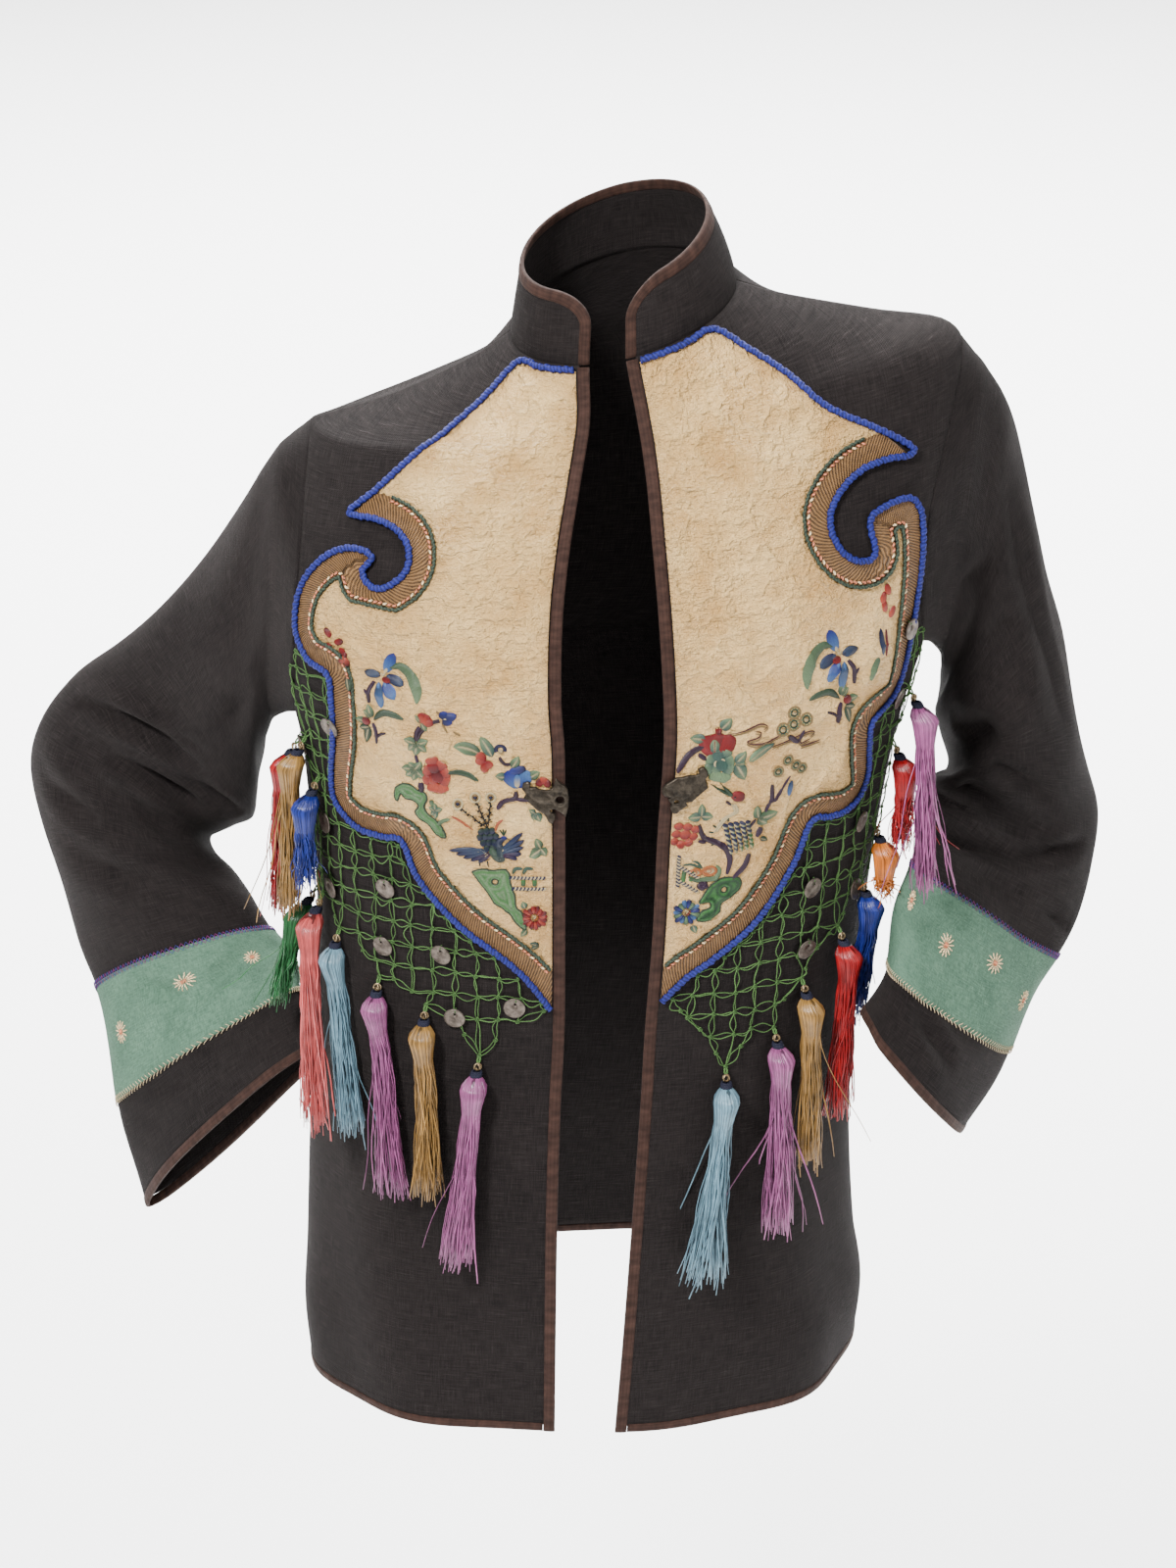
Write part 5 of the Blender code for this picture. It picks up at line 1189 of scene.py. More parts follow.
# Cords
# A blue cord is couched over the edge of the satin and ribbon, and a rough dark
# green one over the ribbon's inner edge, with coral chain stitch beside it.
CORD_WIDTH, CORD_RISE, CORD_LIFT, CORD_PITCH = 0.0038, 0.0015, 0.0027, 0.0042
GREEN_HALF, GREEN_RISE, GREEN_LIFT, GREEN_PITCH = 0.00095, 0.0009, 0.0023, 0.0026
CHAIN_OFF, CHAIN_LIFT, CHAIN_SLANT = 0.0024, 0.0018, 0.5
CHAIN_LONG, CHAIN_GAP, CHAIN_WIDE = 0.0026, 0.0004, 0.00080
THREAD_STEP = 0.0006


def tinted(mesh, tints):
    """Gives each vertex the colour of its own thread, which the material reads."""
    layer = mesh.attributes.new("thread", "FLOAT_COLOR", "POINT")
    layer.data.foreach_set("color", np.concatenate([tints, np.ones((len(tints), 1))], 1).astype(np.float32).ravel())


def thread(points, ways, half, colour, flat=1.0):
    """A plain thread of corded work: flat is its height as a share of its width."""
    return points, ways, half, half * flat, 0, 1, colour


def corded(name, parts, around):
    """Tubes along lines: parts are (points, ways out, half width, half height, plies, pitch, colour)."""
    verts, faces, charts, colours = [], [], [], []
    base = 0
    for points, ways, wide, high, plies, pitch, colour in parts:
        count = len(points)
        along = unit(np.gradient(points, axis=0))
        aside = unit(np.cross(along, ways))
        ways = np.cross(aside, along)
        run = travelled(points)
        turn = round_turns(around)
        swell = 1.0
        if plies:
            swell = 1 + 0.16 * np.cos(plies * turn[None] - 2 * math.pi * run[:, None] / pitch)
        wide, high = (np.broadcast_to(np.asarray(v, float), (count,))[:, None] for v in (wide, high))
        ring = points[:, None] + aside[:, None] * (wide * np.cos(turn)[None] * swell)[..., None]
        ring = ring + ways[:, None] * (high * np.sin(turn)[None] * swell)[..., None]
        verts.append(ring.reshape(-1, 3))
        faces += (grid_faces(count, around, ring=True)[:, ::-1] + base).tolist()
        end = np.arange(around) + base
        faces += [end.tolist(), (end[::-1] + (count - 1) * around).tolist()]
        share = turn / (2 * math.pi)
        charts.append(np.stack(np.broadcast_arrays(share[None] * 0.004, run[:, None]), -1).reshape(-1, 2))
        colours.append(np.broadcast_to(np.asarray(colour, float), (count * around, 3)))
        base += count * around
    mesh = bpy.data.meshes.new(name)
    mesh.from_pydata(np.concatenate(verts), [], faces)
    charted(mesh, np.concatenate(charts)[corner_numbers(mesh)])
    tinted(mesh, np.concatenate(colours))
    return linked(mesh)


def dyed_thread(name, roughness, twist, contrast, fray=0.5, bump=0.0003):
    """Dyed thread in its own colour: the twist shows as fine slanting hairs, with painted shade between the plies and
    a painted highlight on them.
    """
    finish = Finish(name, roughness, specular=0.25)
    across, along, _ = finish.chart()
    hairs = finish.noise(finish.vector(across * 900.0 + along * 500.0, along * 220.0), 1.0, 2.0)
    plies = (along + across * 0.9).wave(twist)
    faded = finish.noise(finish.place(), 140.0, 3.0)
    tint = finish.attribute("thread")
    # The plies term paints shade between the plies and a highlight on them; hairs and faded are the thread's own
    # uneven colour.
    shade = (plies * (1 - fray) + hairs * fray + faded * 0.4).step(0.25, 1.05)
    colour = shade.dyed(tint, contrast, 1.5)
    return finish.set(base_color=colour, roughness=roughness + 0.1 - hairs * 0.15,
                      bump=(plies * 0.6 + hairs * 0.5, bump))


cord_thread = dyed_thread("couched_cord", 0.6, 0.0022, 0.35)
CORD_BLUE, CORD_GREEN = (0.0095, 0.0130, 0.1300), (0.0260, 0.0400, 0.0260)
CORAL, CREAM = (0.480, 0.160, 0.085), (0.720, 0.540, 0.310)


def laid(side, path, lift, wiggle, pitch):
    """Points over a front along a path, with a small side-to-side waver."""
    n = np.arange(len(path))
    off = wiggle * (np.sin(n * 2 * math.pi * THREAD_STEP / pitch) + 0.4 * np.sin(n * 0.37))
    steps = np.gradient(path, axis=0)
    normal = np.stack([-steps[:, 1], steps[:, 0]], -1) / np.maximum(np.hypot(*steps.T), 1e-9)[:, None]
    path = path + normal * off[:, None]
    return on_front(side, path[:, 0], path[:, 1], lift)


def chain_stitches(side, path, colours):
    """Short raised stitches one after another along a path, slanting across it."""
    run = travelled(path)
    parts = []
    for n, start in enumerate(np.arange(0, run[-1] - CHAIN_LONG, CHAIN_LONG + CHAIN_GAP)):
        t = np.linspace(0, 1, 5)
        at = start + t * CHAIN_LONG
        spot = np.stack([np.interp(at, run, path[:, k]) for k in (0, 1)], -1)
        way = spot[-1] - spot[0]
        spot = spot + np.array([-way[1], way[0]]) * CHAIN_SLANT * (t - 0.5)[:, None]
        points, ways = on_front(side, spot[:, 0], spot[:, 1], CHAIN_LIFT + 0.0003 * np.sin(t * math.pi))
        half = CHAIN_WIDE * (0.35 + 0.65 * np.sin(t * math.pi))
        parts.append(thread(points, ways, half, colours[n % len(colours)], 0.7))
    return parts


for side, name in NAMES.items():
    path = spread(OUTLINES[side][:, :2], THREAD_STEP)
    points, ways = laid(side, path, CORD_LIFT, 0.00015, 0.006)
    parts = [(points, ways, CORD_WIDTH / 2 * 0.98, CORD_RISE, 2, CORD_PITCH, CORD_BLUE)]
    cord = corded(f"blue_cord_{name}", parts, 12)
    finished(cord, cord_thread, "cord", f"cord_{name}")

    outer, inner = RIBBON_EDGES[side]
    line = spread(inner[6:], THREAD_STEP)
    guide = spread(line, 2 * THREAD_STEP)
    chain = spread(shifted(side, guide, -CHAIN_OFF), THREAD_STEP)
    line, chain = (p[p[:, 0] > FRONT_BINDING + TUCK] for p in (line, chain))
    points, ways = laid(side, line, GREEN_LIFT, 0.00025, 0.0035)
    parts = [(points, ways, GREEN_HALF, GREEN_RISE, 2, GREEN_PITCH, CORD_GREEN)]
    parts += chain_stitches(side, chain, (CORAL, CORAL, CREAM))
    trim = corded(f"chain_stitch_{name}", parts, 7)
    finished(trim, cord_thread, "cord")


# Nets
# Green cotton knotted by hand into a net under the lower edge of the cord. Each
# bar is two threads that part between their knots.
NET_PITCH = (0.0129, 0.0140)
NET_PULL = 0.018
# Lower edge of the net in millimetres, from the front edge to the side: right
# across and drop, left across and drop
NET_EDGE = np.array((
    (14, 381, 14, 380), (32, 395, 30, 400), (49, 415, 49, 427), (64, 397, 64, 404), (82, 386, 79, 407),
    (98, 373, 86, 384), (113, 374, 93, 380), (132, 355, 108, 359), (147, 353, 122, 355), (160, 340, 141, 333),
    (176, 338, 156, 330), (180, 314, 170, 308), (174, 296, 170, 284), (170, 268, 170, 256),
    (182, 244, 176, 226), (184, 214, 180, 203),
)) / 1000
# Tassels: where each hangs, its length, the flare of its skirt, how far its end
# swings across and fore-and-aft, all in millimetres, and its silk
TASSELS = {
    RIGHT: (
        (193, 239, 106, 1.0, -4, 0, "red"), (177, 232, 104, 1.0, -3, 0, "gold"),
        (162, 254, 60, 1.0, 0, -8, "navy"), (191, 358, 62, 1.0, -15, -20, "green"),
        (168, 337, 118, 1.2, 6, -62, "salmon"), (147, 353, 116, 1.3, 24, -16, "sky"),
        (113, 374, 126, 1.5, 22, -6, "mauve"), (82, 386, 112, 1.3, 8, -2, "gold"),
        (49, 415, 126, 1.6, -12, -2, "mauve"),
    ),
    LEFT: (
        (171, 217, 106, 1.0, 0, -38, "mauve"), (162, 248, 60, 1.0, -4, -8, "red"),
        (151, 298, 38, 1.0, -3, -8, "gold"), (142, 331, 84, 1.0, -10, -2, "navy"),
        (122, 355, 112, 1.3, -8, -4, "red"), (95, 380, 112, 1.2, -1, -2, "gold"),
        (78, 407, 124, 1.3, -2, -2, "mauve"), (49, 427, 126, 2.2, -20, -2, "sky"),
    ),
}


def net_region(side):
    path = OUTLINES[side][:, :2]
    lobe = int(np.argmax((path[:, 1] > 0.150) & (path[:, 0] > 0.150)))
    top = shifted(side, path[lobe:], -(CORD_WIDTH / 2 + 3 * SEAM + 0.0009))
    return np.vstack([top[::3], NET_EDGE[:, 0:2] if side == RIGHT else NET_EDGE[:, 2:4]])


def nearest_on(polygon, spot):
    starts, steps = polygon, np.roll(polygon, -1, axis=0) - polygon
    t = np.clip(np.sum((spot - starts) * steps, 1) / np.maximum(np.sum(steps * steps, 1), 1e-12), 0, 1)
    near = starts + t[:, None] * steps
    gaps = np.linalg.norm(near - spot, axis=1)
    return gaps.min(), near[np.argmin(gaps)]


def net_knots(side):
    """Cells of the net, its knots and the knot that carries each tassel."""
    region = net_region(side)
    wide, tall = NET_PITCH
    tries = [(i, j) for i in range(20) for j in range(8, 40)]
    held = inside(region, (np.array(tries) + 0.5) * NET_PITCH)
    cells = {cell for cell, ok in zip(tries, held) if ok}
    knots = {}
    for i, j in sorted(cells):
        for k in (i, i + 1):
            for m in (j, j + 1):
                spot = np.array([k * wide, m * tall])
                gap, edge = nearest_on(region, spot)
                knots[k, m] = edge if not inside(region, spot[None])[0] or gap < 0.0015 else spot
    hangers = []
    for row in TASSELS[side]:
        spot = np.array(row[:2]) / 1000
        free = min((k for k in knots if k not in hangers), key=lambda k: np.linalg.norm(knots[k] - spot))
        if np.linalg.norm(knots[free] - spot) < NET_PULL:
            knots[free] = spot
        hangers.append(free)
    return cells, knots, hangers


net_cotton = dyed_thread("net_thread", 0.75, 0.0016, 0.45)
NETS = {side: net_knots(side) for side in NAMES}
NET_GREEN, NET_DARK = (0.068, 0.145, 0.040), (0.036, 0.082, 0.022)
chance = np.random.default_rng(5)


def bar(side, one, two, bow, lift):
    """One thread of the net between two knots, bowed aside and standing off the cloth in the middle."""
    t = np.linspace(0, 1, 8)
    way = two - one
    normal = np.array([-way[1], way[0]]) / max(np.hypot(*way), 1e-9)
    waver = 0.0004 * np.sin(t * 7 + bow * 9000)
    spots = one + way * t[:, None] + normal * (bow * np.sin(t * math.pi) + waver)[:, None]
    return on_front(side, spots[:, 0], spots[:, 1], lift + 0.0009 * np.sin(t * math.pi))


for side, name in NAMES.items():
    cells, knots, hangers = NETS[side]
    # small unevenness of hand knotting
    places = {}
    for key in sorted(knots):
        nudge = chance.normal(0, 0.0007, 2) if key not in hangers else 0
        places[key] = knots[key] + nudge
    parts = []
    for i, j in sorted(knots):
        for other, mates in (((i + 1, j), ((i, j), (i, j - 1))), ((i, j + 1), ((i, j), (i - 1, j)))):
            if other not in knots or not any(m in cells for m in mates):
                continue
            one, two = places[i, j], places[other]
            if np.hypot(*(two - one)) < 0.002:
                continue
            for way in (-1, 1):
                bow = way * (0.00095 + 0.0005 * chance.random()) + 0.0011 * chance.normal()
                points, ways = bar(side, one, two, bow, 0.0013 + 0.0003 * way)
                tint = np.array(NET_GREEN) * (0.75 + 0.5 * chance.random())
                parts.append(thread(points, ways, 0.00031, tint))
    for key in sorted(knots):
        t = np.linspace(0, 1, 6)
        spots = places[key] + np.stack([0.0012 * np.cos(t * 5.0), 0.0012 * np.sin(t * 5.0)], -1)
        points, ways = on_front(side, spots[:, 0], spots[:, 1], 0.0019 + 0.0002 * np.sin(t * 9))
        parts.append(thread(points, ways, 0.00038, NET_GREEN))
        across, drop = places[key]
        arch = 0.0021 + np.array([-0.0004, 0.0003, 0.0003, -0.0004])
        points, ways = on_front(side, across + np.linspace(-0.0011, 0.0011, 4), drop + np.zeros(4), arch)
        parts.append(thread(points, ways, 0.00050, NET_DARK))
    net = corded(f"knotted_net_{name}", parts, 5)
    finished(net, net_cotton, "net", f"net_{name}")


# Discs
# Thin spangles of dull beaten metal, each with one hole near its top, tied to
# the net where its threads cross.
DISCS = {
    RIGHT: ((140, 209), (155, 280), (153, 324), (106.5, 310), (109, 349), (72, 348), (64, 388), (29, 379),
            (182, 236)),
    LEFT: ((155, 172), (155, 215), (132, 286), (95, 317), (134, 331), (95, 357)),
}
DISC_ACROSS = 0.0128
DISC_HOLE = DISC_ACROSS * 0.30  # up from its middle
DISC_SIDES = 36


def dull_metal(name, dark, light, roughness):
    """Old metal: brushed by wear, browned in its hollows, brighter where it has been rubbed."""
    finish = Finish(name, roughness, metallic=0.85, specular=0.5)
    place = finish.place()
    tarnish = finish.noise(place, 210.0, 4.0, 0.65)
    scratch = finish.noise(place, 1400.0, 2.0)
    tone = (tarnish * 0.9 + scratch * 0.25).step(0.3, 0.9)
    bump = tarnish * 0.6 + scratch * 0.3
    return finish.set(base_color=tone.blend(dark, light), roughness=roughness + 0.15 - tone * 0.25,
                      bump=(bump, 0.0003))


spangle_metal = dull_metal("spangle_metal", (0.045, 0.035, 0.028, 1), (0.200, 0.165, 0.138, 1), 0.45)


def disc_master():
    """One spangle lying flat, domed a little, with a turned-down edge and a hole near its top."""
    bpy.ops.mesh.primitive_cylinder_add(
        vertices=DISC_SIDES, radius=DISC_ACROSS / 2, depth=0.0007, end_fill_type="TRIFAN", location=(0, 0, 0),
    )
    disc = bpy.context.object
    mesh = bmesh.new()
    mesh.from_mesh(disc.data)
    bmesh.ops.delete(mesh, geom=[v for v in mesh.verts if math.hypot(v.co.x, v.co.y) < 1e-5], context="VERTS")
    rims = [[v for v in mesh.verts if (v.co.z > 0) == up] for up in (True, False)]
    layers = []
    for ring, up in zip(rims, (1, -1)):
        ring.sort(key=lambda v: math.atan2(v.co.y, v.co.x))
        rows = [ring]
        for share in (0.93, 0.72, 0.48, 0.22):
            radius = DISC_ACROSS / 2 * share
            shift = Vector((0, DISC_HOLE, 0)) * (1 - share) ** 1.1
            rise = 0.00045 * (1 - share**2) + (0.00012 if share > 0.9 else 0)
            row = []
            for v in ring:
                way = Vector((v.co.x, v.co.y, 0)).normalized()
                high = Vector((0, 0, ring[0].co.z + rise))
                row.append(mesh.verts.new(way * radius * (1 if share > 0.3 else 0.55) + shift + high))
            rows.append(row)
        for one, two in zip(rows, rows[1:]):
            for k in range(DISC_SIDES):
                n = (k + 1) % DISC_SIDES
                quad = (one[k], one[n], two[n], two[k])
                mesh.faces.new(quad if up > 0 else quad[::-1])
        layers.append(rows[-1])
    for k in range(DISC_SIDES):
        n = (k + 1) % DISC_SIDES
        mesh.faces.new((layers[0][k], layers[0][n], layers[1][n], layers[1][k]))
    bmesh.ops.recalc_face_normals(mesh, faces=mesh.faces)
    mesh.to_mesh(disc.data)
    mesh.free()
    disc.data.shade_smooth()
    return disc


def frame_at(out, spin):
    """Axes of a flat thing that hangs with its face out, turned a little in its plane: across, up and out."""
    out = unit(np.asarray(out, float))
    across = unit(np.cross((0.0, 0.0, 1.0), out))
    high = np.cross(out, across)
    c, s = math.cos(spin), math.sin(spin)
    return np.stack([across * c + high * s, high * c - across * s, out], -1)


disc = disc_master()
bpy.ops.object.select_all(action="DESELECT")
for side, name in NAMES.items():
    whole = bmesh.new()
    knots = []
    for across, drop in DISCS[side]:
        point, out = on_front(side, np.array([across / 1000]), np.array([drop / 1000 + DISC_HOLE]), 0.0034)
        lean = chance.normal(0, 0.10, 2)
        axes = frame_at(out[0] + np.array([lean[0], 0, lean[1] - 0.08]), chance.normal(0, 0.25))
        fresh = bmesh.new()
        fresh.from_mesh(disc.data)
        for vert in fresh.verts:
            vert.co = Vector(point[0] + axes @ np.array(vert.co))
        mesh = bpy.data.meshes.new("one")
        fresh.to_mesh(mesh)
        fresh.free()
        whole.from_mesh(mesh)
        bpy.data.meshes.remove(mesh)
        hole = point[0] + axes @ np.array([0, DISC_HOLE, 0])
        t = np.linspace(0, 1, 9)[:, None]
        arch = hole + axes @ np.array([0, 0.0026, 0]) * t + (axes[:, 2] * 0.0011) * np.sin(t * math.pi)
        knots.append(thread(arch - axes[:, 2] * 0.0012 * t, np.tile(axes[:, 0], (9, 1)), 0.0005, NET_DARK))
    mesh = bpy.data.meshes.new(f"spangles_{name}")
    whole.to_mesh(mesh)
    whole.free()
    finished(linked(mesh), spangle_metal, "bronze")
    finished(corded(f"spangle_ties_{name}", knots, 5), net_cotton, "net")
bpy.data.objects.remove(disc)


# Tassels
# Silk floss gathered over a cord, bound with dark thread into a round head and
# left loose below it. Each hangs from a knot of the net by a small metal loop.
FLOSS = {
    "red": (0.260, 0.0060, 0.0080), "gold": (0.240, 0.130, 0.034), "navy": (0.0095, 0.0190, 0.150),
    "green": (0.0130, 0.090, 0.0250), "salmon": (0.430, 0.0650, 0.0620), "sky": (0.120, 0.215, 0.270),
    "mauve": (0.240, 0.0660, 0.170), "orange": (0.440, 0.120, 0.0140),
}
HEAD_TOP, HEAD_ROUND, HEAD_LOW = 0.0095, 0.0165, 0.0290
STRANDS = 104
GOLDEN_TURN = 0.6180339887  # sets each strand well apart from the last
DYES = {(LEFT, (151, 298)): "orange"}  # silk of a tassel whose slot is another's
WRAP_NAVY, LOOP_BROWN = (0.010, 0.011, 0.024), (0.5, 0.4, 0.26)


def silk_floss():
    """Tassel silk: long glossy streaks that run down the strands, lighter as a painted sheen, with painted shade
    between them.
    """
    finish = Finish("silk_floss", 0.3, specular=0.5)
    across, along, _ = finish.chart()
    streaks = finish.noise(finish.vector(across * 1500.0, along * 28.0), 1.0, 2.0)
    soft = finish.noise(finish.place(), 160.0, 2.0)
    tint = finish.attribute("thread")
    # The streaks paint a sheen down the strands and shade between them; soft is the silk's own uneven colour.
    shade = (streaks * 0.8 + soft * 0.4).step(0.25, 0.95)
    return finish.set(base_color=shade.dyed(tint, 0.30, 1.75), roughness=0.42 - streaks * 0.2)


silk = silk_floss()
loop_metal = dull_metal("loop_metal", (0.16, 0.10, 0.05, 1), (0.50, 0.38, 0.22, 1), 0.35)


def tassel_line(side, key, row):
    """Centre of a tassel at falls below its hanger, as a function, and its way out from the cloth."""
    length, flare = row[2] / 1000, row[3]
    point, way = on_front(side, *NETS[side][1][key][:, None], 0.0030)
    hanger, out = point[0], way[0] * (1, 1, 0)
    out /= np.linalg.norm(out)
    swing = np.array([*row[4:6], 0.0]) / 1000

    def centre(fall):
        fall = np.asarray(fall, float)[..., None]
        away = np.minimum(0.0085, 0.55 * np.maximum(fall - 0.001, 0)) + 0.0074 * (flare - 1) * fall / length
        spot = hanger + out * away + swing * np.maximum(fall, 0) / length - np.array([0, 0, 1.0]) * (fall + 0.0016)
        return clear_of_body(side, spot, away[..., 0] + 0.001)

    return centre, out


def tassel_parts(side, key, row, dice):
    """The floss of one tassel: a core dyed dark as painted shade between the strands, and its loose strands."""
    length, flare, tint = row[2] / 1000, row[3], np.array(FLOSS[DYES.get((side, row[:2]), row[6])])
    centre, out = tassel_line(side, key, row)
    parts = []
    skirt_long = length - HEAD_LOW
    falls = np.append(
        [HEAD_TOP, 0.0120, 0.0150, HEAD_ROUND + 0.002, 0.0240, HEAD_LOW],
        HEAD_LOW + skirt_long * np.array([0.35, 0.70, 0.88]),
    )
    radii = np.array([0.0026, 0.0050, 0.0060, 0.0060, 0.0046, 0.0036, 0.0034, 0.0028 * flare**0.5, 0.0012])
    line = centre(falls)
    # The core is far darker than its silk, as painted shade in the gaps between the strands.
    parts.append(thread(line, np.tile(out, (len(line), 1)), radii, tint * 0.22))
    for n in range(STRANDS):
        angle = 2 * math.pi * (n * GOLDEN_TURN % 1.0)
        deep = dice.random() ** 0.5
        stray = dice.random() < 0.09
        end = length + dice.normal(0, 0.0035) - (0.012 * dice.random() ** 3)
        low = np.linspace(0.12, 1, 9)
        head = [HEAD_TOP - 0.0006, 0.0112, 0.0138, HEAD_ROUND, 0.0225, HEAD_LOW]
        falls = np.concatenate([head, HEAD_LOW + (end - HEAD_LOW) * low])
        swell = np.array([0.0028, 0.0052, 0.0071, 0.0075, 0.0063, 0.0053])
        skirt = 0.0049 + 0.0008 * low + 0.0066 * (flare - 1) * low**1.8
        reach = np.concatenate([swell * (0.88 + 0.12 * deep), skirt * (0.35 + 0.7 * deep)])
        sway = np.concatenate([np.zeros(6), low**1.2]) * dice.normal(0, 0.0014 + (0.012 if stray else 0))
        curl = np.concatenate([np.zeros(6), 0.0013 * np.sin(low * dice.uniform(5, 14) + dice.uniform(0, 6))])
        turn = angle + np.concatenate([np.linspace(0, 0.25, 6), 0.25 + low * dice.normal(0, 0.9)])
        ring = np.stack([np.cos(turn), np.sin(turn), 0 * turn], -1)
        aside = np.array([math.cos(angle + 1), math.sin(angle + 1), 0])
        line = centre(falls) + ring * reach[:, None] + aside * (sway + curl)[:, None]
        fat = 0.00056 * dice.uniform(0.75, 1.30)
        thick = fat * np.concatenate([[0.8, 1, 1.1, 1.1, 1, 0.95], 0.9 - 0.35 * low])
        shade = tint * dice.uniform(0.55, 1.35)
        parts.append(thread(line, ring, thick, shade, 0.8))
    return parts, centre, out


def tassel_top(centre, out):
    """The dark binding of the neck, the metal loop above it and the net threads it hangs by."""
    bound, loop = [], []
    t = np.linspace(0, 2 * math.pi, 13)
    ring = np.stack([np.cos(t), np.sin(t), 0 * t], -1)
    for n in range(5):
        fall = 0.0066 + 0.00075 * n
        line = centre(np.full(13, fall)) + ring * (0.0031 - 0.0001 * (n - 2) ** 2)
        bound.append(thread(line, ring, 0.00062, WRAP_NAVY))
    heart = centre(np.array([0.0042]))[0]
    aside = unit(np.cross(out, (0, 0, 1.0)))
    t = np.linspace(0, 2 * math.pi, 17)
    for tilt, size in ((0.5, 0.0021), (-0.6, 0.0019)):
        plane = aside * math.cos(tilt) + out * math.sin(tilt)
        ring = plane * np.cos(t)[:, None] + np.array([0, 0, 1.0]) * np.sin(t)[:, None]
        loop.append(thread(heart + ring * size, ring, 0.00055, LOOP_BROWN))
    return bound, loop


wrap_thread = dyed_thread("dark_binding_thread", 0.7, 0.0015, 0.6)
for side, name in NAMES.items():
    bound, loops, hangs = [], [], []
    for number, (key, row) in enumerate(zip(NETS[side][2], TASSELS[side]), start=1):
        dice = np.random.default_rng(100 * number + side)
        parts, centre, out = tassel_parts(side, key, row, dice)
        tassel = corded(f"floss_tassel_{name}_{number}", parts, 4)
        finished(tassel, silk, row[6], f"tassel_{name}_{number}")
        more, loop = tassel_top(centre, out)
        bound += more
        loops += loop
        knot = on_front(side, *NETS[side][1][key][:, None], 0.0015)[0][0]
        for way in (-1, 1):
            t = np.linspace(0, 1, 6)[:, None]
            bow = np.array([way * 0.0008, 0, 0.0]) * np.sin(t * math.pi)
            line = knot + (centre(np.array([0.0030]))[0] - knot) * t + bow
            hangs.append(thread(line, np.tile(out, (6, 1)), 0.0006, NET_GREEN))
    finished(corded(f"tassel_necks_{name}", bound, 6), wrap_thread, "navy")
    finished(corded(f"tassel_loops_{name}", loops, 6), loop_metal, "bronze")
    finished(corded(f"tassel_hangers_{name}", hangs, 5), net_cotton, "net")


# Sleeve bands
# A band of teal-green linen sewn round each forearm: crossed purple and blue
# stitches hold its upper edge, cream feather stitch its lower one, and small
# sun flowers are worked on it.
BAND_SECTIONS = (11.0, 13.0)
BAND_LIFT = 0.0004
LINEN = 0.0006
SECTION_LENGTH = 0.030
SLEEVE_GIRTH = 0.352
BAND_FLOWERS = {  # section and turn of each
    RIGHT: ((12.05, 36), (11.7, 88), (11.75, 128), (12.2, 184), (11.6, 236), (12.1, 300)),
    LEFT: ((12.1, 40), (11.75, 78), (11.95, 112), (11.6, 154), (12.2, 214), (11.8, 286)),
}
PLUM_THREAD, BLUE_THREAD = (0.170, 0.022, 0.130), (0.040, 0.045, 0.210)
FEATHER, PEACH = (0.600, 0.480, 0.290), (0.560, 0.200, 0.100)


def slub_linen():
    """Teal-green linen: thick and thin threads both ways, rubbed paler here and there."""
    finish = Finish("slub_linen", 0.85, specular=0.15)
    across, along, chart = finish.chart()
    warp = finish.noise(finish.vector(across * 1300.0, along * 260.0), 1.0, 2.0)
    weft = finish.noise(finish.vector(across * 240.0, along * 1300.0, 3.0), 1.0, 2.0)
    thick = warp.step(0.60, 0.75) + weft.step(0.60, 0.75)
    rubbed = finish.noise(chart, 38.0, 4.0, 0.6)
    tone = (warp * 0.55 + weft * 0.55 + thick * 0.07 + rubbed * 0.40).step(0.35, 1.25)
    colour = tone.blend((0.030, 0.072, 0.046, 1), (0.150, 0.270, 0.185, 1))
    return finish.set(base_color=colour, roughness=0.9 - tone * 0.1,
                      bump=(warp * 0.5 + weft * 0.5 + thick * 0.4, 0.0006))


def sleeve_stitch(side, one, two, wide, colour, lift):
    """One raised stitch between two places of section and turn."""
    t = np.linspace(0, 1, 4)
    section, turn = (one[k] + (two[k] - one[k]) * t for k in (0, 1))
    points, ways = on_sleeve(side, section, turn, lift + 0.0003 * np.sin(t * math.pi))
    return points, ways, wide * (0.5 + 0.5 * np.sin(t * math.pi)), wide * 0.7, 0, 1, colour


def band_stitches(side):
    """Thread work of one band: both edges and the sun flowers."""
    parts, lift = [], BAND_LIFT + LINEN
    for row, colour in ((0.0, PLUM_THREAD), (2.0, BLUE_THREAD)):
        for n in range(72):
            low, turn = BAND_SECTIONS[0] + 0.080, (n + row / 4) * 5.0
            for lean in (2.5, -2.5):
                parts.append(sleeve_stitch(side, (low, turn), (low - 0.15, turn + lean), 0.00024, colour, lift))
    for n in range(120):
        middle, turn = BAND_SECTIONS[1], n * 3.0
        for lean in (-0.080, 0.075):
            parts.append(sleeve_stitch(side, (middle + lean, turn), (middle, turn + 2.2), 0.00030, FEATHER, lift))
    for section, turn in BAND_FLOWERS[side]:
        for n in range(13):
            angle = 2 * math.pi * n / 13
            rise, aside = math.cos(angle) / SECTION_LENGTH, math.sin(angle) / SLEEVE_GIRTH * 360
            start, end = ((section + reach * rise, turn + reach * aside) for reach in (0.0017, 0.0058))
            parts.append(sleeve_stitch(side, start, end, 0.00055, CREAM, lift))
        for n in range(4):
            shift = (n - 1.5) * 0.0007
            beside = turn + shift / SLEEVE_GIRTH * 360
            start, end = (section - 0.0014 / SECTION_LENGTH, beside), (section + 0.0014 / SECTION_LENGTH, beside)
            parts.append(sleeve_stitch(side, start, end, 0.00050, PEACH, lift + 0.0001))
    return parts


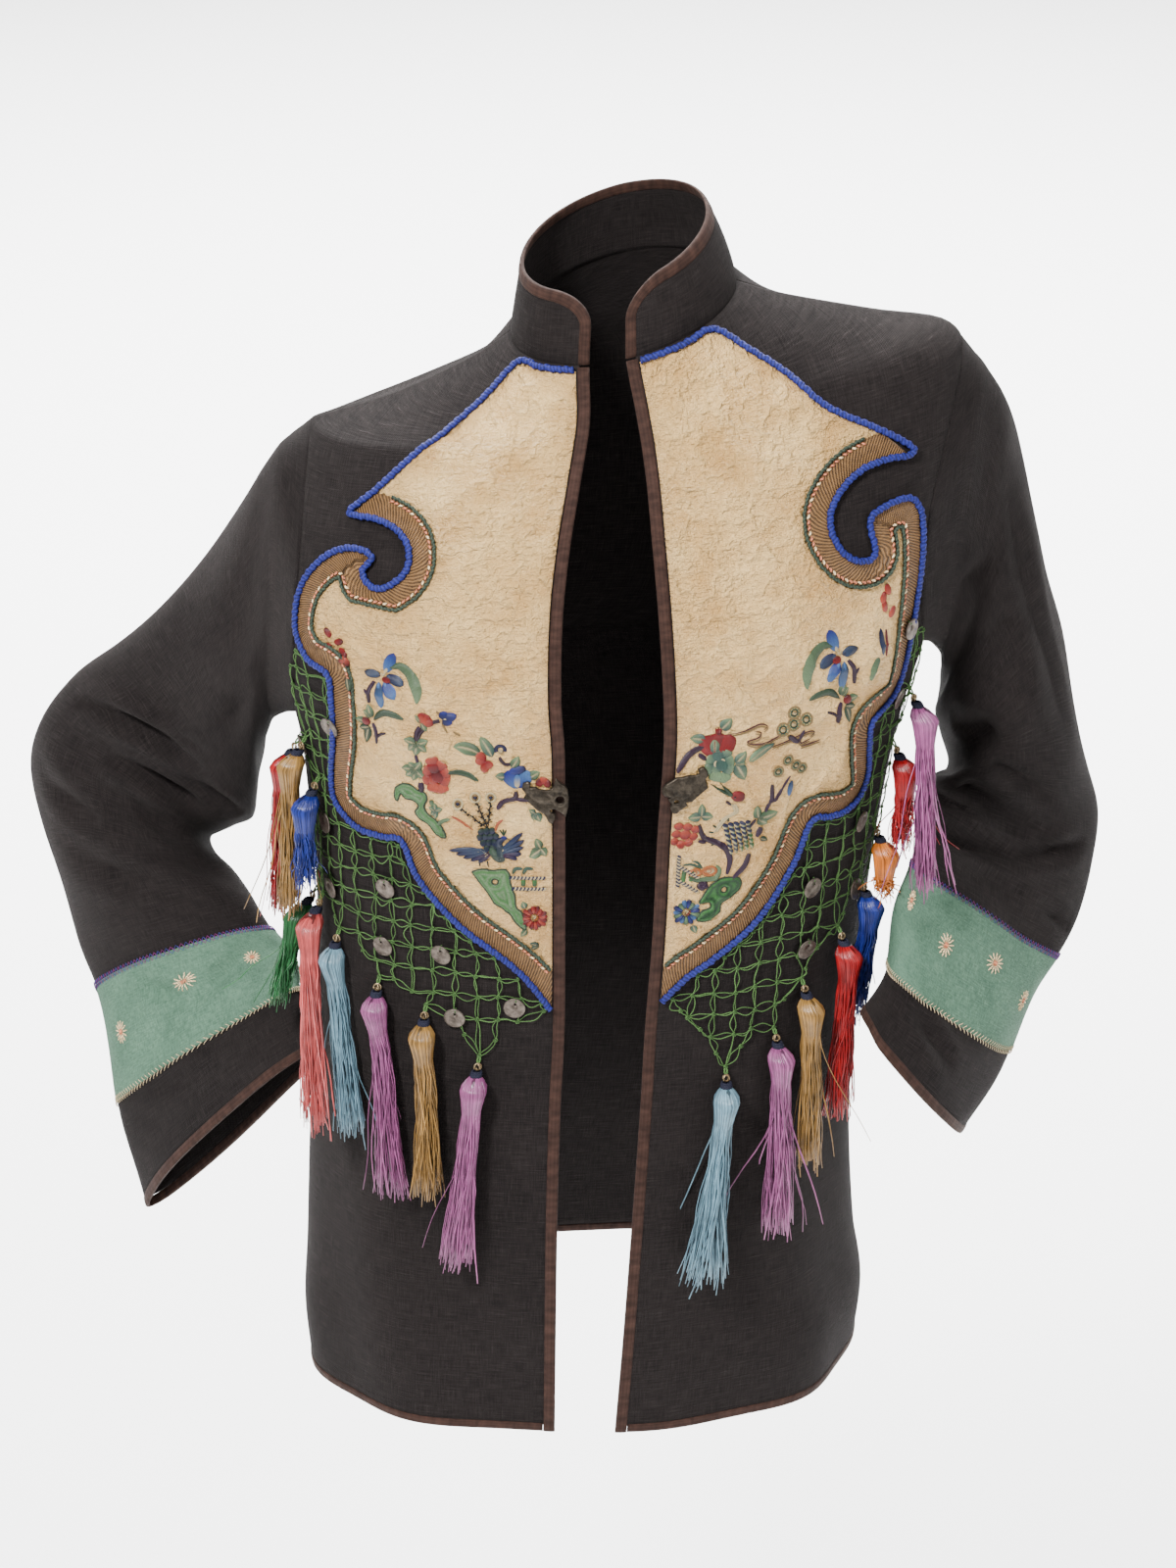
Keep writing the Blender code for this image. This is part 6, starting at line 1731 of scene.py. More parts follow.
linen = slub_linen()
for side, name in NAMES.items():
    sections, turns, _, _ = FORMS[side]
    rows = sections[(sections > BAND_SECTIONS[0] - 0.01) & (sections < BAND_SECTIONS[1] + 0.01)]
    section, turn = np.meshgrid(rows, np.degrees(turns), indexing="ij")
    points, ways = on_sleeve(side, section, turn, BAND_LIFT + LINEN)
    band = sheet_piece(f"linen_band_{name}", points, ways, LINEN, sleeve_chart(points, turns), loop=True)
    finished(band, linen, "linen", f"sleeve_band_{name}")
    finished(corded(f"band_stitches_{name}", band_stitches(side), 5), cord_thread, "cord")


# Clasps
# Two halves of dull cast metal, one sewn to each front at the waist: a leafy
# plate with scalloped edges, worn ribs and a pierced eye.
CLASP_OUTLINE = {
    RIGHT: (
        (5.3, 234.4), (2.1, 237.6), (-0.2, 239.0), (-1.5, 241.7), (-2.0, 246.7), (-1.8, 252.1),
        (-0.2, 259.0), (2.1, 256.2), (6.1, 253.5), (8.6, 254.0), (8.0, 255.8), (5.5, 256.7),
        (5.7, 260.3), (7.6, 263.5), (9.4, 262.1), (11.9, 256.7), (15.1, 254.9), (18.2, 251.7),
        (21.0, 249.0), (23.5, 246.5), (22.1, 244.0), (24.3, 240.8), (23.7, 237.1), (21.0, 236.0),
        (19.2, 237.1), (19.6, 239.7), (16.6, 239.4), (14.7, 240.8), (10.8, 241.7), (8.6, 241.2),
        (6.8, 239.4),
    ),
    LEFT: (
        (0.1, 243.7), (2.1, 240.9), (8.1, 237.5), (10.3, 237.7), (14.1, 236.8), (18.5, 237.0),
        (20.6, 236.1), (19.7, 233.6), (21.3, 232.4), (23.3, 232.4), (25.1, 234.5), (25.9, 237.7),
        (24.5, 239.6), (25.3, 241.9), (26.3, 245.1), (22.9, 248.1), (17.7, 253.4), (14.1, 253.4),
        (15.7, 255.7), (12.5, 257.5), (9.7, 260.3), (7.1, 259.8), (5.5, 256.1), (6.3, 253.8),
        (4.1, 251.1), (5.6, 249.7), (2.5, 248.8), (0.5, 246.9),
    ),
}
CLASP_EYE = {RIGHT: (3.0, 247.5, 2.4), LEFT: (8.9, 252.4, 1.3)}
CLASP_WALL = 0.0020

clasp_metal = dull_metal("clasp_metal", (0.010, 0.0078, 0.0055, 1), (0.075, 0.060, 0.044, 1), 0.45)
for side, name in NAMES.items():
    rim = spread(np.array(CLASP_OUTLINE[side] + CLASP_OUTLINE[side][:1], float), 0.5)[:-1]
    eye_x, eye_y, eye_radius = CLASP_EYE[side]
    places, faces = cut_shape(rim, 0.55, holes=(CLASP_EYE[side],))
    gap, _ = distance_to(np.vstack([rim, rim[:1]]), places)
    eye = np.hypot(places[:, 0] - eye_x, places[:, 1] - eye_y)
    round_edge = np.sqrt(np.clip(1 - (1 - np.minimum(gap, 1.2) / 1.2) ** 2, 0, 1))
    eye_ring = np.exp(-(((eye - eye_radius - 1.0) / 0.7) ** 2))
    fan = np.arctan2(places[:, 1] - eye_y, places[:, 0] - eye_x)
    ribs = np.abs(np.sin(4 * fan + 0.22 * eye)) ** 0.7 * np.clip((eye - eye_radius - 2.0) / 1.5, 0, 1)
    worn = rough(places[:, 0] * 1.3 + 20 * (side + 1), places[:, 1] * 1.3)
    high = 0.40 + 0.28 * round_edge + 0.22 * eye_ring + 0.34 * ribs * round_edge + 0.12 * worn
    foot = SATIN_TOP + 4 * SEAM
    top = foot + CLASP_WALL * high
    clasp = patch_piece(f"cast_clasp_{name}", side, places / 1000, faces, 0.0005, top, places / 1000, foot)
    finished(clasp, clasp_metal, "bronze", f"clasp_{name}")


# Embroidery
# Flowers, leaves, rocks and birds in flat silk over the satin. Each shape is a
# low cushion of parallel floss, laid along petals and slanting on leaves.
SILKS = {
    "navy": (0.0070, 0.0080, 0.0500), "royal": (0.0120, 0.0210, 0.2000), "sky": (0.0600, 0.1500, 0.3600),
    "steel": (0.0200, 0.0420, 0.0950), "slate": (0.0120, 0.0180, 0.0450), "red": (0.2200, 0.0045, 0.0060),
    "wine": (0.0900, 0.0035, 0.0050), "salmon": (0.4400, 0.0700, 0.0380), "orange": (0.4600, 0.1200, 0.0220),
    "purple": (0.0300, 0.0045, 0.0340), "plum": (0.0240, 0.0045, 0.0160), "leaf": (0.0400, 0.0800, 0.0380),
    "moss": (0.0180, 0.0380, 0.0180), "mist": (0.1700, 0.2600, 0.1300), "teal": (0.0330, 0.0850, 0.0650),
    "jade": (0.0480, 0.1900, 0.0380), "pine": (0.0100, 0.0480, 0.0150), "cream": (0.6400, 0.5000, 0.2600),
    "sand": (0.2600, 0.1600, 0.0550), "ink": (0.0060, 0.0060, 0.0080), "rust": (0.0900, 0.0260, 0.0170),
}
STITCH_LIFT = 0.00018
STITCH_RISE = 0.00105
PETAL_FULL, LINE_FULL = 1.30, 1.9  # stitches spread a little past their drawn shape


def stitched_silk():
    """Flat silk floss: fine parallel threads in their own colour, glossy along each thread."""
    finish = Finish("stitched_silk", 0.4, specular=0.3)
    across, along, _ = finish.chart()
    strands = finish.noise(finish.vector(across * 3800.0, along * 260.0), 1.0, 2.0)
    ridges = across.wave(0.00042)
    tint = finish.attribute("thread")
    colour = (strands * 0.8 + ridges * 0.35).step(0.25, 0.95).dyed(tint, 0.26, 0.85)
    bump = strands * 0.5 + ridges * 0.5
    return finish.set(base_color=colour, roughness=0.50 - strands * 0.18, bump=(bump, 0.00012))


def polar(x, y, reach, turn):
    """The place this far from (x, y) at a turn in radians."""
    return x + reach * math.cos(turn), y + reach * math.sin(turn)


class Needlework:
    """Stitched shapes of one front, gathered in millimetres: x to the viewer's right, y up."""

    def __init__(self, side):
        self.side = side
        self.spots, self.rises, self.tints, self.charts, self.faces = [], [], [], [], []
        self.origin, self.mirror, self.count = np.zeros(2), 1, 0

    def at(self, across, drop, mirror=1):
        """The next shapes are placed from this place on the front."""
        self.origin, self.mirror = np.array([across, drop], float), mirror
        return self

    def add(self, spots, rises, tints, chart, faces):
        x, y = spots[:, 0] * self.mirror, spots[:, 1]
        self.spots.append((self.origin + np.stack([self.side * x, -y], -1)) / 1000)
        self.rises.append(rises)
        self.tints.append(tints)
        self.charts.append(chart / 1000)
        self.faces.append(np.asarray(faces) + self.count)
        self.count += len(spots)

    def add_grid(self, spots, rises, tints, chart):
        grid = (spots.reshape(-1, 2), rises.ravel(), tints.reshape(-1, 3), chart.reshape(-1, 2))
        self.add(*grid, grid_faces(*spots.shape[:2]))

    def petal(self, x, y, angle, long, wide, root, tip=None, bend=0.0, blunt=0.5, sharp=0.9, vein=None,
              rise=1.0, layer=0.0):
        """A petal or leaf from its root: blunt and sharp shape its ends, bend turns its tip in degrees."""
        rows, columns = 11, 9
        t, s = np.linspace(0, 1, rows), np.linspace(-1, 1, columns)
        heading = np.radians(angle + bend * (t - 0.15))
        step = long / (rows - 1)
        spine = np.stack([x + np.concatenate([[0], np.cumsum(np.cos(heading[:-1]))]) * step,
                          y + np.concatenate([[0], np.cumsum(np.sin(heading[:-1]))]) * step], -1)
        normal = np.stack([-np.sin(heading), np.cos(heading)], -1)
        peak = blunt / (blunt + sharp)
        half = PETAL_FULL * wide / 2 * (t**blunt * (1 - t) ** sharp) / (peak**blunt * (1 - peak) ** sharp)
        half = np.maximum(half, 0.12)
        spots = spine[:, None] + normal[:, None] * (half[:, None] * s[None])[..., None]
        one, two = np.array(SILKS[root]), np.array(SILKS[tip or root])
        mix = np.clip(t * 1.3 - 0.2, 0, 1)[:, None] ** 1.2 * np.ones(columns)[None]
        tint = one + (two - one) * mix[..., None]
        # Painted light: one half of each petal is made lighter and the other darker, as if lit from one side.
        tint = tint * (1 + 0.16 * s)[None, :, None]
        dome = np.sqrt(np.maximum(1 - s**2, 0))[None] * np.sqrt(np.clip(half / max(half.max(), 1e-6), 0, 1))[:, None]
        if vein:
            middle = np.exp(-((s / 0.16) ** 2))[None] * (t < 0.9)[:, None]
            dome = dome * (1 - 0.55 * middle)
            tint = tint + (np.array(SILKS[vein]) - tint) * (0.85 * middle)[..., None]
            chart = np.stack(np.broadcast_arrays((t * long)[:, None] + np.abs(s)[None] * wide * 0.35,
                                                 s[None] * wide), -1)
        else:
            chart = np.stack(np.broadcast_arrays(s[None] * wide / 2 + 0 * t[:, None], (t * long)[:, None]), -1)
        self.add_grid(spots, STITCH_LIFT + layer / 1000 + STITCH_RISE * rise * dome, tint, chart)

    def line(self, points, wide, root, tip=None, taper=0.3, layer=0.0, closed=False):
        """A stitched line through points, narrowing to a share of its width at its ends."""
        path = curve(np.array(points, float), 0.5) if len(points) > 2 else spread(np.array(points, float), 0.5)
        t = np.linspace(0, 1, len(path))
        along = unit(np.gradient(path, axis=0))
        normal = np.stack([-along[:, 1], along[:, 0]], -1)
        s = np.linspace(-1, 1, 5)
        half = LINE_FULL * wide / 2 * (1 - (1 - taper) * np.abs(2 * t - 1) ** 3)
        if closed:
            half = np.full(len(path), LINE_FULL * wide / 2)
        spots = path[:, None] + normal[:, None] * (half[:, None] * s[None])[..., None]
        one, two = np.array(SILKS[root]), np.array(SILKS[tip or root])
        tint = one + (two - one) * t[:, None, None] + 0 * s[None, :, None]
        dome = np.sqrt(np.maximum(1 - s**2, 0))[None] + 0 * t[:, None]
        run = travelled(path)
        chart = np.stack(np.broadcast_arrays(run[:, None] + s[None] * wide * 0.4, s[None] * wide), -1)
        self.add_grid(spots, STITCH_LIFT + layer / 1000 + min(STITCH_RISE, wide * 0.00050) * dome, tint, chart)

    def ring(self, x, y, radius, wide, silk, squash=1.0, layer=0.0, part=(0, 360)):
        turn = np.radians(np.linspace(*part, max(6, int(radius * 8))))
        path = np.stack([x + radius * np.cos(turn), y + radius * squash * np.sin(turn)], -1)
        self.line(path, wide, silk, layer=layer, closed=True)

    def dot(self, x, y, across, silk, tip=None, high=1.0, layer=0.0, tall=1.0):
        """A round patch of stitches."""
        self.petal(x, y - across * tall / 2, 90, across * tall, across, silk, tip, blunt=0.5, sharp=0.5, rise=high,
                   layer=layer)

    def fill(self, outline, silk, other, holes=(), bands=2.6):
        """A patch inside an outline, in bands of two silks that follow its edge."""
        border = curve(np.array(outline + (outline[0],), float), 0.8)[:-1]
        places, faces = cut_shape(border, 0.9, holes=holes)
        gap, along = distance_to(np.vstack([border, border[:1]]), places)
        for x, y, radius in holes:
            gap = np.minimum(gap, np.abs(np.hypot(places[:, 0] - x, places[:, 1] - y) - radius))
        band = 0.5 + 0.5 * np.sin(gap / bands * 2 * math.pi + 2.0 * rough(places[:, 0] / 3, places[:, 1] / 3))
        tint = np.array(SILKS[silk]) + (np.array(SILKS[other]) - np.array(SILKS[silk])) * band[:, None]
        dome = np.clip(gap / 0.8, 0, 1) ** 0.5 * (0.8 + 0.2 * band)
        self.add(places, STITCH_LIFT + STITCH_RISE * dome, tint, np.stack([along, gap * 2], -1),
                 faces_as_quads(faces))
        self.line(np.vstack([border, border[:1]]), 0.55, "moss", closed=True, layer=0.25)
        for x, y, radius in holes:
            self.ring(x, y, radius, 0.55, "moss", layer=0.25)

    def piece(self, name):
        spots, rises = clear_of_binding(np.concatenate(self.spots)), np.concatenate(self.rises)
        points, ways = on_satin(self.side, spots[:, 0], spots[:, 1], rises)
        faces = [tuple(dict.fromkeys(f)) for group in self.faces for f in group.tolist()]
        mesh = bpy.data.meshes.new(name)
        mesh.from_pydata(points, [], faces)
        face_ways = np.array([f[:3] for f in faces])
        a, b, c = (points[face_ways[:, n]] for n in range(3))
        wrong = np.sum(np.cross(b - a, c - a) * ways[face_ways[:, 0]], axis=1) < 0
        shaped = bmesh.new()
        shaped.from_mesh(mesh)
        shaped.faces.ensure_lookup_table()
        bmesh.ops.reverse_faces(shaped, faces=[shaped.faces[k] for k in np.nonzero(wrong)[0]])
        shaped.to_mesh(mesh)
        shaped.free()
        charted(mesh, np.concatenate(self.charts)[corner_numbers(mesh)])
        tinted(mesh, np.concatenate(self.tints))
        return linked(mesh)


def faces_as_quads(faces):
    """Triangles written with their last corner twice, so that they stack with four-cornered faces."""
    return np.concatenate([faces, faces[:, 2:]], axis=1)


# Motifs. Each is drawn round its own origin in millimetres; angles run in
# degrees from the viewer's right, anticlockwise.
def leaf_group(work, x, y, leaves, silk="leaf", tip="mist"):
    """Veined leaves round one point: rows of angle, length and width."""
    for angle, long, wide in leaves:
        work.petal(x, y, angle, long, wide, silk, tip, bend=12 if angle % 40 < 20 else -12, blunt=0.6, sharp=0.9,
                   vein="cream")


def orchid(work):
    """A five-petalled blue orchid with a red heart, a long arched leaf and a forked stalk."""
    for x, y, angle, long, wide, root, tip in (
        (1.5, 3.0, 69, 14.5, 5.6, "sky", "royal"), (-1.5, 0.8, 168, 10.0, 4.4, "steel", "slate"),
        (2.4, 1.6, -27, 12.0, 5.4, "navy", "steel"), (0.5, -3.0, -54, 12.6, 5.4, "royal", "sky"),
        (-2.4, -3.2, -88, 17.0, 4.6, "steel", "sky"),
    ):
        work.petal(x, y, angle, long, wide, root, tip, blunt=0.65, sharp=0.6)
        work.petal(x, y, angle, long * 0.62, wide * 0.38, "cream" if tip == "royal" else tip, root, rise=0.5,
                   layer=0.42)
    work.dot(2.4, -1.4, 4.6, "red", "wine", layer=0.3)
    work.line(((-1.5, 2.8), (0.2, 1.2), (1.2, 3.6)), 0.7, "cream")
    work.line(((4.6, 6.6), (10.5, 8.2), (17.0, 3.4), (20.6, -5.5), (20.6, -15.0)), 3.4, "leaf", "mist", taper=0.12)
    work.line(((5.6, 6.9), (11.0, 7.9), (16.2, 3.2), (19.6, -5.5)), 0.5, "cream", layer=0.3)
    work.line(((-5.0, -2.8), (-8.6, -9.0), (-9.4, -17.5)), 1.5, "purple", "plum", taper=0.6)
    work.line(((-11.6, -8.6), (-9.4, -13.0)), 1.0, "purple")


def bud_sprig(work):
    """A red bud between grey-green leaves on a forked purple stalk."""
    leaf_group(work, -1.0, 4.0, ((96, 8.6, 4.0), (133, 6.0, 3.2)))
    leaf_group(work, -4.0, 1.0, ((170, 7.5, 3.8),))
    leaf_group(work, -3.0, -2.0, ((196, 7.2, 3.8), (248, 11.5, 4.2)), "moss", "leaf")
    work.dot(-4.6, 1.4, 4.4, "red", "wine", tall=1.2, layer=0.2)
    work.line(((0.8, 3.0), (6.5, 7.6), (13.0, 7.8), (20.0, 5.6)), 2.3, "moss", "leaf", taper=0.1)
    work.line(((-0.4, 0.6), (1.2, -4.5), (1.2, -11.5)), 1.6, "purple", "plum", taper=0.5)
    work.line(((1.4, -8.5), (4.6, -5.2), (8.6, -3.8)), 0.9, "plum", taper=0.4)


def peony(work, silks=("wine", "red", "salmon")):
    """A full flower of rounded petals, dark in its heart and pale at its lower edge."""
    for x, y, angle, size, shade in (
        (-2.0, 8.6, 105, 6.4, 1), (2.6, 6.0, 60, 6.4, 1), (4.8, 1.4, 20, 6.2, 1), (-4.8, 2.6, 160, 6.2, 1),
        (-5.4, -3.0, 195, 6.0, 1), (4.6, -3.6, -20, 6.4, 1), (-1.6, -7.6, 255, 6.8, 2), (3.0, -8.2, 290, 6.2, 2),
        (-1.4, 4.4, 95, 6.8, 0), (1.0, -1.0, 250, 7.2, 0), (-2.0, -3.2, 220, 6.0, 1),
    ):
        root, tip = silks[shade], silks[min(shade + 1, 2)]
        start = polar(x, y, size / 2, math.radians(angle + 180))
        work.petal(*start, angle, size, size * 0.92, root, tip, blunt=0.45, sharp=0.28,
                   layer=0.25 if shade == 0 else 0.0)
        work.ring(x, y, size * 0.44, 0.35, "cream", part=(angle - 70, angle + 70), layer=0.42)


def vine(work):
    """A climbing stem with two lobed leaf groups, a red bud and a blue cap on a dark twig."""
    for angle in (10, 50, 88):
        work.petal(-2.0, 0.0, angle, 6.6, 4.2, "salmon", "red", blunt=0.5, sharp=0.4)
    leaf_group(work, -2.6, 0.4, ((128, 5.4, 2.6), (-60, 5.6, 3.0)))
    work.line(((3.4, 0.6), (8.0, 1.8)), 1.3, "plum", taper=0.9)
    for angle, long in ((18, 8.8), (62, 5.6), (-22, 6.0)):
        work.petal(9.4, 2.6, angle, long, 4.8, "navy", "royal", blunt=0.4, sharp=0.6)
    work.petal(10.0, 2.6, 20, 5.2, 2.6, "cream", rise=0.6, layer=0.4)
    for start, end in (((8.8, 4.0), (6.6, 8.0)), ((9.0, 0.4), (11.6, -5.6)), ((15.0, -4.6), (18.6, -7.4))):
        work.line((start, end), 0.7, "sand")
    work.line(((-3.4, -2.0), (-6.0, -6.0), (-6.4, -10.0)), 1.5, "purple", "plum", taper=0.7)
    work.line(((0.2, -2.4), (-3.6, -6.0), (-5.6, -10.4)), 1.1, "plum", taper=0.7)
    leaf_group(work, -6.2, -12.0, ((160, 7.6, 4.0), (218, 7.4, 4.2), (262, 8.0, 4.4), (318, 7.4, 4.2),
                                   (12, 7.0, 3.8)))
    work.line(((-7.4, -19.5), (-6.6, -25.0)), 1.2, "purple", taper=0.7)
    leaf_group(work, -8.6, -29.0, ((176, 8.2, 4.4), (222, 7.6, 4.4), (264, 7.6, 4.4), (315, 8.2, 4.6),
                                   (48, 6.8, 4.2), (128, 5.6, 4.0)))
    work.line(((-5.4, -37.0), (-5.0, -43.5)), 2.0, "purple", "plum", taper=0.5)


def garden_rock(work):
    """A pierced garden rock, leaning, in two greens."""
    work.fill(
        ((-8.5, 6.0), (-3.5, 9.5), (2.0, 9.0), (5.5, 6.5), (9.8, 5.0), (11.0, 1.0), (9.2, -4.0), (11.6, -9.0),
         (16.5, -12.0),
         (20.0, -17.0), (21.5, -24.0), (16.0, -20.5), (11.0, -15.0), (6.5, -12.5), (4.0, -8.0), (6.0, -4.0),
         (3.0, -0.5),
         (-2.0, 0.5), (-5.0, 3.0), (-6.5, -1.5), (-8.8, 1.5)),
        "jade", "mist",
    )


def pierced_rock(work):
    """A tapering rock with one round hole."""
    work.fill(
        ((-14.5, 6.5), (-9.0, 8.4), (-2.0, 8.0), (4.5, 8.8), (7.0, 6.0), (7.6, 0.0), (10.0, -7.5), (11.0, -15.0),
         (14.6, -19.5),
         (16.5, -29.5), (11.0, -25.0), (7.6, -19.5), (3.0, -15.5), (-1.5, -12.5), (-5.5, -6.5), (-10.5, 0.5)),
        "jade", "mist", holes=((-1.2, 0.6, 1.9),),
    )
    for x in (9.0, 15.0):
        work.line(((x, 6.0), (x + 1.8, 9.6), (x + 5.8, 9.4)), 1.2, "leaf", "teal", taper=0.1)


def rope(work, start, end, silks=("navy", "cream"), thick=1.9, pitch=2.1):
    """A twisted rope in slanting stitches of two silks."""
    start, end = np.array(start, float), np.array(end, float)
    way = end - start
    size = float(np.hypot(*way))
    way = way / size
    angle = math.degrees(math.atan2(way[1], way[0]))
    for n in range(int(size / pitch * 2)):
        spot = start + way * (n * pitch / 2)
        work.petal(spot[0], spot[1] - thick / 2, angle + 48, thick * 1.35, pitch * 0.62, silks[n % 2], blunt=0.35,
                   sharp=0.35, rise=0.8)


def daisy(work, reach, count, silks, heart):
    """A many-petalled flower: narrow petals in turn from a list of silks, round a knotted heart."""
    for n in range(count):
        angle = 360 * n / count + 7
        a = math.radians(angle)
        long = reach * (0.66 + 0.08 * math.sin(2.3 * n))
        start = polar(0.0, 0.0, reach * 0.26, a)
        work.petal(*start, angle, long, reach * 0.26, *silks[n % len(silks)], blunt=0.8, sharp=0.35)
    for n in range(9):
        a = n * 2.4
        spot = polar(0.0, 0.0, reach * 0.07 * math.sqrt(n), a)
        work.dot(*spot, reach * 0.13, heart[n % len(heart)], layer=0.35)


def peacock(work):
    """A peacock with spread wings: barred quills, scaled back, and three eyed tail feathers."""
    for n, angle in enumerate((-170, -163, -155, -146, -136)):
        a = math.radians(angle)
        quill, root = "purple" if n > 2 else "steel", (-4.6 + n, -2.0 - 0.7 * n)
        work.petal(-3.0 + 1.0 * n, -1.6 - 0.7 * n, angle, 21 - 2.6 * n, 2.6, quill, "navy", bend=-8, blunt=0.7,
                   sharp=0.5)
        work.line((root, polar(*root, 9, a)), 0.6, "cream", layer=0.4)
    for n, angle in enumerate((40, 26, 12, -4, -22)):
        a = math.radians(angle)
        quill, root = "purple" if n > 2 else "steel", (6.6 + 0.4 * n, -3.0 - 0.3 * n)
        work.petal(5.6 + 0.4 * n, -3.4 - 0.3 * n, angle, 18 - 2.2 * n, 2.5, quill, "navy", bend=10, blunt=0.7,
                   sharp=0.5)
        work.line((root, polar(*root, 7, a)), 0.6, "cream", layer=0.4)
    for row, (count, y) in enumerate(((3, 9.6), (4, 6.0), (3, 2.4), (2, -1.0))):
        for n in range(count):
            x = -1.4 + 1.0 * row * 0.6 + (n - (count - 1) / 2) * 3.0
            work.petal(x, y - 2.2, 95, 4.4, 3.0, "navy", "moss", blunt=0.35, sharp=0.4)
            work.ring(x, y - 0.6, 1.4, 0.32, "cream", part=(10, 170), layer=0.42)
    work.line(((1.0, -0.5), (3.6, -7.0), (6.4, -8.0), (6.0, -3.0), (5.0, 1.6), (7.6, 4.6)), 2.6, "leaf", "navy",
              taper=0.6, layer=0.3)
    work.dot(8.2, 5.2, 2.8, "navy", "royal", layer=0.4)
    work.line(((9.4, 5.0), (11.6, 4.2)), 0.7, "sand")
    for angle in (70, 95, 120):
        work.line(((8.0, 6.4), polar(8.0, 6.4, 4.6, math.radians(angle))), 0.5, "pine")
    for tip_x, tip_y in ((-18.0, 27.0), (-8.0, 31.5), (1.0, 32.0)):
        root = np.array((-1.0, 11.0))
        way = np.array((tip_x, tip_y)) - root
        long = float(np.hypot(*way))
        side = np.array((-way[1], way[0])) / long
        work.line((root, root + way), 0.5, "ink")
        for n in range(7):
            spot = root + way * (0.18 + 0.11 * n)
            for lean in (-1, 1):
                work.line((spot, spot + side * lean * 2.3 + way / long * 1.2), 0.38, "cream" if n % 2 else "sand")
            work.dot(*(spot + side * 0.6 * (-1) ** n), 1.1, "ink", layer=0.3)
        work.ring(tip_x, tip_y, 2.6, 0.7, "cream", squash=1.15)
        work.ring(tip_x, tip_y, 1.7, 0.45, "sand", squash=1.1)
        work.dot(tip_x, tip_y, 1.9, "ink", "navy")
    for path in (((-9.5, 10.5), (-14.0, 13.5), (-21.5, 18.5)), ((3.0, 9.0), (4.6, 14.0), (7.6, 17.0))):
        work.line(path, 0.9, "orange", "salmon")
    for x in (-6.4, -1.6):
        work.line(((x, -9.8), (x + 0.6, -14.0)), 0.5, "ink")


def crane(work):
    """A crane with a red crown, a long pale neck and barred feathers."""
    for angle, long in ((146, 16.5), (130, 13.0)):
        work.petal(-1.4, 0.2, angle, long, 1.7, "pine", "moss", blunt=0.4, sharp=1.0)
    work.petal(-2.6, 2.0, -22, 8.2, 5.2, "red", "wine", blunt=0.45, sharp=0.4)
    work.ring(-0.6, 0.2, 1.2, 0.5, "cream", layer=0.35)
    work.dot(-0.6, 0.2, 1.2, "ink", layer=0.4)
    for shift in (0.0, 1.5):
        work.line(((-1.6 + shift, -4.6), (0.4 + shift, -10.0), (-5.5 + shift, -14.0), (-10.6 + shift, -22.0)), 0.9,
                  "cream", taper=0.7)
    work.line(((-5.4, -2.0), (-2.2, -5.4)), 1.0, "plum")
    for row in range(6):
        for n in range(5):
            x, y = -6.0 + 3.1 * n + 0.9 * row, -17.5 - 3.0 * row + 0.5 * n
            low = row + n > 6
            work.petal(x, y, -28 - 6 * row, 4.0, 1.9, "pine" if low else "navy", "jade" if low else "slate",
                       blunt=0.5, sharp=0.5)
            work.petal(x, y - 1.3, -28 - 6 * row, 3.8, 1.3, "cream", "mist", blunt=0.5, sharp=0.5)
    for n in range(6):
        a = math.radians(215 - 24 * n)
        work.line(((-2.0 + 9 * math.cos(a), -24.0 + 8 * math.sin(a)),
                   (-2.0 + 12 * math.cos(a), -24.0 + 11 * math.sin(a))), 0.6, "moss")


def coin_flower(work, x, y, radius):
    """A round flower like a pierced coin: rings and spokes in pale silk."""
    work.ring(x, y, radius, 0.6, "sand")
    work.ring(x, y, radius * 0.55, 0.5, "moss")
    for n in range(10):
        a = 2 * math.pi * n / 10
        work.line((polar(x, y, radius * 0.6, a), polar(x, y, radius * 0.92, a)), 0.5, "mist")
    work.dot(x, y, radius * 0.6, "cream", "sand")


def pomegranate(work):
    """A ripe red fruit with its crown, and a small leaf laid over it."""
    for angle, long, wide, root in ((130, 13.5, 9.0, "red"), (50, 13.5, 9.0, "red"), (90, 13.0, 8.0, "wine")):
        work.petal(0.0, -6.6, angle, long, wide, root, "red", blunt=0.4, sharp=0.4,
                   bend=-30 if angle == 130 else 30 if angle == 50 else 0)
    for angle in (65, 90, 115):
        work.petal(0.4, 5.0, angle, 4.0, 1.7, "wine", "red", blunt=0.4, sharp=0.8)
    work.petal(-1.4, -6.0, 92, 8.6, 5.4, "teal", "mist", blunt=0.6, sharp=0.7, vein="cream", layer=0.4)


def cloud_line(work, points, silk="rust"):
    """A cloud scroll: two fine outlines side by side."""
    for lift, tint in ((0.0, silk), (1.3, "sand")):
        work.line([(x, y - lift) for x, y in points], 0.55, tint)


def butterfly(work):
    """A butterfly with ringed orange wings and pale green edges."""
    for x, y, size in ((-5.4, 0.4, 3.0), (2.6, 1.0, 3.6)):
        work.dot(x, y, size * 1.9, "cream", "sand", high=0.5, tall=0.8)
        work.ring(x, y, size, 1.0, "orange", squash=0.72, layer=0.2)
        work.ring(x - 0.6, y, size * 0.45, 0.6, "orange", squash=0.8, layer=0.3)
    work.line(((-9.4, -1.6), (-5.0, -4.4), (0.5, -4.4), (6.4, -4.0), (8.4, 1.0), (6.0, 4.2)), 1.7, "leaf", "mist",
              taper=0.3)
    for end in ((-13.0, 5.6), (-7.5, 8.0)):
        work.line(((-1.6, 3.0), ((end[0] - 1.6) / 2, (end[1] + 3.0) / 2 + 1.4), end), 0.8, "leaf", "teal", taper=0.1)


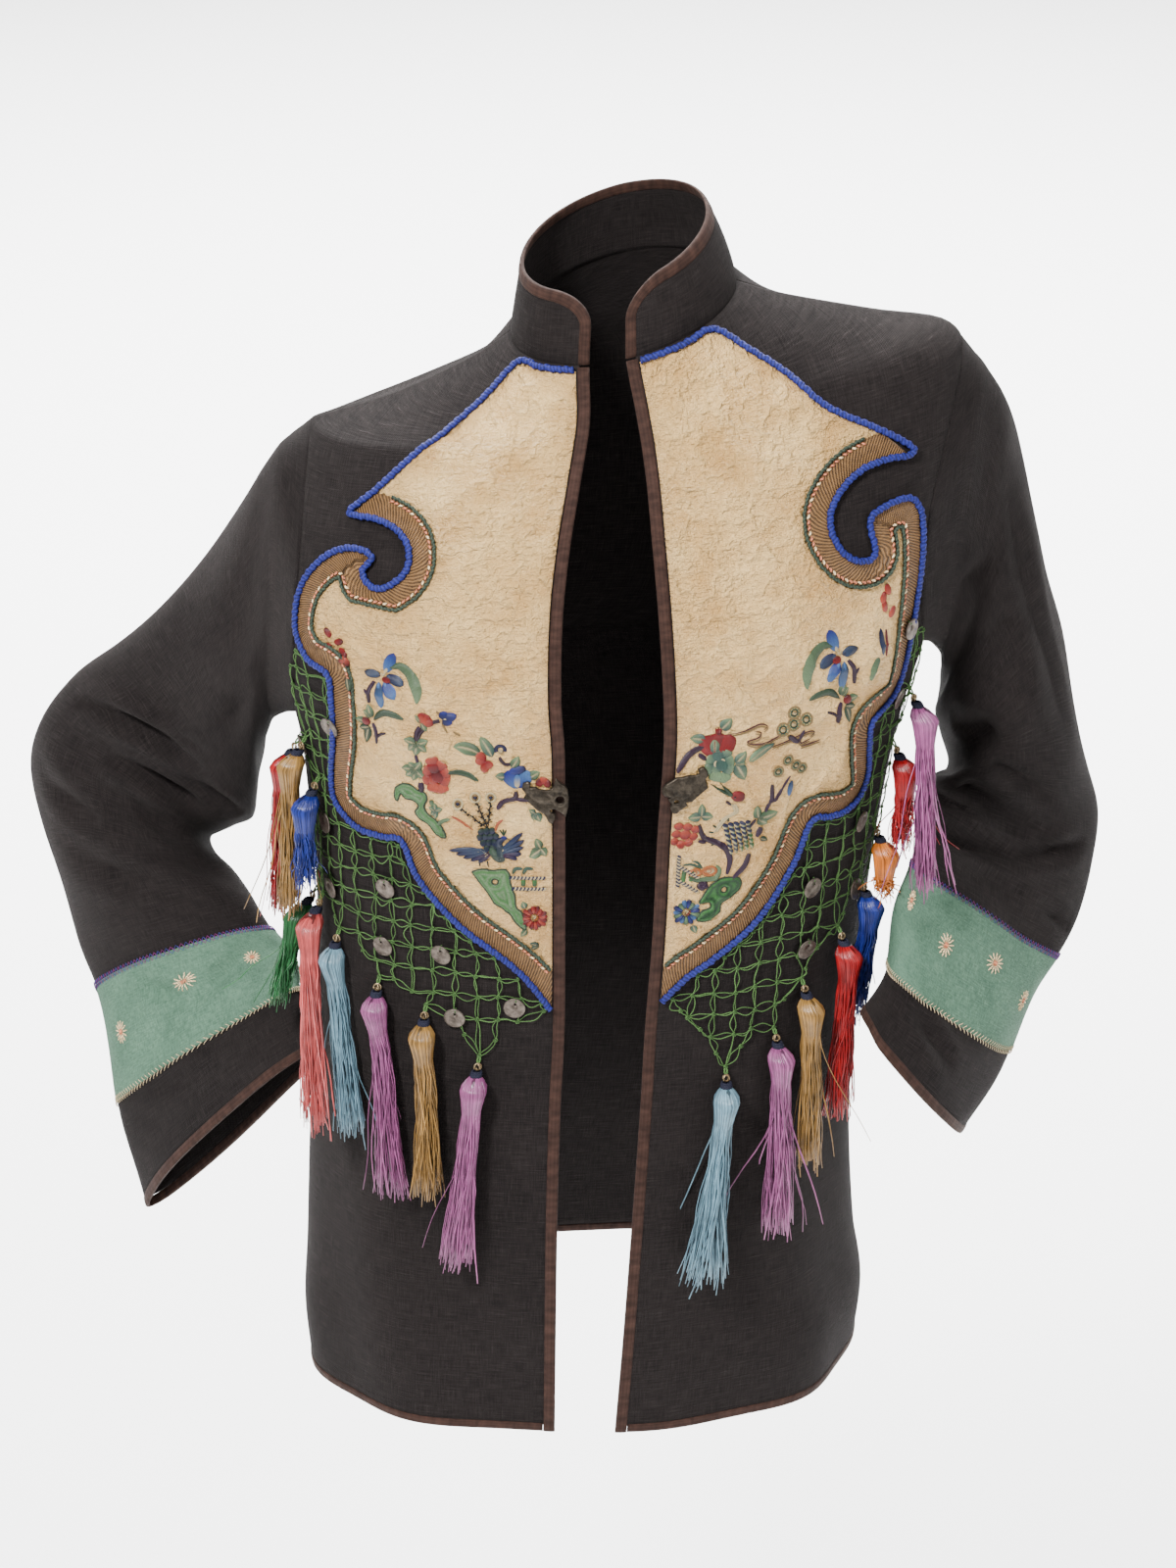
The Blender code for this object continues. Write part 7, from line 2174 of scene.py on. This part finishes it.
def blue_fruit(work):
    """A split blue fruit between leaves on a dark branch."""
    work.petal(-5.6, 5.0, -66, 12.6, 6.4, "royal", "sky", blunt=0.35, sharp=0.6, bend=14)
    work.petal(6.2, 5.0, -112, 12.0, 6.4, "sky", "royal", blunt=0.35, sharp=0.6, bend=-14)
    work.petal(-4.6, 4.0, 12, 10.0, 4.2, "royal", "navy", blunt=0.4, sharp=0.4, layer=0.2)
    work.petal(0.0, 2.6, -90, 8.0, 3.2, "sky", "cream", blunt=0.4, sharp=0.4, layer=0.4)
    leaf_group(work, -3.0, 6.6, ((56, 8.4, 4.4),))
    leaf_group(work, -6.4, 1.2, ((172, 6.0, 4.0),), "teal", "mist")
    leaf_group(work, 6.8, 0.6, ((32, 7.0, 4.6),))
    for angle in (150, 20, 84):
        work.petal(14.6, -3.6, angle, 4.6, 4.0, "red", "salmon" if angle == 84 else "wine", blunt=0.45, sharp=0.4)
    work.line(((-0.8, -7.6), (-1.4, -12.0), (-8.0, -14.6), (-11.4, -19.6)), 1.8, "plum", "purple", taper=0.5)
    work.line(((-1.4, -12.2), (6.6, -12.6)), 1.2, "purple", "plum", taper=0.5)


def red_bud_spray(work):
    """Arched leaves, a red bud, and a blue seed pod on its twig."""
    work.petal(-4.2, 3.0, 150, 16.5, 5.4, "leaf", "mist", bend=48, blunt=0.55, sharp=0.7, vein="cream")
    work.petal(2.4, 1.6, 116, 13.6, 5.4, "teal", "mist", blunt=0.6, sharp=0.7, vein="cream")
    for angle, long in ((138, 7.0), (182, 6.0), (262, 7.2), (300, 5.6)):
        work.petal(-1.4, -0.6, angle, long, 4.0, "red", "salmon", blunt=0.5, sharp=0.4)
    work.ring(7.0, 5.8, 2.5, 1.2, "navy", part=(-20, 210))
    work.dot(7.2, 4.6, 2.4, "sand", "cream")
    work.line(((6.2, 1.6), (9.2, -3.0), (13.8, -2.8)), 1.2, "plum", taper=0.5)


def branch(work, points, wide=1.7, fork=None):
    work.line(points, wide, "plum", "purple", taper=0.5)
    if fork:
        work.line(fork, wide * 0.7, "purple", "plum", taper=0.4)


# Wearer's right front
floss = {side: Needlework(side) for side in NAMES}
work = floss[RIGHT]
orchid(work.at(102, 175))
bud_sprig(work.at(110, 206))
vine(work.at(77, 202))
peony(work.at(73, 234))
work.line(((6.0, 1.6), (12.0, 2.2), (18.0, 0.6), (24.0, -2.6)), 2.0, "moss", "leaf", taper=0.1)
garden_rock(work.at(90, 251))
leaf_group(work.at(74, 257), 0, 0, ((155, 4.6, 2.6), (95, 5.0, 2.6), (25, 4.6, 2.6), (275, 5.0, 2.8),
                                    (230, 4.4, 2.4)), "teal", "mist")
work.line(((-2.6, 6.6), (-2.0, 3.0)), 1.5, "leaf", "mist")
work.line(((1.0, -11.6), (3.4, -7.0), (8.4, -5.4)), 1.6, "leaf", "mist", taper=0.1)
red_bud_spray(work.at(43, 223))
blue_fruit(work.at(27, 235))
leaf_group(work.at(17, 257), 0, 0, ((150, 4.0, 3.0), (255, 5.0, 3.2), (300, 6.4, 4.2)), "teal", "mist")
peacock(work.at(43, 279))
leaf_group(work.at(13.8, 280), 0, 0, ((118, 6.8, 3.8), (222, 8.4, 4.6), (-50, 5.0, 4.0)))
pierced_rock(work.at(39, 303))
rope(work.at(32, 299.5), (0, 0), (20.5, 0))
rope(work.at(30.5, 306.5), (0, 0), (19.5, 0))
for x in (6.5, 13.0):
    work.line(((x, 5.8), (x, 2.0)), 1.4, "jade", "leaf", taper=0.9)
work.at(17.6, 325)
daisy(work, 8.2, 16, (("salmon", "red"), ("red", "wine")), ("cream", "sand", "orange"))
leaf_group(work, -5.0, 6.4, ((118, 4.4, 3.2),), "teal", "mist")
leaf_group(work, -4.4, -7.6, ((232, 5.0, 3.0),))
leaf_group(work.at(15, 343), 0, 0, ((160, 5.5, 2.6), (200, 5.0, 2.2)), "moss", "teal")
work.at(131, 158)
for x, y, angle, long in ((-5, 5, 120, 7), (-2, 2, 20, 6), (1, -1, -40, 8), (4, -5, -60, 8), (6, -8, 200, 6),
                          (-4, 0, 200, 6)):
    work.petal(x, y, angle, long, 3.4, "salmon" if x > 2 else "red", "wine", blunt=0.5, sharp=0.5)
leaf_group(work.at(124, 178), 0, 0, ((-84, 9.0, 3.4),), "moss", "leaf")

# Wearer's left front
work = floss[LEFT]
orchid(work.at(102.5, 178.5, -1))
bud_sprig(work.at(103, 206, -1))
work.at(131, 176)
work.petal(-2.0, 8.0, -82, 16, 3.2, "navy", "steel", blunt=0.6, sharp=0.6)
work.line(((2.2, 6.5), (3.0, -1.0), (2.6, -9.0)), 1.0, "wine", "red")
work.line(((-4.0, -8.0), (-7.0, -14.0), (-9.5, -20.0)), 2.2, "leaf", "mist", taper=0.1)
for x, y, angle in ((2, 16, 100), (5, 12, 60), (0, 21, 80), (5, 25, 110)):
    work.petal(x, y, angle, 7.0, 3.2, "salmon", "red", blunt=0.5, sharp=0.5)
pomegranate(work.at(30, 218.5))
leaf_group(work, 1.8, 7.8, ((42, 8.6, 5.4),), "teal", "mist")
leaf_group(work, -6.4, 1.8, ((166, 9.2, 4.8),), "teal", "mist")
branch(work, ((-7.6, -2.0), (-15.4, -6.2), (-21.6, -16.4)), 2.2, ((-10.4, -6.4), (-5.6, -10.2)))
peony(work.at(32, 231), ("teal", "teal", "mist"))
work.ring(0, 0, 2.8, 0.6, "cream", part=(30, 290), layer=0.7)
leaf_group(work, 8.6, -0.4, ((50, 9.2, 4.4), (-56, 12.4, 6.0), (2, 5.6, 3.0)), "teal", "mist")
work.petal(16.2, 0.0, 38, 17.0, 5.0, "mist", "teal", bend=-14, blunt=0.6, sharp=0.8, vein="cream")
work.at(34.5, 214.5)
for path in (
    ((0.0, 0.6), (10.0, 1.8), (19.0, 4.6), (23.6, 3.2), (21.6, 1.4)),
    ((16.4, 1.0), (19.8, 0.0), (18.4, -2.6), (12.4, -4.4), (16.0, -6.2), (26.0, -4.6), (33.0, -1.6)),
    ((26.6, -9.4), (37.0, -7.4), (48.0, -4.6), (52.6, -5.6), (50.0, -8.0)),
    ((43.4, -8.0), (44.6, -10.8), (50.0, -9.4)), ((44.6, -13.0), (51.4, -12.4), (57.0, -11.6)),
):
    cloud_line(work, path)
work.at(73.5, 212)
for x, y in ((-6.4, -2.6), (0.4, 6.0), (0.0, -0.4), (7.6, 1.0)):
    coin_flower(work, x, y, 3.5)
branch(work, ((-3.0, -6.8), (3.6, -12.6)), 1.7, ((6.8, -5.2), (3.8, -12.2)))
work.at(73, 239)
for x, y in ((-6.4, -1.6), (-1.0, 4.4), (4.6, 0.0), (8.6, -2.6)):
    coin_flower(work, x, y, 2.9)
branch(work, ((-9.4, -8.6), (-9.4, -17.0), (-11.8, -26.0)), 1.5, ((1.6, -5.8), (-4.0, -14.0), (-9.6, -20.4)))
work.petal(3.0, -9.0, -98, 9.6, 2.8, "steel", "sky", blunt=0.6, sharp=0.6)
crane(work.at(42.5, 252.5))
leaf_group(work.at(24, 264.5), 0, 0.6, ((88, 8.0, 3.6), (186, 7.6, 4.6), (-4, 7.0, 4.4)), "teal", "mist")
branch(work, ((-1.0, -4.4), (2.6, -13.0), (13.4, -18.8), (18.0, -28.0), (17.0, -37.5)), 1.9,
       ((-1.0, -15.0), (3.6, -16.2)))
leaf_group(work.at(57, 268.5), 0, 0, ((102, 9.0, 4.0), (8, 12.0, 5.6), (-40, 7.6, 4.6)), "leaf", "mist")
branch(work, ((-1.2, -0.4), (-5.4, -5.4)), 1.2)
branch(work, ((2.4, -6.0), (0.4, -12.0)), 2.0)
leaf_group(work, 2.4, -13.4, ((-20, 5.0, 2.6),), "moss", "leaf")
work.at(15.5, 275)
for x, y, size in ((-3.8, 5.6, 4.4), (1.2, 4.8, 4.6), (5.8, 3.0, 4.4), (-5.0, 0.8, 4.4), (0.0, 0.0, 5.6),
                   (4.8, -1.4, 4.2), (-6.0, -3.6, 4.0), (-2.2, -5.6, 4.2), (2.2, -5.0, 4.2)):
    work.dot(x, y, size, "red", "salmon", tall=0.95)
    work.ring(x, y, size * 0.48, 0.4, "salmon", layer=0.3)
branch(work.at(37.5, 284.5), ((16.0, -6.0), (13.4, -14.0), (7.0, -20.6)), 1.9)
rope(work.at(11.6, 286), (0, 0), (0, -20), thick=2.2)
rope(work.at(11.6, 294), (0, 0), (12, -8.6), thick=2.0)
rope(work.at(11.6, 303), (0, 0), (12, -8.6), thick=2.0)
for x in (4.0, 8.6):
    work.line(((x, -1.6), (x + 0.8, 5.4)), 1.4, "jade", "leaf", taper=0.9)
butterfly(work.at(28, 300))
work.at(27, 308)
for angle in (50, 110, 190, 270, 340):
    work.petal(0, 0, angle, 3.4, 2.6, "purple", "plum", blunt=0.5, sharp=0.4)
work.at(39.5, 313.5).fill(
    ((-7.6, 5.6), (-1.0, 9.0), (7.4, 8.6), (10.0, 5.0), (8.6, 0.4), (2.6, -3.8), (-1.4, -6.6), (-2.6, -11.8),
     (-8.0, -16.0),
     (-14.6, -16.4), (-12.4, -11.2), (-7.6, -8.6), (-8.2, -5.2), (-13.8, -5.4), (-11.4, -0.6)),
    "pine", "jade", holes=((0.0, 2.0, 1.9),), bands=4.0,
)
work.at(18.5, 324.5)
daisy(work, 8.6, 15, (("royal", "navy"), ("steel", "sky"), ("mist", "leaf")), ("cream", "sand", "red"))
leaf_group(work, 4.0, -8.4, ((-70, 5.0, 3.2),), "teal", "mist")

needle_silk = stitched_silk()
for side, name in NAMES.items():
    finished(floss[side].piece(f"embroidery_{name}"), needle_silk, "satin")
